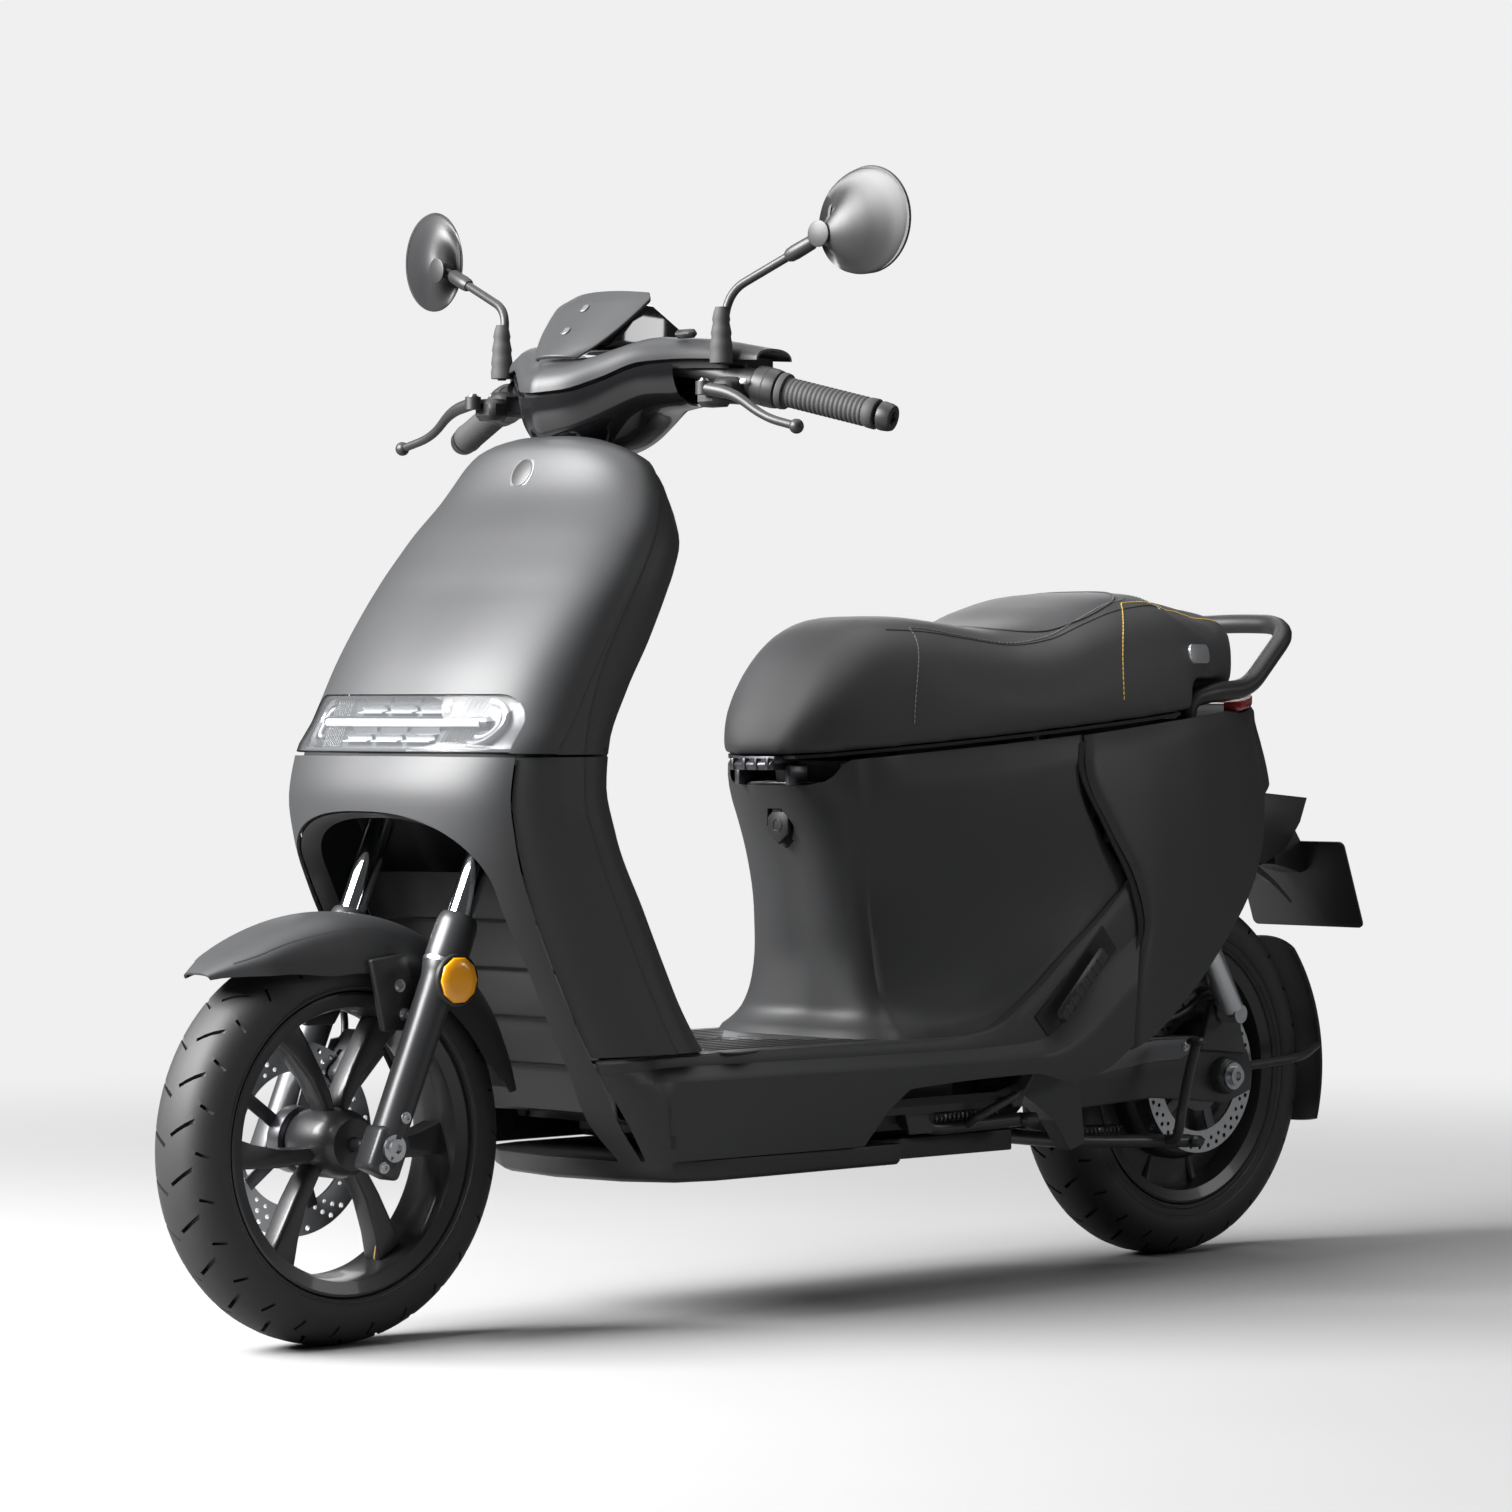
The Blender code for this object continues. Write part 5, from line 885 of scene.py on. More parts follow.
def build_headlight():
    heights = spread(0.6578, 0.7216, 12)
    angles = spread(0.28, pi - 0.28, 61)
    skin = evaluated(sheet([[nose_point(z, a) for a in angles] for z in heights], 0.0022))
    edge = front_plate(rounded_outline((-0.1858, 0.6582), (0.1858, 0.7213), 0.035, 12, (False, False, True, True)),
                       -0.62, 0.3)
    keep(combine("lens", [skin, edge], "INTERSECT"), "headlight_lens_skin", "chassis", LENS_CLEAR, ["headlight_lens"],
         bevel=0.0005)
    rows = []
    for z in spread(0.6588, 0.7206, 15):
        cut = max(0.0, (z - 0.686) / 0.036)
        reach = 0.183 - 0.036 * (1 - sqrt(max(0.0, 1 - cut * cut))) if cut > 0 else 0.183
        rows.append([(reach * k, lamp_y(reach * k, z, 0.011 + 0.005 * (1 - abs(k) ** 6)), z) for k in spread(-1, 1,
                61)])
    keep(sheet(rows, 0.0015), "headlight_tray", "chassis", LAMP_TRAY, ["headlight_unit"])
    rim = []
    outline = rounded_outline((-0.185, 0.6588), (0.185, 0.7207), 0.0345, 10, (False, False, True, True))
    dense = []
    for (xa, za), (xb, zb) in zip(outline, outline[1:] + outline[:1]):
        n = max(1, int(hypot(xb - xa, zb - za) / 0.008))
        dense += [(xa + (xb - xa) * k / n, za + (zb - za) * k / n) for k in range(n)]
    for inward in (0.0026, 0.016):
        rim.append([(x, lamp_y(x, z, inward), z) for x, z in dense])
    keep(sheet(rim, 0.0016, 1.0, closed=True), "headlight_bezel", "chassis", LAMP_DARK)
    bar = tube([(x, lamp_y(x, 0.6905, 0.0065), 0.6905) for x in spread(-0.133, 0.133, 25)], 0.0046, 16, 1)
    keep(bar, "headlight_bar", "chassis", LIGHT_BAR)
    shelf = tube([(x, lamp_y(x, 0.6905, 0.0115), 0.6905) for x in spread(-0.14, 0.14, 25)], 0.0075, 16, 1)
    keep(shelf, "headlight_bar_seat", "chassis", LAMP_DARK)
    cells = []
    hoods = []
    for z in (0.7065, 0.6745):
        for x in (-0.053, 0.0, 0.053):
            places = [x + 0.0228 * k for k in spread(-1, 1, 7)]
            for group, dz, height, depth in ((cells, -0.0042, 0.004, 0.009), (hoods, 0.0024, 0.0085, 0.0115)):
                rows = [[(at, lamp_y(at, z + dz, 0.0065 + inward), z + dz + rise) for at in places]
                        for inward, rise in ((0.0, 0.0), (depth, 0.0015))]
                rows.append([(px, py - depth * 0.15, pz + height) for px, py, pz in rows[-1]])
                group.append(evaluated(sheet(rows, 0.0012)))
    keep(joined(cells), "headlight_cells", "chassis", LED_CELL)
    keep(joined(hoods), "headlight_hoods", "chassis", LAMP_SILVER, bevel=0.0003)
    for side, tag in ((1, "left"), (-1, "right")):
        for what, look, wide, tall, inward, wire in (("headlight_arc_", LAMP_SILVER, 0.0215, 0.0235, 0.0085, 0.0042),
                                                     ("headlight_arc_inner_", LED_CELL, 0.014, 0.0155, 0.01, 0.0022)):
            arc = []
            for a in spread(radians(100), radians(-110), 25):
                x = side * (0.1385 + wide * cos(a))
                z = 0.69 + tall * sin(a)
                arc.append((x, lamp_y(x, z, inward), z))
            keep(tube(arc, wire, 12, 1), what + tag, "chassis", look)
        ribs = []
        for k in range(10):
            x = side * (0.092 + 0.0042 * k)
            ribs.append(tube([(x - side * 0.006, lamp_y(x, 0.663, 0.0125), 0.663),
                              (x + side * 0.008, lamp_y(x, 0.717, 0.0125), 0.717)], 0.0008, 6, 1))
        keep(joined(ribs), "headlight_ribs_" + tag, "chassis", LAMP_TRAY)


# ---- floor ----
def build_floor():
    stations = spread(-0.45, -0.3335, 8) + spread(-0.315, 0.1, 14) + spread(0.115, 0.44, 26)

    def section(y):
        foot, _, low, high, top = [Vector(p) for p in floor_section(y)]
        out = []
        for k in spread(0.0, 1.0, 7)[:-1]:
            y_at = foot.y + (low.y - foot.y) * k
            z_at = foot.z + (low.z - foot.z) * k
            out.append(Vector((skirt_x(y_at, z_at), y_at, z_at)))
        out.append(low + Vector((0, 0, -0.001)))
        out.append(low + (high - low) * 0.06)
        for k in (0.35, 0.65, 0.94):
            out.append(low + (high - low) * k)
        out.append(high + Vector((-0.0006, 0, 0.0006)))
        for k in (0.35, 0.7, 0.95):
            out.append(high + (top - high) * k + Vector((0, 0, 0.0008 * sin(k * pi))))
        out.append(top + Vector((-0.0012, 0, 0.0009)))
        out.append(Vector((top.x - 0.014, top.y, top.z + 0.0012)))
        return out

    def skirt():
        return evaluated(sheet([section(y) for y in stations], 0.003))

    left, right = both(skirt)

    def beside_footrest(side, x, longer, width, height, bevel):
        """A block along a folded footrest."""
        a = Vector((side * x, 0.279, 0.321))
        b = Vector((side * x, 0.39, 0.421))
        return block((a + b) / 2, (width, (b - a).length + longer, height), bevel, lying_along((b - a).normalized()))

    slots = [rounded(beside_footrest(side, 0.192, 0.0, 0.034, 0.03, 0.0), 0.0135, 5) for side in (1, -1)]
    keep(combine("skirts", [joined([left, right])] + slots, "DIFFERENCE"), "side_skirts", "chassis", PANEL,
         ["floor_pan"], angle=24)
    # Painted shade: thin dark blocks at the back of the footrest slots stand in for the shade in those recesses.
    well_shade = [beside_footrest(side, 0.18, 0.012, 0.004, 0.04, 0.001) for side in (1, -1)]
    keep(joined(well_shade), "footrest_well_painted_shade", "chassis", LINING_AND_SHADE)
    deck = [[(0.17 * k, y, 0.3092 + 0.0009 * (1 - k * k)) for k in spread(-1, 1, 41)] for y in spread(-0.3, 0.15, 24)]
    keep(sheet(deck, 0.003), "floor_deck", "chassis", FLOOR_SKIN)
    outline = [(0.158, -0.262), (0.16, -0.15), (0.16, 0.01), (0.15, 0.046), (0.118, 0.06)]
    mat_line = outline + [(-x, y) for x, y in reversed(outline)]
    mat = plate([(p.x, p.y) for p in chain([(x, y, 0) for x, y in mat_line], True, 6)], 0.002,
                Matrix.Translation((0, 0, 0.3113)))
    keep(mat, "floor_mat_skin", "chassis", FLOOR_SKIN, ["floor_mat"], bevel=0.0006)
    loops = []
    for k in range(7):
        reach = 0.15 - 0.021 * k
        for side in (1, -1):
            far = -0.245 + 0.012 * k
            near = 0.035 - 0.02 * k
            x0 = side * (reach - 0.008)
            x1 = side * (reach - 0.0165)
            middle = (far + near) / 2 - 0.03
            loop = [(x0, far), (x0 - side * 0.001, middle), (x0 - side * 0.004, near - 0.02),
                    (x0 - side * 0.009, near), (x1 - side * 0.003, near - 0.018), (x1, middle), (x1, far)]
            loops.append(tube([(x, y, 0.3123) for x, y in loop], 0.0007, 8, 6))
    for k in range(6):
        y = -0.215 + 0.034 * k
        loops.append(tube([(-0.022, y, 0.3123), (-0.01, y + 0.008, 0.3123), (0.01, y + 0.008, 0.3123),
                           (0.022, y, 0.3123)], 0.0007, 8, 6))
    keep(joined(loops), "floor_mat_lines", "chassis", RUBBER_SKIN)
    seam = []
    for side in (1, -1):
        path = []
        for z in spread(0.201, 0.305, 16):
            y = -0.215 - 0.055 * ((0.305 - z) / 0.105) ** 1.5
            x = skirt_x(y, z)
            if z > 0.283:
                x -= 0.0185 * (z - 0.283) / 0.014 if z < 0.297 else 0.0185
            path.append((side * (x + 0.0001), y, z))
        seam.append(tube(path, 0.0006, 6, 1))
    keep(joined(seam), "skirt_seams", "chassis", LINING_AND_SHADE)

    # Painted shade: dark plates inside the skirts, below the floor, fill the opening between the skirts and the belly
    # tray with shade.
    shade_plates = both(lambda: side_plate([(-0.12, 0.178), (-0.12, 0.285), (0.345, 0.3), (0.345, 0.215), (0.3, 0.178)],
                                     0.08, 0.003))
    keep(joined(list(shade_plates)), "chassis_side_painted_shade", "chassis", LINING_AND_SHADE)

    def ring(z, grow):
        left = [(0.15, 0.29), (0.166, 0.22), (0.168, -0.02), (0.172, -0.2), (0.172, -0.268), (0.158, -0.318),
                (0.1, -0.356)]
        half = [(x * grow, y * grow if y < 0 else y, z) for x, y in left]
        return half + [(0.0, -0.372 * grow, z)] + [(-x, y, q) for x, y, q in reversed(half)]

    tray = loft([ring(0.1645, 0.955), ring(0.169, 0.985), ring(0.19, 1.0)])
    stand_room = block((0.148, 0.18, 0.18), (0.066, 0.27, 0.06), 0.0)
    keep(combine("tray", [tray, stand_room], "DIFFERENCE"), "belly_tray_skin", "chassis", MOULD, ["belly_tray"],
         bevel=0.002, angle=30)


# ---- body under the seat ----
def build_body():
    ts = [0.0, 0.02, 0.04, 0.07, 0.1, 0.14, 0.17, 0.2, 0.23, 0.255, 0.28] + spread(0.3, 0.985, 30) + [1.0]
    rs = [0.0, 0.01, 0.05, 0.1, 0.112] + spread(0.15, 0.8, 16) + spread(0.83, 0.985, 10) + [1.0]

    def place(t, r):
        x, y, z = body_point(t, r)
        edge = 0.0
        step = along(((0.0, 0.0), (0.3, 0.0), (0.42, 1.0), (1.0, 1.0)), t)
        if r < 0.112:
            edge = 0.005 * step * (1 - max(0.0, r - 0.008) / 0.104) if r > 0.008 else 0.0062 * step
        roll = 0.004 * max(0.0, (t - 0.985) / 0.015)
        z -= 0.0075 * max(0.0, min(1.0, (r - 0.985) / 0.015))
        return (max(0.0, x - edge - roll), y, z) if t > 0.001 else (0.0, y, z)

    rows = []
    for r in rs:
        left = [place(t, r) for t in reversed(ts)]
        rows.append(left + [(-x, y, z) for x, y, z in reversed(left[:-1])])
    skin = evaluated(sheet(rows, 0.0028))
    pocket = pin((0, -0.05, 0.566), (0, 0.05, 0.566), 0.0232, 6)
    pocket.matrix_world = pocket.matrix_world @ Matrix.Rotation(radians(30), 4, "Z")
    keep(combine("body", [skin, pocket], "DIFFERENCE"), "body_shell_skin", "chassis", PANEL, ["body_shell"], angle=28)
    cup = pin((0, 0.013, 0.566), (0, 0.018, 0.566), 0.0275, 6)
    keep(cup, "charge_port_cup", "chassis", LINING_AND_SHADE)
    outline = []
    for k in range(6):
        a = radians(60 * k + 90)
        outline.append((0.0206 * cos(a) * (1.0 if k % 3 else 1.18), 0.566 + 0.0206 * sin(a)
                        * (1.0 if k % 3 else 1.12)))
    lid = front_plate(outline, 0.004, 0.0065)
    keep(lid, "charge_lid_skin", "charge_lid", MOULD, ["charge_port_lid"], bevel=0.0012)
    tab = block((0, 0.0004, 0.5855), (0.016, 0.003, 0.006), 0.0008)
    keep(tab, "charge_lid_tab", "charge_lid", MOULD, bevel=0.0004)
    ring = tube([(0.0075 * cos(a), 0.0006, 0.566 + 0.0075 * sin(a)) for a in spread(0, 2 * pi, 25)], 0.0006, 6, 1)
    keep(joined([ring]), "charge_lid_ring", "charge_lid", MOULD)
    hinge = [block((0.044, -0.01, 0.6265), (0.008, 0.03, 0.023), 0.0), block((-0.044, -0.01, 0.6265),
            (0.008, 0.03, 0.023), 0.0), block((0, 0.012, 0.6165), (0.1, 0.05, 0.004), 0.0)]
    keep(joined(hinge), "seat_hinge_seat", "chassis", DARK_STEEL, bevel=0.001)
    # Painted shade: dark sheets just under the seat line fill the gap between the seat and the body with shade.
    rows = []
    for r in (0.02, 0.1):
        rows.append([Vector(body_point(t, r)) - Vector((0.01, -0.012 if t < 0.2 else 0.0, 0.003))
                     for t in spread(0.04, 0.985, 40)])

    def shade_sheet(side):
        pts = [[(side * max(0.0, p.x), p.y, p.z + 0.006) for p in row] for row in rows]
        return evaluated(sheet(pts, 0.002))

    keep(joined([shade_sheet(1), shade_sheet(-1)]), "seat_gap_painted_shade", "chassis", LINING_AND_SHADE)

    rs = [0.0, 0.008, 0.02, 0.05, 0.075] + spread(0.11, 0.96, 26) + [0.985, 1.0]
    cs = [0.0, 0.006, 0.014, 0.026, 0.045, 0.07] + spread(0.1, 0.97, 34) + [0.985, 1.0]

    def tail(c, r):
        x, y, z = tail_point(c, r)
        lip = 0.0055 * max(0.0, 1 - c / 0.012) ** 2
        band = 0.0045 * max(0.0, 1 - r / 0.055)
        return (max(0.0004, x - lip - band), y, z)

    def panel():
        return evaluated(sheet([[tail(c, r) for c in cs] for r in rs], 0.0028, 1.0))

    left, right = both(panel)
    keep_side = block((0.3002, 0.6, 0.5), (0.6, 1.0, 1.0), 0.0)
    keep_other = block((-0.3002, 0.6, 0.5), (0.6, 1.0, 1.0), 0.0)
    keep(combine("tail", [left, keep_side], "INTERSECT"), "tail_panel_left_skin", "chassis", PANEL,
         ["tail_panel_left"], angle=28)
    keep(combine("tail", [right, keep_other], "INTERSECT"), "tail_panel_right_skin", "chassis", PANEL,
         ["tail_panel_right"], angle=28)

    # Painted shade: a dark sheet set into the seam between the body and the tail panel makes the seam read as a
    # shaded groove.
    def groove():
        rows = []
        for inset in (0.0, 0.02):
            rows.append([(tail_half_width(along(TAIL_SEAM_Y, z), z) - 0.0065 - inset * 0.2, along(TAIL_SEAM_Y, z)
                          + (inset - 0.01), z) for z in spread(0.3, 0.665, 24)])
        return evaluated(sheet(rows, 0.002))

    left, right = both(groove)
    keep(joined([left, right]), "tail_groove_painted_shade", "chassis", LINING_AND_SHADE)

    def ring(z, inset):
        left = [(tail_half_width(y, 0.69) - inset, y) for y in [0.7 + 0.0045 * k for k in range(25)]]
        left = [(x, y) for x, y in left if x > 0.004]
        outer = left + [(0, 0.8145 - inset)] + [(-x, y) for x, y in reversed(left)]
        both_sides = outer + [(x * 0.86, y - 0.012) for x, y in reversed(outer)]
        return [(x, y, z + 0.1 * (y - 0.7)) for x, y in both_sides]

    keep(loft([ring(0.704, 0.001), ring(0.706, 0.0), ring(0.714, 0.0), ring(0.7156, 0.001)]), "tail_light_skin",
         "chassis", RED_CLEAR, ["tail_light"], angle=30)
    deck = []
    for y in spread(0.6, 0.802, 16):
        half = max(0.003, tail_half_width(y, 0.69) - 0.01)
        deck.append([(half * k, y, along(SEAT_LINE_Z, y) - 0.013) for k in spread(-1, 1, 11)])
    keep(sheet(deck, 0.002), "tail_deck", "chassis", LINING_AND_SHADE)

    for side, tag in ((1, "left"), (-1, "right")):
        centre = Vector((side * 0.121, 0.6905, 0.658))
        ahead = Vector((-side * 0.42, 0.9, 0.03)).normalized()
        up = Vector((side * 0.03, 0.02, 1.0)).normalized()
        out = ahead.cross(up) * (1 if side > 0 else -1)
        frame_of = Matrix((ahead, up, ahead.cross(up))).transposed().to_4x4()
        for grow, look_used, lift, what in ((0.0, SILVER_BADGE, 0.0, "rim"), (-0.0022, DARK_STEEL, 0.001, "field")):
            shape = rounded_outline((-0.0155 - grow, -0.0085 - grow), (0.0155 + grow, 0.0085 + grow), 0.004 + grow, 5)
            piece = plate(shape, 0.003, Matrix.Translation(centre + out * lift) @ frame_of)
            keep(piece, "tail_badge_%s_%s" % (what, tag), "chassis", look_used, bevel=0.0006)


# ---- seat ----
SEAT_LOW = ((-0.04, 0.65), (0.127, 0.664), (0.365, 0.685), (0.6, 0.709), (0.66, 0.722), (0.73, 0.745), (0.78, 0.775))
SEAT_HIGH = ((-0.038, 0.664), (-0.033, 0.682), (-0.025, 0.702), (0.0, 0.742), (0.03, 0.778), (0.065, 0.804),
             (0.1, 0.815), (0.15, 0.816), (0.21, 0.811), (0.28, 0.804), (0.34, 0.812), (0.4, 0.832), (0.47, 0.848),
             (0.534, 0.851), (0.6, 0.841), (0.67, 0.832), (0.76, 0.823), (0.78, 0.806))
SEAT_WIDE = ((-0.038, 0.03), (-0.033, 0.052), (-0.02, 0.072), (0.0, 0.09), (0.03, 0.104), (0.08, 0.12), (0.15, 0.14),
             (0.25, 0.158), (0.36, 0.169), (0.45, 0.171), (0.55, 0.165), (0.6, 0.155), (0.65, 0.136), (0.7, 0.11),
             (0.74, 0.078), (0.765, 0.052), (0.78, 0.03))


def seat_point(y, a, out=0.0):
    z0 = along(SEAT_LOW, y)
    z1 = along(SEAT_HIGH, y)
    w = along(SEAT_WIDE, y)
    return Vector(((w + out) * power(cos(a), 0.62), y, z0 + 0.01 + (z1 - z0 - 0.01 + out) * abs(sin(a)) ** 0.62))


def build_seat():
    ys = [-0.038, -0.036, -0.032, -0.026, -0.018, -0.008] + spread(0.005, 0.74, 52) + [0.752, 0.762, 0.77, 0.775,
            0.778]
    rings = []
    for y in ys:
        ring = [tuple(seat_point(y, a)) for a in spread(0.0, pi, 41)]
        w = along(SEAT_WIDE, y)
        z0 = along(SEAT_LOW, y)
        ring += [(-w * 0.96, y, z0), (-w * 0.5, y, z0), (0.0, y, z0), (w * 0.5, y, z0), (w * 0.96, y, z0)]
        rings.append(ring)
    cushion = loft(rings)
    notches = [block((s * 0.187, 0.69, 0.712), (0.15, 0.23, 0.066), 0.0) for s in (1, -1)]
    cushion = combine("cushion", [cushion] + [rounded(notch, 0.014, 4) for notch in notches], "DIFFERENCE")
    remesh = cushion.modifiers.new("even", "REMESH")
    remesh.mode = "VOXEL"
    remesh.voxel_size = 0.0058
    cushion = evaluated(cushion)
    rest = [v.co.copy() for v in cushion.data.vertices]
    held = cushion.vertex_groups.new(name="held")
    fixed = [v.index for v in cushion.data.vertices if v.co.z < along(SEAT_LOW, v.co.y) + 0.014]
    held.add(fixed, 1.0, "REPLACE")
    cloth = cushion.modifiers.new("cloth", "CLOTH")
    cloth.settings.quality = 5
    cloth.settings.use_pressure = True
    cloth.settings.uniform_pressure_force = 3.0
    cloth.settings.effector_weights.gravity = 0.0
    cloth.settings.tension_stiffness = 40
    cloth.settings.compression_stiffness = 40
    cloth.settings.bending_stiffness = 2.0
    cloth.settings.vertex_group_mass = "held"
    cloth.collision_settings.use_collision = False
    scene = bpy.context.scene
    for group in list(cushion.users_collection):
        group.objects.unlink(cushion)
    scene.collection.objects.link(cushion)
    for number in range(1, 17):
        scene.frame_set(number)
    graph = bpy.context.evaluated_depsgraph_get()
    mesh = bpy.data.meshes.new_from_object(cushion.evaluated_get(graph))
    scene.frame_set(1)
    cushion.modifiers.clear()
    cushion.data = mesh
    for vertex, before in zip(cushion.data.vertices, rest):
        move = vertex.co - before
        if move.length > 0.0035:
            move *= 0.0035 / move.length
        vertex.co = before + move
    for group in list(cushion.users_collection):
        group.objects.unlink(cushion)
    TOOLS.objects.link(cushion)
    cushion.vertex_groups.clear()
    relax = cushion.modifiers.new("relax", "SMOOTH")
    relax.factor = 0.5
    relax.iterations = 4
    seat = keep(evaluated(cushion), "seat_cushion_skin", "seat", SEAT_SKIN, ["seat_cushion"], angle=60)
    return seat




def stitched(path, name, look_used, pitch=0.0062, wire=0.00075):
    """Stitches along a line that lies on the cushion."""
    pieces = []
    points = [Vector(p) for p in path]
    lengths = [0.0]
    for a, b in zip(points, points[1:]):
        lengths.append(lengths[-1] + (b - a).length)

    def at(s):
        for i in range(len(points) - 1):
            if lengths[i + 1] >= s:
                span = lengths[i + 1] - lengths[i]
                return points[i].lerp(points[i + 1], (s - lengths[i]) / span if span else 0.0)
        return points[-1]

    s = 0.0
    while s + pitch < lengths[-1]:
        a = at(s)
        b = at(s + pitch * 0.72)
        pieces.append(tube([a, (a + b) / 2 + (a - Vector((0, a.y, 0.72))).normalized() * 0.0003, b], wire, 8, 2))
        s += pitch
    keep(joined(pieces), name, "seat", look_used)


def dropped(seat, points, lift=0.0004):
    """The points pulled onto the cushion's surface."""
    tree = BVHTree.FromObject(seat, bpy.context.evaluated_depsgraph_get())
    out = []
    for p in points:
        p = Vector(p) + Vector((0, CENTRE_Y, 0))
        found, normal, _, _ = tree.find_nearest(p)
        out.append(found + normal * lift - Vector((0, CENTRE_Y, 0)))
    return out


def build_seams(seat):
    for side, tag in ((1, "left"), (-1, "right")):
        line = []
        for a in spread(0.03, 1.05, 40):
            y = 0.105 + 0.03 * sin(a * 1.35) ** 1.5
            line.append(seat_point(y, a if side > 0 else pi - a, 0.002))
        for k in spread(0.0, 1.0, 60)[1:]:
            y = 0.135 + (0.515 - 0.135) * k
            a = 1.05 - 0.32 * sin(k * pi) * 0.6 + 0.1 * k
            line.append(seat_point(y, a if side > 0 else pi - a, 0.002))
        stitched(dropped(seat, line), "seat_stitch_grey_" + tag, GREY_THREAD)
        gold = []
        for k in spread(0.0, 1.0, 50):
            a = 0.03 + 1.02 * k ** 0.8
            y = 0.432 + 0.06 * k ** 1.4
            gold.append(seat_point(y, a if side > 0 else pi - a, 0.002))
        for k in spread(0.0, 1.0, 50)[1:]:
            y = 0.492 + (0.74 - 0.492) * k
            a = 1.05 + 0.05 * sin(k * pi)
            gold.append(seat_point(y, a if side > 0 else pi - a, 0.002))
        stitched(dropped(seat, gold), "seat_stitch_gold_" + tag, GOLD_THREAD)
    ring = []
    for k in range(81):
        t = 2 * pi * k / 80
        y = 0.4 + 0.125 * cos(t)
        ring.append(seat_point(y, pi / 2 - 0.62 * sin(t), 0.002))
    keep(tube(dropped(seat, ring, 0.0004), 0.0014, 8, 1), "seat_top_piping", "seat", SEAT_TOP)
    for side, tag in ((1, "left"), (-1, "right")):
        edge = []
        for k in spread(0.0, 1.0, 70):
            y = 0.1 + 0.46 * k
            a = 1.02 - 0.16 * sin(k * pi)
            edge.append(seat_point(y, a if side > 0 else pi - a, 0.002))
        keep(tube(dropped(seat, edge, 0.0002), 0.001, 8, 1), "seat_edge_piping_" + tag, "seat", SEAT_TOP)
    cross = [seat_point(0.56, a, 0.002) for a in spread(0.95, pi - 0.95, 40)]
    stitched(dropped(seat, cross), "seat_stitch_cross", GREY_THREAD)
    for side, tag in ((1, "left"), (-1, "right")):
        spot = dropped(seat, [(side * 0.15, 0.59, 0.7745)], 0.0)[0]
        ahead = (dropped(seat, [(side * 0.146, 0.61, 0.7745)], 0.0)[0] - dropped(seat, [(side * 0.154, 0.57, 0.7745)],
                0.0)[0]).normalized()
        up = Vector((-side * 0.15, 0.0, 1.0)).normalized()
        normal = ahead.cross(up).normalized()
        if normal.x * side < 0:
            normal = -normal
        up = normal.cross(ahead).normalized()
        frame_of = Matrix((ahead, up, ahead.cross(up))).transposed().to_4x4()
        pill = plate(rounded_outline((-0.0245, -0.012), (0.0245, 0.012), 0.009, 8), 0.0034,
                     Matrix.Translation(spot + normal * 0.0012) @ frame_of)
        keep(pill, "seat_badge_" + tag, "seat", SILVER_BADGE, bevel=0.0012, segments=3)


def build_seat_base():
    rows = []
    for y in spread(-0.026, 0.6, 40):
        w = along(SEAT_WIDE, y) - 0.007
        if y > 0.565:
            w = 0.104
        z = along(SEAT_LOW, y) - 0.001
        rows.append([(w * k, y, z) for k in spread(-1, 1, 13)])
    keep(sheet(rows, 0.004, -1.0), "seat_base_skin", "seat", LINING_AND_SHADE, ["seat_pan"])
    pieces = [pin((-0.036, SEAT_HINGE.y, SEAT_HINGE.z), (0.036, SEAT_HINGE.y, SEAT_HINGE.z), 0.0058, 24)]
    for x in (-0.03, -0.01, 0.01, 0.03):
        pieces.append(block((x, -0.03, 0.64), (0.006, 0.034, 0.014), 0.0))
    pieces.append(block((0, -0.02, 0.645), (0.074, 0.04, 0.0085), 0.0))
    keep(joined(pieces), "seat_hinge_leaf", "seat", DARK_STEEL, bevel=0.001)


# ---- wheels ----
def wheel_turned(profile, axle, steps=160):
    return turned(profile, Matrix.Translation(axle) @ SIDEWAYS, steps, True)


def tyre_section(radius, half):
    crown = [(0.06, 0.0), (0.3, 0.0008), (0.5, 0.0028), (0.66, 0.0062), (0.8, 0.0118), (0.9, 0.0185), (0.97, 0.027),
             (1.0, 0.036), (0.985, 0.0435), (0.955, 0.05), (0.93, 0.0512), (0.925, 0.053)]
    outer = [(radius - drop, half * k) for k, drop in crown]
    wide = half / 0.046
    side = outer + [(RIM_LIP + 0.0024, 0.0398 * wide), (RIM_LIP + 0.0012, 0.0375 * wide),
                    (RIM_LIP + 0.0004, 0.035 * wide), (0.1584, 0.0342 * wide)]
    return side + [(r, -x) for r, x in reversed(side)]


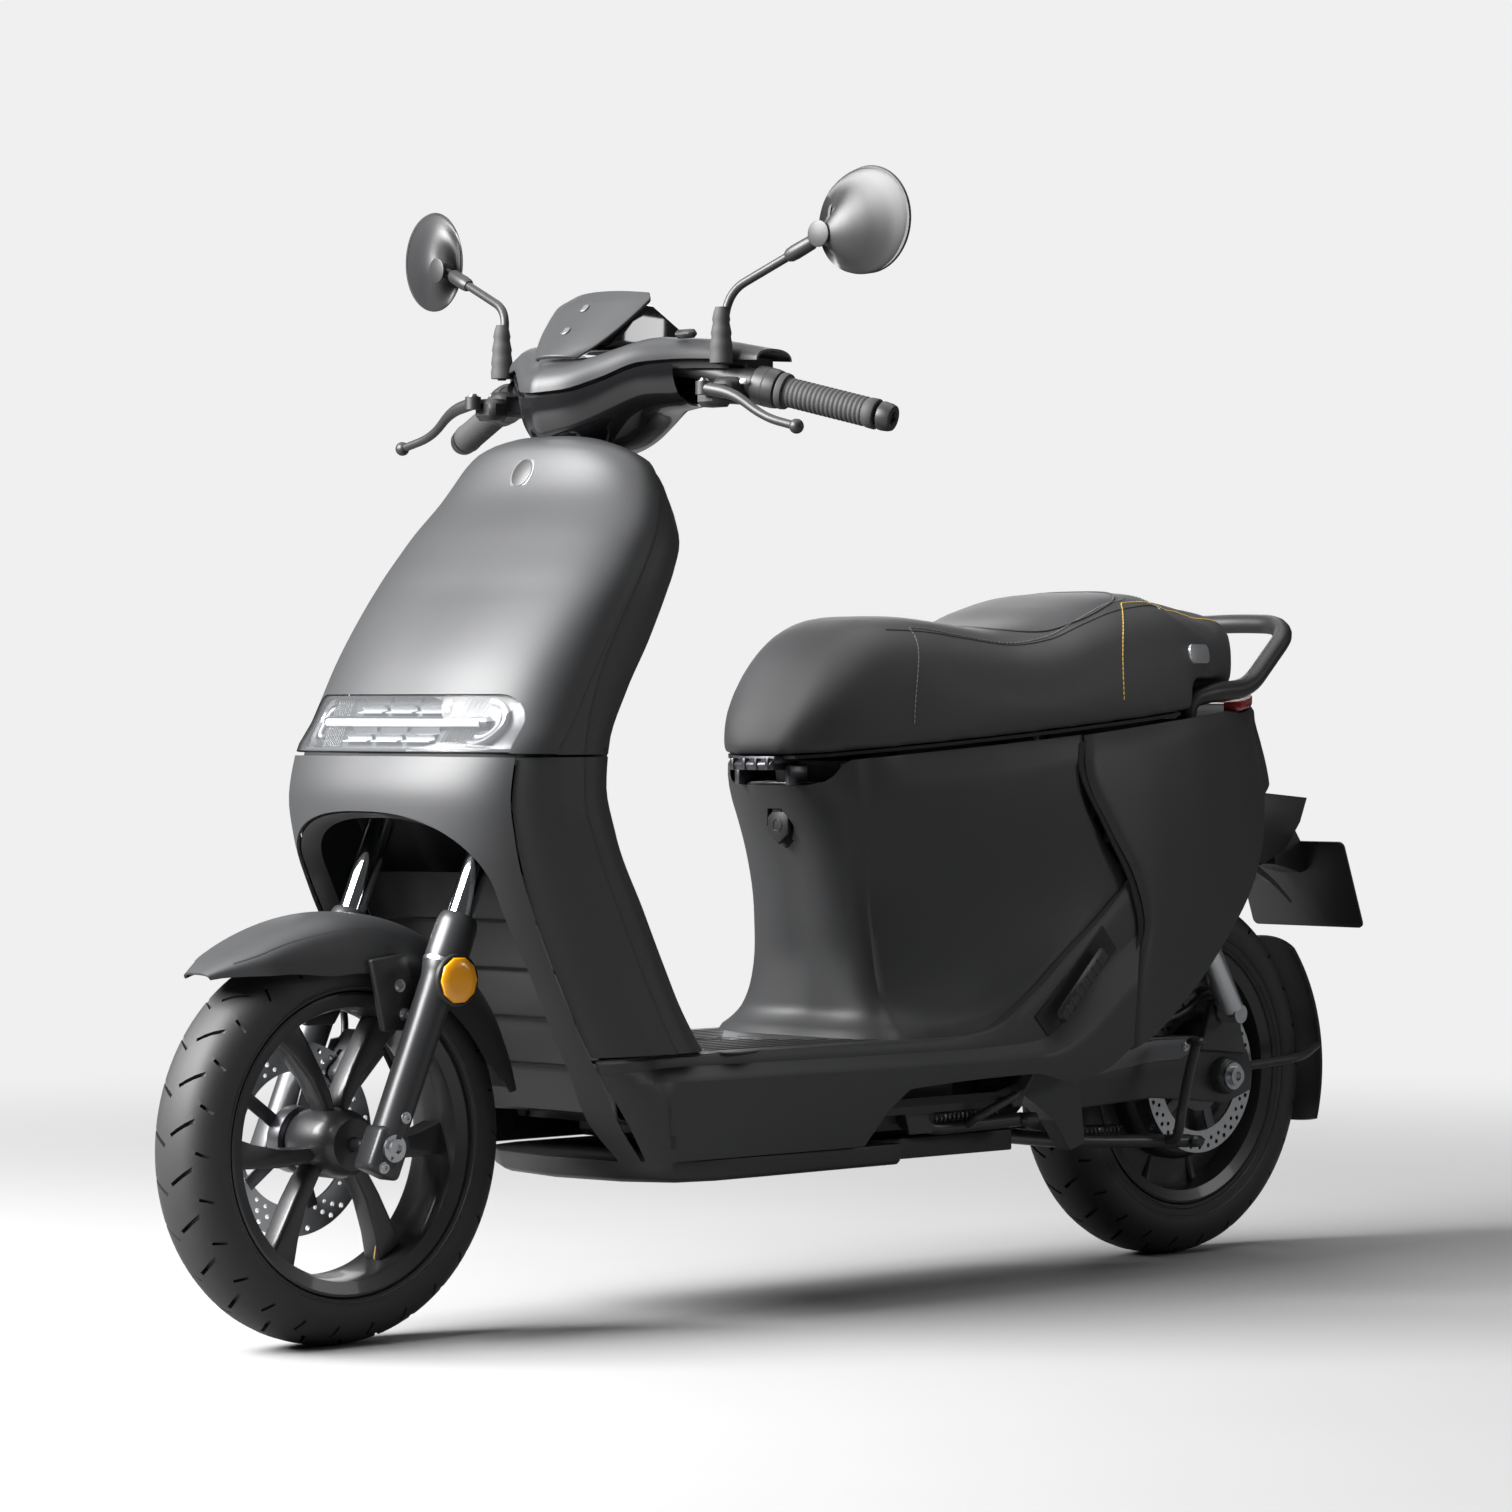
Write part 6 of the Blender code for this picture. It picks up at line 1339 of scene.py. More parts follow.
def build_tyre(axle, radius, half, name, body):
    tyre = wheel_turned(list(reversed(tyre_section(radius, half))), axle, 144)
    cutters = []
    for k in range(26):
        a = 2 * pi * k / 26
        spin = Matrix.Translation(axle) @ Matrix.Rotation(a, 4, "X")
        for side in (1, -1):
            turn = Matrix.Rotation(side * radians(32), 4, "Z")
            cut = block((0, 0, 0), (0.046, 0.0044, 0.011), 0.0)
            cut.matrix_world = spin @ Matrix.Translation((side * half * 0.52, 0.006 * side,
                                                          radius - 0.0035)) @ turn @ cut.matrix_world
            cutters.append(cut)
            edge = block((0, 0, 0), (0.016, 0.0036, 0.011), 0.0)
            edge.matrix_world = (spin @ Matrix.Rotation(pi / 26, 4, "X") @ Matrix.Translation((side * half * 0.88, 0,
                    radius - 0.016)) @ Matrix.Rotation(side * radians(38), 4, "Y") @ Matrix.Rotation(side
                    * radians(-24), 4, "Z") @ edge.matrix_world)
            cutters.append(edge)
    tool = joined(cutters)
    piece = combine("tyre", [tyre, tool], "DIFFERENCE")
    keep(piece, name + "_skin", body, TYRE_SKIN, [name], angle=30)
    marks = []
    for side in (1, -1):
        for k in range(36):
            a = 2 * pi * k / 36
            spin = Matrix.Translation(axle) @ Matrix.Rotation(a, 4, "X")
            tri = plate([(-0.0042, -0.002), (0.0042, -0.002), (0.0, 0.0026)], 0.0012, Matrix.Identity(4))
            tri.matrix_world = (spin @ Matrix.Translation((side * (half * 0.985 - 0.0009), 0, radius - 0.0335
                                                           - 0.0004)) @ Matrix.Rotation(side * pi / 2, 4, "Y")
                                @ Matrix.Rotation(pi / 2, 4, "Z") @ tri.matrix_world)
            marks.append(tri)
        for r, wide in ((radius - 0.0475, 0.0008), (RIM_LIP + 0.0062, 0.0006)):
            marks.append(wheel_turned([(r - wide, side * (half * 0.955)), (r, side * (half * 0.955 + 0.0011)),
                                       (r + wide, side * (half * 0.955))], axle, 96))
    keep(joined(marks), name + "_marks", body, TYRE_MARK)


def build_wheel_skins():
    build_tyre(FRONT_AXLE, FRONT_RADIUS, 0.046, "front_tyre", "front_wheel")
    build_tyre(REAR_AXLE, REAR_RADIUS, 0.05, "rear_tyre", "rear_wheel")
    hoop = [(RIM_LIP, 0.0408), (RIM_LIP - 0.0006, 0.0382), (RIM_LIP - 0.0022, 0.0368), (0.16, 0.0358),
            (0.1578, 0.034), (0.1578, -0.034), (0.16, -0.0358), (RIM_LIP - 0.0022, -0.0368),
            (RIM_LIP - 0.0006, -0.0382), (RIM_LIP, -0.0408), (RIM_LIP - 0.003, -0.0416), (0.152, -0.0372),
            (0.149, -0.03), (0.1482, -0.012), (0.1482, 0.012), (0.149, 0.03), (0.152, 0.0372),
            (RIM_LIP - 0.003, 0.0416)]
    rim = wheel_turned(list(reversed(hoop)), FRONT_AXLE, 144)
    hub = wheel_turned([(0.029, -0.0435), (0.0345, -0.036), (0.038, -0.026), (0.0395, -0.014), (0.0395, 0.014),
                        (0.038, 0.026), (0.0345, 0.036), (0.029, 0.0435), (0.018, 0.044), (0.0083, 0.043),
                        (0.0083, -0.043)], FRONT_AXLE, 64)
    spokes = []
    for k in range(3):
        turn = radians(90 + 120 * k)
        for split in (-1, 1):
            outline = []
            for a_deg, r in ((3.0, 0.034), (24.0, 0.034), (27.5, 0.078), (32.5, 0.118), (36.0, 0.15), (22.0, 0.15),
                             (19.5, 0.12), (14.5, 0.085), (8.5, 0.058)):
                a = turn + split * radians(a_deg)
                outline.append((FRONT_AXLE.y + r * cos(a), FRONT_AXLE.z + r * sin(a)))
            if split < 0:
                outline.reverse()
            spokes.append(rounded(side_plate(outline, 0.0, 0.03), 0.0045, 3))
    keep(combine("rim", [rim, hub] + spokes), "front_rim_skin", "front_wheel", WHEEL_SKIN, ["front_rim"], angle=30)
    holes = []
    for k in range(36):
        for row, (r, size) in enumerate(((0.103, 0.0032), (0.0935, 0.003), (0.084, 0.0026))):
            a = 2 * pi * (k + row * 0.5) / 36
            y = FRONT_AXLE.y + r * cos(a)
            z = FRONT_AXLE.z + r * sin(a)
            if (k + row) % 3 != 2:
                holes.append(pin((-0.072, y, z), (-0.055, y, z), size, 10))
    rotor = wheel_turned([(0.11, -0.0653), (0.11, -0.0617), (0.076, -0.0617), (0.076, -0.0653)], FRONT_AXLE, 120)
    keep(combine("disc", [rotor, joined(holes)], "DIFFERENCE"), "front_disc_ring", "front_wheel", STEEL_SKIN,
         ["front_disc"], angle=30)
    arms = []
    for k in range(5):
        a = 2 * pi * k / 5
        arms.append(block(FRONT_AXLE + Vector((-0.063, 0.056 * cos(a), 0.056 * sin(a))), (0.003, 0.052, 0.016),
                          0.0006, Matrix.Rotation(a, 4, "X")))
    centre = wheel_turned([(0.038, -0.0645), (0.038, -0.0445), (0.02, -0.0445), (0.02, -0.0655)], FRONT_AXLE, 64)
    keep(joined([centre] + arms), "front_disc_carrier", "front_wheel", DARK_STEEL, bevel=0.0005)
    rivets = [bolt(FRONT_AXLE + Vector((-0.0648, 0.028 * cos(a), 0.028 * sin(a))), (-1, 0, 0), 0.0042, 0.004, 6,
                   False) for a in [2 * pi * (k + 0.5) / 5 for k in range(5)]]
    keep(joined(rivets), "front_disc_bolts", "front_wheel", STEEL_SKIN)
    stem = tube([(0.004, FRONT_AXLE.y + 0.063, FRONT_AXLE.z - 0.134), (0.01, FRONT_AXLE.y + 0.06, FRONT_AXLE.z
            - 0.118)], 0.003, 12, 1)
    keep(stem, "front_valve", "front_wheel", BRASS)

    wide_hoop = [(r, x * 1.08) for r, x in hoop]
    rim = wheel_turned(list(reversed(wide_hoop)), REAR_AXLE, 144)
    motor = wheel_turned([(0.102, -0.048), (0.108, -0.045), (0.112, -0.039), (0.112, 0.03), (0.108, 0.037),
                          (0.103, 0.0412), (0.08, 0.044), (0.077, 0.047), (0.045, 0.05), (0.045, 0.058),
                          (0.01, 0.058), (0.01, -0.06), (0.045, -0.06), (0.045, -0.052), (0.078, -0.05)], REAR_AXLE,
                         120)
    spokes = []
    for k in range(10):
        a = 2 * pi * k / 10
        at = REAR_AXLE + Vector((0.001, 0.13 * cos(a), 0.13 * sin(a)))
        spokes.append(block(at, (0.03, 0.044, 0.0115), 0.003, Matrix.Rotation(a, 4, "X")))
    web = wheel_turned([(0.149, -0.008), (0.149, 0.01), (0.111, 0.014), (0.111, -0.012)], REAR_AXLE, 120)
    keep(combine("rim", [rim, motor, web] + spokes), "rear_rim_skin", "rear_wheel", WHEEL_SKIN, ["rear_rim"],
         angle=30)
    studs = []
    for k in range(12):
        a = 2 * pi * (k + 0.5) / 12
        for side, x in ((1, 0.04), (-1, -0.048)):
            studs.append(bolt(REAR_AXLE + Vector((x, 0.0945 * cos(a), 0.0945 * sin(a))), (side, 0, 0), 0.0036, 0.0042,
                              6))
    keep(joined(studs), "motor_cover_bolts", "rear_wheel", STEEL_SKIN)
    holes = []
    for k in range(36):
        for row, (r, size) in enumerate(((0.095, 0.003), (0.0865, 0.0027))):
            a = 2 * pi * (k + row * 0.5) / 36
            holes.append(pin((0.055, REAR_Y + r * cos(a), REAR_RADIUS + r * sin(a)), (0.075, REAR_Y + r * cos(a),
                    REAR_RADIUS + r * sin(a)), size, 10))
    rotor = wheel_turned([(0.102, 0.0627), (0.102, 0.0663), (0.074, 0.0663), (0.074, 0.0627)], REAR_AXLE, 120)
    keep(combine("disc", [rotor, joined(holes)], "DIFFERENCE"), "rear_disc_ring", "rear_wheel", STEEL_SKIN,
         ["rear_disc"], angle=30)
    arms = []
    for k in range(5):
        a = 2 * pi * k / 5
        arms.append(block(REAR_AXLE + Vector((0.0645, 0.06 * cos(a), 0.06 * sin(a))), (0.003, 0.044, 0.015), 0.0006,
                          Matrix.Rotation(a, 4, "X")))
    centre = wheel_turned([(0.048, 0.0625), (0.048, 0.066), (0.02, 0.0665), (0.02, 0.0585), (0.04, 0.0585),
                           (0.04, 0.0625)], REAR_AXLE, 64)
    keep(joined([centre] + arms), "rear_disc_carrier", "rear_wheel", DARK_STEEL, bevel=0.0005)


# ---- front end ----
def fender_point(a, k, lift=0.0):
    """A point on the front fender: a runs round the wheel and k across it."""
    turn = degrees(a)
    crown = along(((12, 0.243), (40, 0.25), (90, 0.254), (120, 0.2585), (134, 0.268)), turn)
    side = along(((12, 0.225), (30, 0.195), (60, 0.188), (100, 0.192), (120, 0.222), (134, 0.262)), turn)
    half = along(((12, 0.05), (40, 0.061), (90, 0.063), (120, 0.056), (134, 0.02)), turn)
    radius = side + (crown - side) * cos(k) ** 0.55 + lift
    return (half * power(sin(k), 0.75), FRONT_Y + radius * cos(a), FRONT_RADIUS + radius * sin(a))


def build_fork_skins():
    def stanchion():
        return pin(steer_point(FORK_X, 0, 0.16), steer_point(FORK_X, 0, 0.44), STANCHION_R, 40)

    keep(joined(list(both(stanchion))), "fork_stanchions", "steering", CHROME_SKIN, ["fork_upper"])
    stem = pin(steer_point(0, 0, 0.42), steer_point(0, 0, 0.905), 0.016, 32)
    yoke = loft([[steer_point(x, v, s) for x, v in ((0.118, -0.016), (0.118, 0.016), (0.06, 0.03), (-0.06, 0.03),
                                                   (-0.118, 0.016), (-0.118, -0.016), (-0.06, -0.03),
                                                   (0.06, -0.03))] for s in (0.41, 0.438)])
    keep(joined([stem, yoke]), "fork_yoke", "steering", FRAME_SKIN, bevel=0.002)
    frame_of = Matrix.Rotation(-RAKE, 4, "X")
    axis = steer_point(0, 0, 1.0) - steer_point(0, 0, 0.0)

    def leg():
        profile = [(0.015, -0.024), (0.0195, -0.02), (0.02, 0.0), (0.0205, 0.14), (0.0208, 0.196), (0.0222, 0.204),
                   (0.024, 0.212), (0.0242, 0.236), (0.0235, 0.262), (0.0215, 0.2705), (0.0195, 0.2735),
                   (STANCHION_R + 0.0008, 0.274), (STANCHION_R + 0.0008, 0.2), (STANCHION_R + 0.0008, 0.06),
                   (0.0, 0.06), (0.0, -0.024)]
        return turned_on(profile, steer_point(FORK_X, 0, 0.0), axis, 48)

    left, right = both(leg)
    keep(joined([left, right]), "fork_legs", "fork_slider", FORK_SKIN, ["fork_lower"], angle=30)

    def clamp():
        return rounded(block(steer_point(FORK_X, 0, -0.006), (0.034, 0.046, 0.052), 0.0, frame_of), 0.007, 3)

    left, right = both(clamp)
    axle = pin((-0.09, FRONT_Y, FRONT_RADIUS), (0.09, FRONT_Y, FRONT_RADIUS), 0.0075, 24)
    keep(joined([left, right, axle]), "fork_axle_clamps", "fork_slider", FORK_SKIN)
    rings = both(lambda: turned_on([(0.0246, 0.214), (0.025, 0.2165), (0.0246, 0.219)], steer_point(FORK_X, 0, 0.0),
                                   axis, 48, True))
    keep(joined(list(rings)), "fork_collar_rings", "fork_slider", STEEL_SKIN)
    tips = []
    for side in (1, -1):
        tips.append(bolt((side * 0.112, FRONT_Y, FRONT_RADIUS), (side, 0, 0), 0.0105, 0.0075, 6))
        tips.append(bolt(Vector(steer_point(side * FORK_X, 0, -0.022)) + Vector((side * 0.017, -0.006, 0)),
                         (side, 0, 0), 0.0045, 0.005, 6))
        tips.append(bolt(Vector(steer_point(side * FORK_X, 0, 0.036)) + Vector((side * 0.02, 0, 0)), (side, 0, 0),
                         0.0045, 0.004, 6))
    keep(joined(tips), "fork_bolts", "fork_slider", STEEL_SKIN)
    for side, tag in ((1, "left"), (-1, "right")):
        middle = steer_point(side * (FORK_X + 0.0222), 0.004, 0.2)
        cup = turned_on([(0.0, 0.0), (0.0292, 0.0), (0.0292, 0.005), (0.0272, 0.0062), (0.0272, 0.004), (0.0, 0.004)],
                        middle, (side, 0, 0), 40)
        keep(cup, "reflector_cup_" + tag, "fork_slider", MOULD, ["reflector_" + tag])
        face = turned_on([(0.0, 0.0042), (0.0262, 0.0042), (0.0262, 0.0075), (0.0245, 0.0092), (0.015, 0.01),
                          (0.0, 0.0102)], middle, (side, 0, 0), 10)
        keep(face, "reflector_lens_" + tag, "fork_slider", AMBER_CLEAR, smooth=False)

    rows = [[fender_point(a, k) for k in spread(-pi / 2, pi / 2, 41)]
            for a in spread(radians(134), radians(12), 60)]
    keep(sheet(rows, 0.0026, 1.0), "front_fender_skin", "fork_slider", PANEL, ["front_fender"], angle=45)
    lines = []
    for share in (-0.5, 0.5):
        path = [fender_point(a, share * pi * 0.62, 0.0022) for a in spread(radians(128), radians(16), 50)]
        lines.append(tube(path, 0.0016, 8, 1))
    keep(joined(lines), "front_fender_ribs", "fork_slider", PANEL)
    tabs = both(lambda: side_plate([(-0.69, 0.43), (-0.64, 0.435), (-0.615, 0.372), (-0.63, 0.35), (-0.672, 0.35)],
                                   0.0685, 0.009))
    keep(joined(list(tabs)), "front_fender_tabs", "fork_slider", MOULD, bevel=0.003,
         segments=3)
    screws = []
    for side in (1, -1):
        for y, z in ((-0.65, 0.4), (-0.643, 0.368)):
            screws.append(bolt((side * 0.073, y, z), (side, 0, 0), 0.005, 0.0045, 6))
    keep(joined(screws), "front_fender_screws", "fork_slider", STEEL_SKIN)

    body = block((-0.066, FRONT_Y + 0.082, FRONT_RADIUS + 0.082), (0.046, 0.042, 0.072), 0.0,
                 Matrix.Rotation(radians(-45), 4, "X"))
    bracket = side_plate([(-0.652, 0.256), (-0.618, 0.262), (-0.586, 0.3), (-0.6, 0.335), (-0.64, 0.33)], -0.084,
                         0.006)
    slot = pin((-0.0672, FRONT_Y, FRONT_RADIUS), (-0.0592, FRONT_Y, FRONT_RADIUS), 0.1185, 60)
    leg = pin(steer_point(-FORK_X, 0, -0.05), steer_point(-FORK_X, 0, 0.3), 0.024, 40)
    keep(combine("caliper", [combine("caliper", [rounded(body, 0.0085, 4), bracket]), slot, leg], "DIFFERENCE"),
         "front_caliper_skin", "fork_slider", GREY_PLATE, ["front_caliper"])
    screws = [bolt((-0.089, FRONT_Y + 0.082 + s * 0.02, FRONT_RADIUS + 0.082 - s * 0.02), (-1, 0, 0), 0.005, 0.005, 6)
              for s in (0.5, 1.35)]
    keep(joined(screws), "front_caliper_bolts", "fork_slider", BRASS)
    hose = tube([(-0.088, -0.6, 0.318), (-0.103, -0.585, 0.352), (-0.108, -0.592, 0.4), (-0.108, -0.605, 0.44)],
                0.0042, 16, 8)
    keep(hose, "front_caliper_hose", "fork_slider", HOSE)


# ---- handlebar and cowl ----
def build_bar_skins():
    bar_dir = (GRIP_END - GRIP_START).normalized()
    inner = GRIP_START - bar_dir * 0.118
    half = [GRIP_END + bar_dir * 0.003, inner, Vector((0.07, -0.305, 1.101)), Vector((0.0, -0.32, 1.09))]
    path = half + [Vector((-p.x, p.y, p.z)) for p in reversed(half[:-1])]
    bar = tube(bent(path, 0.03, 8), BAR_R, 24, 1)
    clamp = pin(steer_point(0, 0, 0.9054), steer_point(0, 0, 0.943), 0.021, 32)
    keep(joined([bar, clamp]), "handlebar_skin", "steering", MOULD, ["handlebar"])
    for side, tag in ((1, "left"), (-1, "right")):
        axis = sided(bar_dir, side)
        end = sided(GRIP_END, side)
        cap = turned_on([(0.0, 0.001), (0.0165, 0.001), (0.0168, 0.004), (0.016, 0.012), (0.0146, 0.0158),
                         (0.008, 0.016), (0.007, 0.012), (0.0, 0.012)], end, axis, 40)
        keep(cap, "bar_end_" + tag, "steering", MOULD)
        body = "steering" if side > 0 else "throttle"
        profile = [(GRIP_R - 0.003, 0.0004), (GRIP_R + 0.0045, 0.0004), (GRIP_R + 0.0048, 0.004),
                   (GRIP_R + 0.004, 0.0078), (GRIP_R + 0.0004, 0.009)]
        s = 0.0125
        while s < 0.11:
            profile += [(GRIP_R - 0.0004, s), (GRIP_R + 0.0006, s + 0.0012), (GRIP_R + 0.0006, s + 0.0034),
                        (GRIP_R - 0.0004, s + 0.0046)]
            s += 0.0058
        profile += [(GRIP_R + 0.001, 0.115), (GRIP_R + 0.0012, 0.1235), (GRIP_R, 0.1248), (GRIP_R - 0.004, 0.1248)]
        grip = turned_on(profile, bar_point(0.0, side), axis, 56)
        node = "grip_left" if side > 0 else "throttle_grip"
        keep(grip, node + "_skin", body, RUBBER_SKIN, [node], angle=50)

        start = bar_point(-0.0335, side)
        pod = turned_on([(0.0, 0.0), (0.0185, 0.0), (0.0222, 0.0035), (0.0228, 0.01), (0.0228, 0.025),
                         (0.0218, 0.031), (0.019, 0.0326), (0.0, 0.0326)], start, axis, 48)
        perch = block(bar_point(-0.052, side) + Vector((0, -0.01, -0.012)), (0.03, 0.052, 0.03), 0.006)
        reservoir = block(bar_point(-0.056, side) + Vector((side * 0.002, -0.04, -0.02)), (0.036, 0.03, 0.026), 0.006)
        clamp = pin(bar_point(-0.066, side), bar_point(-0.03, side), 0.0172, 32)
        keep(joined([pod, perch, reservoir, clamp]), "control_%s_skin" % tag, "steering", MOULD, ["control_" + tag],
             angle=40)
        ring = turned_on([(0.023, 0.0165), (0.0224, 0.0172), (0.023, 0.0179)], start, axis, 48, True)
        keep(ring, "control_%s_seam" % tag, "steering", LINING_AND_SHADE)
        pivot = lever_pivot(side)
        points = [pivot, pivot + Vector((side * 0.045, 0.004, -0.008)), Vector((side * 0.29, -0.298, 1.033)),
                  Vector((side * 0.343, -0.3, 1.021))]
        blade = tube(bent(points, 0.04, 8), 0.0062, 20, 1, ((0.0, 1.25), (0.25, 1.05), (0.6, 0.85), (1.0, 0.8)))
        tip = ball(points[-1], 0.0085)
        knob = pin(pivot + Vector((0, 0, -0.0075)), pivot + Vector((0, 0, 0.0075)), 0.0095, 32)
        keep(joined([blade, tip, knob]), "brake_lever_%s_skin" % tag, "lever_" + tag, MOULD, ["brake_lever_" + tag])
        screw = bolt(pivot + Vector((0, 0, 0.0075)), (0, 0, 1), 0.0045, 0.0035, 6)
        keep(screw, "lever_screw_" + tag, "lever_" + tag, STEEL_SKIN)
    left = block(bar_point(-0.016, 1) + Vector((-0.01, -0.0314, 0.006)), (0.011, 0.005, 0.0062), 0.002)
    keep(left, "indicator_switch_skin", "left_button", SWITCH, ["indicator_switch"])
    right = block(bar_point(-0.016, -1) + Vector((0.01, -0.0314, 0.006)), (0.009, 0.005, 0.009), 0.002)
    keep(right, "power_button_skin", "right_button", SWITCH, ["power_button"])


def build_cowl_skins():
    def crown(x):
        return along(((0.0, 0.043), (0.07, 0.04), (0.12, 0.028), (0.17, 0.022), (0.22, 0.014)), abs(x))

    def belly(x):
        return -along(((0.0, 0.072), (0.05, 0.066), (0.09, 0.052), (0.115, 0.05), (0.138, 0.048)), abs(x))

    xs = [-0.222, -0.2215, -0.219] + spread(-0.21, 0.21, 57) + [0.219, 0.2215, 0.222]
    top = sheet([cowl_row(x, crown(x) * (1.0 if abs(x) < 0.2185 else 0.985), 0.0, pi, 41, 0.0, 0.0056) for x in xs],
                0.0028, 1.0)
    sockets = both(lambda: pin((0.191, -0.272, 1.075), (0.191, -0.272, 1.15), 0.01, 32))
    keep(combine("cowl_top", [evaluated(top)] + sockets, "DIFFERENCE"), "cowl_top_skin", "steering", PANEL,
         ["cowl_top"], angle=50)
    xs = [-0.138, -0.1375, -0.135] + spread(-0.13, 0.13, 41) + [0.135, 0.1375, 0.138]
    low = evaluated(sheet([cowl_row(x, belly(x) * (1.0 if abs(x) < 0.1345 else 0.985), 0.0, pi, 41) for x in xs],
                          0.0028, -1.0))
    throat = pin(steer_point(0, 0, 0.82), steer_point(0, 0, 0.93), 0.02, 40)
    keep(combine("cowl_lower", [low, throat], "DIFFERENCE"), "cowl_lower_skin", "steering", GLOSS, ["cowl_lower"],
         angle=50)
    # Painted shade: a dark band inside the line between the cowl's two shells fills that joint with shade.
    shade_sheet = []
    stations = spread(-0.205, 0.205, 42)
    for dz in (-0.005, 0.0085):
        row = [(x, cowl_line(x)[0] + 0.01, cowl_line(x)[2] + dz) for x in stations]
        row += [(x, cowl_line(x)[1] - 0.01, cowl_line(x)[2] + dz) for x in reversed(stations)]
        shade_sheet.append(row)
    keep(sheet(shade_sheet, 0.0012, 1.0, closed=True), "cowl_joint_painted_shade", "steering", LINING_AND_SHADE)
    rows = []
    for u in spread(0.0, 1.0, 36):
        w = along(((0.0, 0.036), (0.2, 0.054), (0.5, 0.07), (0.85, 0.079), (1.0, 0.066)), u)
        y = -0.37 + 0.086 * u
        z = 1.109 + 0.082 * u - 0.012 * max(0.0, u - 0.8)
        rows.append([(w * k, y + 0.016 * abs(k) ** 2.5, z + 0.004 * (1 - k * k)) for k in spread(-1, 1, 41)])
    keep(sheet(rows, 0.005, -1.0), "cowl_face_skin", "steering", PANEL, ["cowl_face"], bevel=0.0018, segments=3)
    up = Vector((0, 0.086, 0.082)).normalized()
    out = Vector((0, -up.z, up.y))
    marks = []
    for u, size in ((0.36, 0.0062), (0.7, 0.0062)):
        centre = Vector((0.0, -0.37 + 0.086 * u, 1.109 + 0.082 * u + 0.004)) + out * 0.0002
        marks.append(turned_on([(0.0, 0.0), (size, 0.0), (size, 0.0012), (size - 0.001, 0.0018),
                                (size - 0.0016, 0.0009), (0.0, 0.0009)], centre, out, 32))
    keep(joined(marks), "cowl_face_buttons", "steering", GREY_PLATE)
    pod = side_plate([(-0.328, 1.122), (-0.268, 1.1745), (-0.252, 1.174), (-0.2, 1.143), (-0.204, 1.122)], 0.0, 0.112)
    keep(pod, "dash_display_skin", "steering", DISPLAY, ["dash_display"], bevel=0.004, segments=4)
    up = Vector((0, -0.052, 0.031)).normalized()
    out = Vector((0, 0.031, 0.052)).normalized()
    centre = Vector((0, -0.2255, 1.159)) + out * 0.0006
    frame_of = lying_along(up)
    screen = plate(rounded_outline((-0.043, -0.018), (0.043, 0.018), 0.008, 8), 0.0016, Matrix.Translation(centre)
                   @ frame_of)
    keep(screen, "dash_screen", "steering", GLOSS, bevel=0.0004)
    bars = []
    for k in range(7):
        bars.append(plate(rounded_outline((-0.03 + 0.009 * k, -0.004), (-0.0245 + 0.009 * k, 0.006 + 0.0008 * k),
                                          0.0008, 3), 0.0006, Matrix.Translation(centre + out * 0.001) @ frame_of))
    keep(joined(bars), "dash_bars", "steering", SWITCH)
    thumb = block((0.147, -0.286, 1.135), (0.03, 0.014, 0.01), 0.004)
    keep(thumb, "thumb_tab", "steering", MOULD)


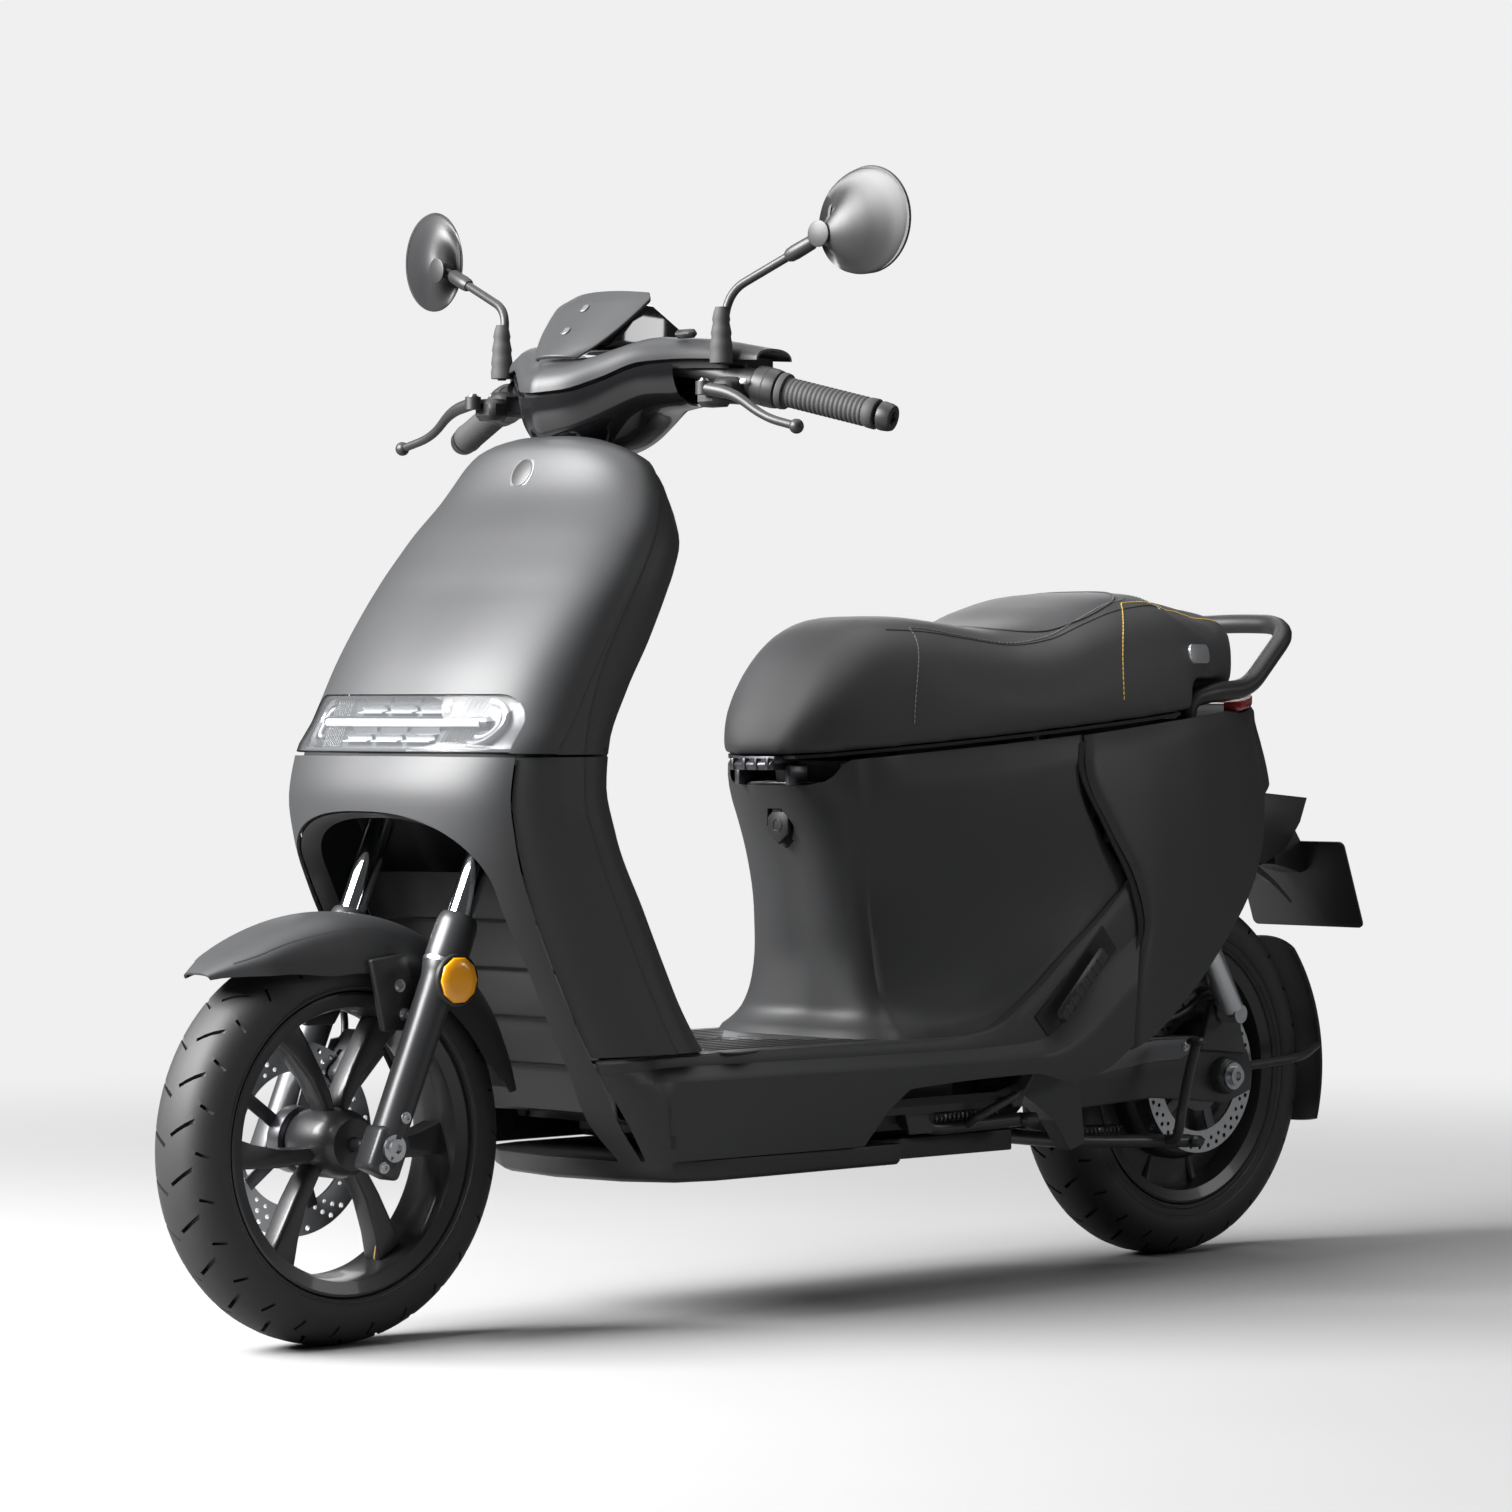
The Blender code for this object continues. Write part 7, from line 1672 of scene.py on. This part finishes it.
def build_mirrors():
    for side, tag in ((1, "left"), (-1, "right")):
        foot = Vector((side * 0.191, -0.272, 1.128))
        knee = Vector((side * 0.194, -0.262, 1.182))
        hub = Vector((side * 0.325, -0.243, 1.237))
        stem = tube(bent([foot + Vector((0, 0, -0.03)), foot, knee, hub], 0.03, 10), 0.0052, 20, 1)
        direction = (hub - knee).normalized()
        sleeve = turned_on([(0.0, 0.0), (0.0064, 0.0), (0.0082, 0.004), (0.0088, 0.012), (0.0084, 0.036),
                            (0.0068, 0.04), (0.0, 0.04)], hub - direction * 0.052, direction, 32)
        steps = [(0.0, -0.028), (0.013, -0.028), (0.0132, -0.02), (0.0122, -0.014), (0.013, -0.01), (0.0122, -0.004),
                 (0.0112, 0.002), (0.012, 0.006), (0.0108, 0.012), (0.0096, 0.018), (0.0104, 0.022), (0.0088, 0.03),
                 (0.0068, 0.036), (0.0, 0.036)]
        boot = turned_on(steps, foot, (0, 0, 1), 40)
        keep(joined([stem, sleeve]), "mirror_arm_%s_skin" % tag, "arm_" + tag, MOULD, ["mirror_arm_" + tag])
        keep(boot, "mirror_boot_" + tag, "arm_" + tag, RUBBER_SKIN, angle=50)
        centre = Vector((side * 0.378, -0.221, 1.254))
        facing = Vector((-side * 0.1, 0.99, 0.02)).normalized()
        across = facing.cross(Vector((0, 0, 1))).normalized()
        upward = across.cross(facing)
        rings = []
        start = hub + direction * 0.004
        sizes = ((0.0, 0.0085), (0.12, 0.016), (0.3, 0.031), (0.52, 0.046), (0.75, 0.0565), (0.92, 0.06),
                 (1.0, 0.059))
        for u in [0.0, 0.03, 0.06, 0.1, 0.15, 0.22, 0.3, 0.4, 0.52, 0.64, 0.75, 0.84, 0.92, 0.97, 1.0]:
            radius = along(sizes, u)
            middle = start.lerp(centre, u)
            lean = min(1.0, u * 1.6)
            ring = []
            for k in range(64):
                a = 2 * pi * k / 64
                flat = across * cos(a) + upward * sin(a)
                early = direction.cross(Vector((0, 0, 1))).normalized() * cos(a)
                tilted = (flat * lean + (early + Vector((0, 0, 1)) * sin(a)) * (1 - lean))
                ring.append(middle + tilted * radius)
            rings.append(ring)
        shell = loft(rings)
        shell.modifiers.new("relax", "SMOOTH").iterations = 3
        keep(evaluated(shell), "mirror_shell_" + tag, "mirror_" + tag, MOULD, ["mirror_head_" + tag], angle=50)
        rim = turned_on([(0.0592, -0.0016), (0.0604, 0.0006), (0.059, 0.0022), (0.056, 0.0016), (0.056, -0.0016)],
                        centre, facing, 72, True)
        keep(rim, "mirror_rim_" + tag, "mirror_" + tag, MOULD)
        pane = turned_on([(0.0, 0.0002), (0.0562, 0.0002), (0.0562, 0.001), (0.0, 0.0014)], centre, facing, 72)
        keep(pane, "mirror_pane_" + tag, "mirror_" + tag, MIRROR_GLASS)
        disc = turned_on([(0.0, 0.0), (0.015, 0.0), (0.015, 0.0016), (0.0135, 0.0022), (0.0, 0.0022)], hub + direction
                         * 0.006 - facing * 0.012, -facing, 40)
        keep(disc, "mirror_pivot_" + tag, "mirror_" + tag, MOULD)


# ---- rear end ----
def build_rear_skins():
    def plate_cover():
        outline = [(0.345, 0.217), (0.332, 0.249), (0.4, 0.271), (0.48, 0.283), (0.56, 0.291), (0.64, 0.289),
                   (0.7, 0.28), (0.742, 0.267), (0.752, 0.24), (0.75, 0.214), (0.7, 0.199), (0.63, 0.207),
                   (0.56, 0.213), (0.43, 0.207)]
        return side_plate(outline, 0.096, 0.018)

    left, right = both(plate_cover)
    bosses = both(lambda: turned_on([(0.0, 0.0), (0.024, 0.0), (0.024, 0.036), (0.021, 0.0425), (0.0, 0.043)],
                                    (0.079, REAR_Y, REAR_RADIUS), (1, 0, 0), 48))
    clevises = both(lambda: side_plate([(0.645, 0.27), (0.735, 0.262), (0.722, 0.3), (0.708, 0.334), (0.668, 0.334),
                                        (0.655, 0.3)], 0.1055, 0.01))
    pivot = pin((-0.1235, SWING_PIVOT.y, SWING_PIVOT.z), (0.1235, SWING_PIVOT.y, SWING_PIVOT.z), 0.018, 40)
    bridge = pin((-0.095, 0.4, 0.24), (0.095, 0.4, 0.24), 0.014, 24)
    axle = pin((-0.09, REAR_Y, REAR_RADIUS), (0.09, REAR_Y, REAR_RADIUS), 0.0092, 24)
    keep(joined([left, right] + list(bosses) + list(clevises) + [pivot, bridge, axle]), "swingarm_skin", "swingarm",
         FRAME_SKIN, ["swingarm"], bevel=0.0025, segments=3, angle=35)
    covers = both(lambda: side_plate([(0.395, 0.246), (0.412, 0.266), (0.48, 0.2785), (0.56, 0.287), (0.622, 0.286),
                                      (0.64, 0.274), (0.61, 0.26), (0.54, 0.258), (0.45, 0.247)], 0.1062, 0.0036))
    keep(joined(list(covers)), "swingarm_covers", "swingarm", GREY_PLATE, bevel=0.0012, segments=3)
    holes = []
    for side in (1, -1):
        holes.append(bolt((side * 0.1216, REAR_Y, REAR_RADIUS), (side, 0, 0), 0.012, 0.01, 6))
        holes.append(bolt((side * 0.1085, 0.688, 0.318), (side, 0, 0), 0.0085, 0.016, 6))
        holes.append(bolt((side * 0.1078, 0.415, 0.256), (side, 0, 0), 0.0042, 0.003, 6))
        holes.append(bolt((side * 0.1078, 0.618, 0.276), (side, 0, 0), 0.0042, 0.003, 6))
    keep(joined(holes), "swingarm_bolts", "swingarm", STEEL_SKIN)
    body = block((0.07, REAR_Y + 0.03, REAR_RADIUS + 0.085), (0.03, 0.07, 0.04), 0.0, Matrix.Rotation(radians(-20), 4,
            "X"))
    lug = side_plate([(0.7, 0.34), (0.745, 0.332), (0.745, 0.26), (0.712, 0.26)], 0.088, 0.006)
    keep(joined([rounded(body, 0.008, 4), lug]), "rear_caliper_skin", "swingarm", GREY_PLATE)
    banjo = pin((0.087, 0.734, 0.324), (0.099, 0.734, 0.324), 0.0062, 6)
    keep(banjo, "rear_banjo", "swingarm", BRASS, bevel=0.0005)
    hose = tube([(0.095, 0.734, 0.324), (0.099, 0.715, 0.342), (0.1, 0.665, 0.34), (0.1, 0.61, 0.316),
                 (0.1, 0.52, 0.299), (0.099, 0.43, 0.285), (0.096, 0.39, 0.27)], 0.0042, 16, 8)
    keep(hose, "rear_brake_hose", "swingarm", HOSE)

    rows = []
    for a in spread(radians(-17), radians(40), 36):
        rows.append([(x, REAR_Y + (0.265 - 4.8 * x * x) * cos(a), REAR_RADIUS + (0.265 - 4.8 * x * x) * sin(a))
                     for x in spread(-0.068, 0.068, 25)])
    flap = evaluated(sheet(rows, 0.0035, 1.0))
    stay = both(lambda: tube(bent([(0.096, 0.753, 0.244), (0.096, 0.86, 0.25), (0.062, 0.932, 0.262)], 0.03, 8),
                             0.006, 16, 1))
    keep(joined([flap] + list(stay)), "mudflap_skin", "swingarm", MOULD, ["mudflap"], angle=45)
    line = (SHOCK_TOP - SHOCK_FOOT).normalized()
    for side, tag in ((1, "left"), (-1, "right")):
        top = sided(SHOCK_TOP, side)
        foot = sided(SHOCK_FOOT, side)
        up = sided(line, side)
        eye = pin(top - Vector((0.0145, 0, 0)), top + Vector((0.0145, 0, 0)), 0.012, 32)
        shaft = pin(top - up * 0.006, top - up * 0.193, 0.008, 24)
        cover = turned_on([(0.0, 0.0), (0.0185, 0.0), (0.0195, 0.003), (0.0195, 0.056), (0.0175, 0.06), (0.0, 0.06)],
                          top - up * 0.086, up, 40)
        keep(joined([eye, shaft, cover]), "shock_rod_%s_skin" % tag, "shock_upper_" + tag, MOULD,
             ["shock_rod_" + tag])
        lower = pin(foot - Vector((0.0145, 0, 0)), foot + Vector((0.0145, 0, 0)), 0.012, 32)
        barrel = turned_on([(0.0, 0.006), (0.015, 0.006), (0.0165, 0.01), (0.0165, 0.118), (0.019, 0.119),
                            (0.019, 0.1245), (0.016, 0.125), (0.0088, 0.125), (0.0088, 0.022), (0.0, 0.022)], foot,
                           up, 48)
        keep(joined([lower, barrel]), "shock_body_%s_skin" % tag, "shock_lower_" + tag, ALLOY, ["shock_body_" + tag])
        coil = spring(foot + up * 0.1275, foot + up * 0.193, 0.0228, 0.0026, 7)
        keep(coil, "shock_spring_" + tag, "shock_upper_" + tag, DARK_STEEL)


def build_stand_skins():
    pivot = CENTRE_STAND
    legs = both(lambda: tube(bent([(0.112, pivot.y, pivot.z), (0.112, 0.44, 0.166), (0.128, 0.602, 0.158)], 0.03, 8),
                             0.0085, 20, 1))
    cross = pin((-0.118, pivot.y, pivot.z), (0.118, pivot.y, pivot.z), 0.01, 24)
    brace = pin((-0.11, 0.455, 0.165), (0.11, 0.455, 0.165), 0.006, 16)
    feet = both(lambda: block((0.129, 0.606, 0.1575), (0.03, 0.022, 0.014), 0.004))
    keep(joined([cross, brace] + list(legs) + list(feet)), "centre_stand_skin", "centre_stand", FRAME_SKIN,
         ["centre_stand"])
    tang = tube([(0.122, 0.56, 0.161), (0.146, 0.558, 0.166), (0.156, 0.556, 0.196), (0.158, 0.566, 0.24),
                 (0.16, 0.58, 0.284)], 0.0065, 20, 8)
    pad = block((0.16, 0.5795, 0.287), (0.026, 0.014, 0.008), 0.003, Matrix.Rotation(radians(20), 4, "X"))
    keep(joined([tang, pad]), "centre_stand_lever", "centre_stand", FRAME_SKIN)
    hubs = [bolt((side * 0.118, pivot.y, pivot.z), (side, 0, 0), 0.0075, 0.007, 6) for side in (1, -1)]
    keep(joined(hubs), "centre_stand_bolts", "centre_stand", STEEL_SKIN)
    keep(spring((0.1, 0.385, 0.18), (0.1, 0.5, 0.176), 0.0062, 0.0015, 16), "centre_stand_spring", "centre_stand",
         DARK_STEEL)
    pivot = SIDE_STAND
    hub = pin(pivot - Vector((0.0085, 0, 0)), pivot + Vector((0.0108, 0, 0)), 0.012, 32)
    bar = tube(bent([pivot, (0.13, 0.135, 0.2), (0.154, 0.265, 0.206)], 0.03, 8), 0.0085, 20, 1)
    foot = block((0.156, 0.272, 0.2055), (0.024, 0.03, 0.016), 0.005)
    tang = tube(bent([(0.14, 0.18, 0.202), (0.169, 0.178, 0.216), (0.174, 0.235, 0.238)], 0.02, 6), 0.0055, 16, 1)
    keep(joined([bar, hub, foot, tang]), "side_stand_skin", "side_stand", FRAME_SKIN, ["side_stand"])
    keep(bolt(pivot + Vector((0.0108, 0, 0)), (1, 0, 0), 0.0075, 0.0065, 6), "side_stand_bolt", "side_stand",
         STEEL_SKIN)
    keep(spring((0.146, 0.12, 0.215), (0.152, 0.225, 0.22), 0.0055, 0.0014, 15), "side_stand_spring", "side_stand",
         DARK_STEEL)
    low = Vector((0.1945, 0.29, 0.328))
    high = Vector((0.1945, 0.372, 0.409))
    for side, tag in ((1, "left"), (-1, "right")):
        start = sided(low, side)
        stop = sided(high, side)
        direction = (stop - start).normalized()
        frame_of = lying_along(direction)
        peg = block((start + stop) / 2, (0.01, (stop - start).length, 0.02), 0.0045, frame_of)
        keep(peg, "footrest_%s_skin" % tag, "peg_" + tag, MOULD, ["footrest_" + tag])
        ribs = []
        for k in range(7):
            at = start.lerp(stop, 0.14 + 0.115 * k) + Vector((side * 0.0048, 0, 0))
            ribs.append(block(at, (0.002, 0.0042, 0.015), 0.0006, frame_of))
        keep(joined(ribs), "footrest_ribs_" + tag, "peg_" + tag, RUBBER_SKIN)


def build_tail_end():
    half = [(0.12, 0.6, 0.6295), (0.127, 0.6, 0.718), (0.132, 0.64, 0.727), (0.128, 0.715, 0.732),
            (0.108, 0.812, 0.802), (0.07, 0.837, 0.8165), (0.0, 0.842, 0.8185)]
    path = half + [(-x, y, z) for x, y, z in reversed(half[:-1])]
    keep(tube(bent(path, 0.03, 8), 0.0125, 28, 1), "grab_rail_skin", "chassis", MOULD, ["grab_rail"])
    rows = []
    for a in spread(radians(52), radians(122), 36):
        radius = 0.312
        y = REAR_Y + radius * cos(a)
        z = REAR_RADIUS + radius * sin(a)
        rows.append([(x, y - 0.02 * (x / 0.07) ** 2 * cos(a), z - 0.03 * (x / 0.07) ** 2) for x in spread(-0.07, 0.07,
                25)])
    guard = evaluated(sheet(rows, 0.003, 1.0))
    wedge = side_plate([(0.78, 0.56), (0.85, 0.596), (0.944, 0.588), (0.93, 0.556), (0.9, 0.52), (0.85, 0.5)], 0.0,
                       0.07)
    arm = side_plate([(0.885, 0.56), (0.925, 0.56), (0.955, 0.52), (0.962, 0.492), (0.948, 0.488), (0.895, 0.5)], 0.0,
                     0.042)
    keep(joined([guard, wedge, arm]), "plate_holder_skin", "chassis", MOULD, ["plate_holder"], bevel=0.003,
         segments=3, angle=40)
    tilt = Matrix.Rotation(radians(20.4), 4, "X")
    upright = Matrix.Translation((0, 0.9672, 0.472)) @ tilt @ Matrix.Rotation(pi / 2, 4, "X")
    board = plate(rounded_outline((-0.095, -0.06), (0.095, 0.062), 0.008, 8), 0.0026, upright)
    keep(board, "number_plate_board", "chassis", MOULD, bevel=0.0006)
    blank = plate(rounded_outline((-0.0885, -0.0535), (0.0885, 0.0555), 0.006, 8), 0.0012,
                  Matrix.Translation((0, 0.0018, 0.0006)) @ upright)
    keep(blank, "number_plate_blank", "chassis", SILVER_BADGE, bevel=0.0003)
    screws = []
    normal = Vector((0, cos(radians(20.4)), sin(radians(20.4))))
    for x in (-0.06, 0.06):
        at = upright @ Vector((x, 0.04, 0)) + normal * 0.0022
        screws.append(bolt(at, normal, 0.0042, 0.0032, 6))
    keep(joined(screws), "number_plate_bolts", "chassis", STEEL_SKIN)
    lamp = block((0, 0.939, 0.574), (0.05, 0.014, 0.018), 0.004)
    keep(lamp, "rear_reflector", "chassis", RED_CLEAR)


def build_front_badge():
    """Blank oval badge high on the front panel."""
    z = 0.963
    centre = Vector(nose_point(z, pi / 2))
    above = Vector(nose_point(z + 0.015, pi / 2))
    below = Vector(nose_point(z - 0.015, pi / 2))
    up = (above - below).normalized()
    out = Vector((0, -up.z, up.y)).normalized()
    frame_of = lying_along(up)
    shape = [(0.0185 * cos(a), 0.0215 * sin(a)) for a in [2 * pi * k / 48 for k in range(48)]]
    keep(plate(shape, 0.005, Matrix.Translation(centre + out * 0.0012) @ frame_of), "front_badge_rim", "chassis",
         GREY_PLATE, bevel=0.0012, segments=3)
    inner = [(x * 0.84, z_at * 0.8) for x, z_at in shape]
    keep(plate(inner, 0.002, Matrix.Translation(centre + out * 0.0034) @ frame_of), "front_badge_field", "chassis",
         MOULD, bevel=0.0005)


def dress_cad():
    """Looks and softened edges for the CAD pieces that stay in view."""
    for node, look_used, width in (("frame", FRAME_SKIN, 0.001), ("battery_pack", GREY_PLATE, 0.003),
                                   ("storage_bin", MOULD, 0.0015)):
        obj = frame["nodes"][node]
        for index in range(len(obj.material_slots)):
            obj.material_slots[index].link = "OBJECT"
            obj.material_slots[index].material = look_used
        edge = obj.modifiers.new("edge", "BEVEL")
        edge.width = width
        edge.segments = 2
        edge.limit_method = "ANGLE"


# ---- studio ----
WORLD_SEEN = 0.87
WORLD_FILL = 0.05
FLOOR_SEEN = (0.295, 0.305)
FLOOR_BOUNCE = 0.22
FLOOR_FADE = (1.0, 4.0)
FLOOR_RADIUS = 60.0
CAMERA_PLACE = (4.4, -4.2704, 0.707)
CAMERA_AZIMUTH = radians(46.346)
CAMERA_TILT = radians(0.542)
CAMERA_LENS = 120.7
# name, place, aimed at, size, watts
LAMPS = (("front_softbox", (-1.2, -3.5, 2.8), (0.0, -0.5, 0.8), (3.2, 2.2), 900.0),
         ("top_softbox", (0.0, 0.6, 5.4), (0.0, 0.4, 0.0), (6.0, 5.0), 230.0),
         ("side_softbox", (4.6, 4.2, 2.2), (0.0, 0.2, 0.5), (1.6, 1.2), 40.0),
         ("back_softbox", (-5.0, 4.6, 3.4), (0.0, 0.4, 0.5), (3.0, 2.6), 90.0))


def grey(value):
    return (value, value, value, 1.0)


def build_floor_look():
    """Pale floor that fades into the background with distance."""
    floor_look, nodes, links, shader = tree_of("studio_floor")
    place = nodes.new("ShaderNodeTexCoord")
    noise = nodes.new("ShaderNodeTexNoise")
    noise.inputs["Scale"].default_value = 3.0
    links.new(place.outputs["Object"], noise.inputs["Vector"])
    tint = nodes.new("ShaderNodeMix")
    tint.data_type = "RGBA"
    tint.inputs[6].default_value = grey(FLOOR_SEEN[0])
    tint.inputs[7].default_value = grey(FLOOR_SEEN[1])
    links.new(noise.outputs["Fac"], tint.inputs[0])
    path = nodes.new("ShaderNodeLightPath")
    seen = nodes.new("ShaderNodeMix")
    seen.data_type = "RGBA"
    seen.inputs[6].default_value = grey(FLOOR_BOUNCE)
    links.new(path.outputs["Is Camera Ray"], seen.inputs[0])
    links.new(tint.outputs[2], seen.inputs[7])
    links.new(seen.outputs[2], shader.inputs["Base Color"])
    shader.inputs["Roughness"].default_value = 0.9
    shader.inputs["Specular IOR Level"].default_value = 0.1
    reach = nodes.new("ShaderNodeVectorMath")
    reach.operation = "LENGTH"
    links.new(place.outputs["Object"], reach.inputs[0])
    far = nodes.new("ShaderNodeMapRange")
    far.interpolation_type = "SMOOTHSTEP"
    far.inputs["From Min"].default_value = FLOOR_FADE[0]
    far.inputs["From Max"].default_value = FLOOR_FADE[1]
    links.new(reach.outputs["Value"], far.inputs["Value"])
    faded = nodes.new("ShaderNodeMath")
    faded.operation = "MULTIPLY"
    links.new(far.outputs["Result"], faded.inputs[0])
    links.new(path.outputs["Is Camera Ray"], faded.inputs[1])
    pale = nodes.new("ShaderNodeEmission")
    pale.inputs["Color"].default_value = grey(1.0)
    pale.inputs["Strength"].default_value = WORLD_SEEN
    fade = nodes.new("ShaderNodeMixShader")
    links.new(faded.outputs["Value"], fade.inputs[0])
    links.new(shader.outputs[0], fade.inputs[1])
    links.new(pale.outputs[0], fade.inputs[2])
    links.new(fade.outputs[0], nodes["Material Output"].inputs["Surface"])
    return floor_look


def build_stage():
    bm = bmesh.new()
    bmesh.ops.create_circle(bm, cap_ends=True, segments=96, radius=FLOOR_RADIUS)
    mesh = bpy.data.meshes.new("studio_floor")
    bm.to_mesh(mesh)
    bm.free()
    floor = bpy.data.objects.new("studio_floor", mesh)
    bpy.context.scene.collection.objects.link(floor)
    floor.data.materials.append(build_floor_look())

    world = bpy.data.worlds.new("studio")
    bpy.context.scene.world = world
    world.use_nodes = True
    nodes = world.node_tree.nodes
    links = world.node_tree.links
    backdrop = nodes["Background"]
    backdrop.inputs["Color"].default_value = grey(1.0)
    backdrop.inputs["Strength"].default_value = WORLD_SEEN
    fill = nodes.new("ShaderNodeBackground")
    fill.inputs["Color"].default_value = (0.96, 0.98, 1.0, 1.0)
    fill.inputs["Strength"].default_value = WORLD_FILL
    path = nodes.new("ShaderNodeLightPath")
    blend = nodes.new("ShaderNodeMixShader")
    links.new(path.outputs["Is Camera Ray"], blend.inputs[0])
    links.new(fill.outputs[0], blend.inputs[1])
    links.new(backdrop.outputs[0], blend.inputs[2])
    links.new(blend.outputs[0], nodes["World Output"].inputs["Surface"])

    for name, place_at, target, size, power_w in LAMPS:
        lamp = bpy.data.lights.new(name, "AREA")
        lamp.shape = "RECTANGLE"
        lamp.size = size[0]
        lamp.size_y = size[1]
        lamp.energy = power_w
        obj = bpy.data.objects.new(name, lamp)
        bpy.context.scene.collection.objects.link(obj)
        obj.location = place_at
        obj.rotation_euler = (Vector(target) - Vector(place_at)).to_track_quat("-Z", "Y").to_euler()

    camera_data = bpy.data.cameras.new("camera")
    camera_data.lens = CAMERA_LENS
    camera_data.sensor_width = 36.0
    camera_data.clip_end = 200.0
    camera = bpy.data.objects.new("camera", camera_data)
    bpy.context.scene.collection.objects.link(camera)
    camera.location = CAMERA_PLACE
    level = cos(CAMERA_TILT)
    forward = Vector((-sin(CAMERA_AZIMUTH) * level, cos(CAMERA_AZIMUTH) * level, -sin(CAMERA_TILT)))
    camera.rotation_euler = forward.to_track_quat("-Z", "Y").to_euler()
    bpy.context.scene.camera = camera
    bpy.context.scene.view_settings.view_transform = "Standard"


build_apron()
build_headlight()
build_front_badge()
build_floor()
build_body()
seat_skin = build_seat()
build_seams(seat_skin)
build_seat_base()
build_wheel_skins()
build_fork_skins()
build_bar_skins()
build_cowl_skins()
build_mirrors()
build_rear_skins()
build_stand_skins()
build_tail_end()
dress_cad()
build_stage()
for leftover in list(TOOLS.objects):
    bpy.data.objects.remove(leftover, do_unlink=True)
bpy.data.collections.remove(TOOLS)
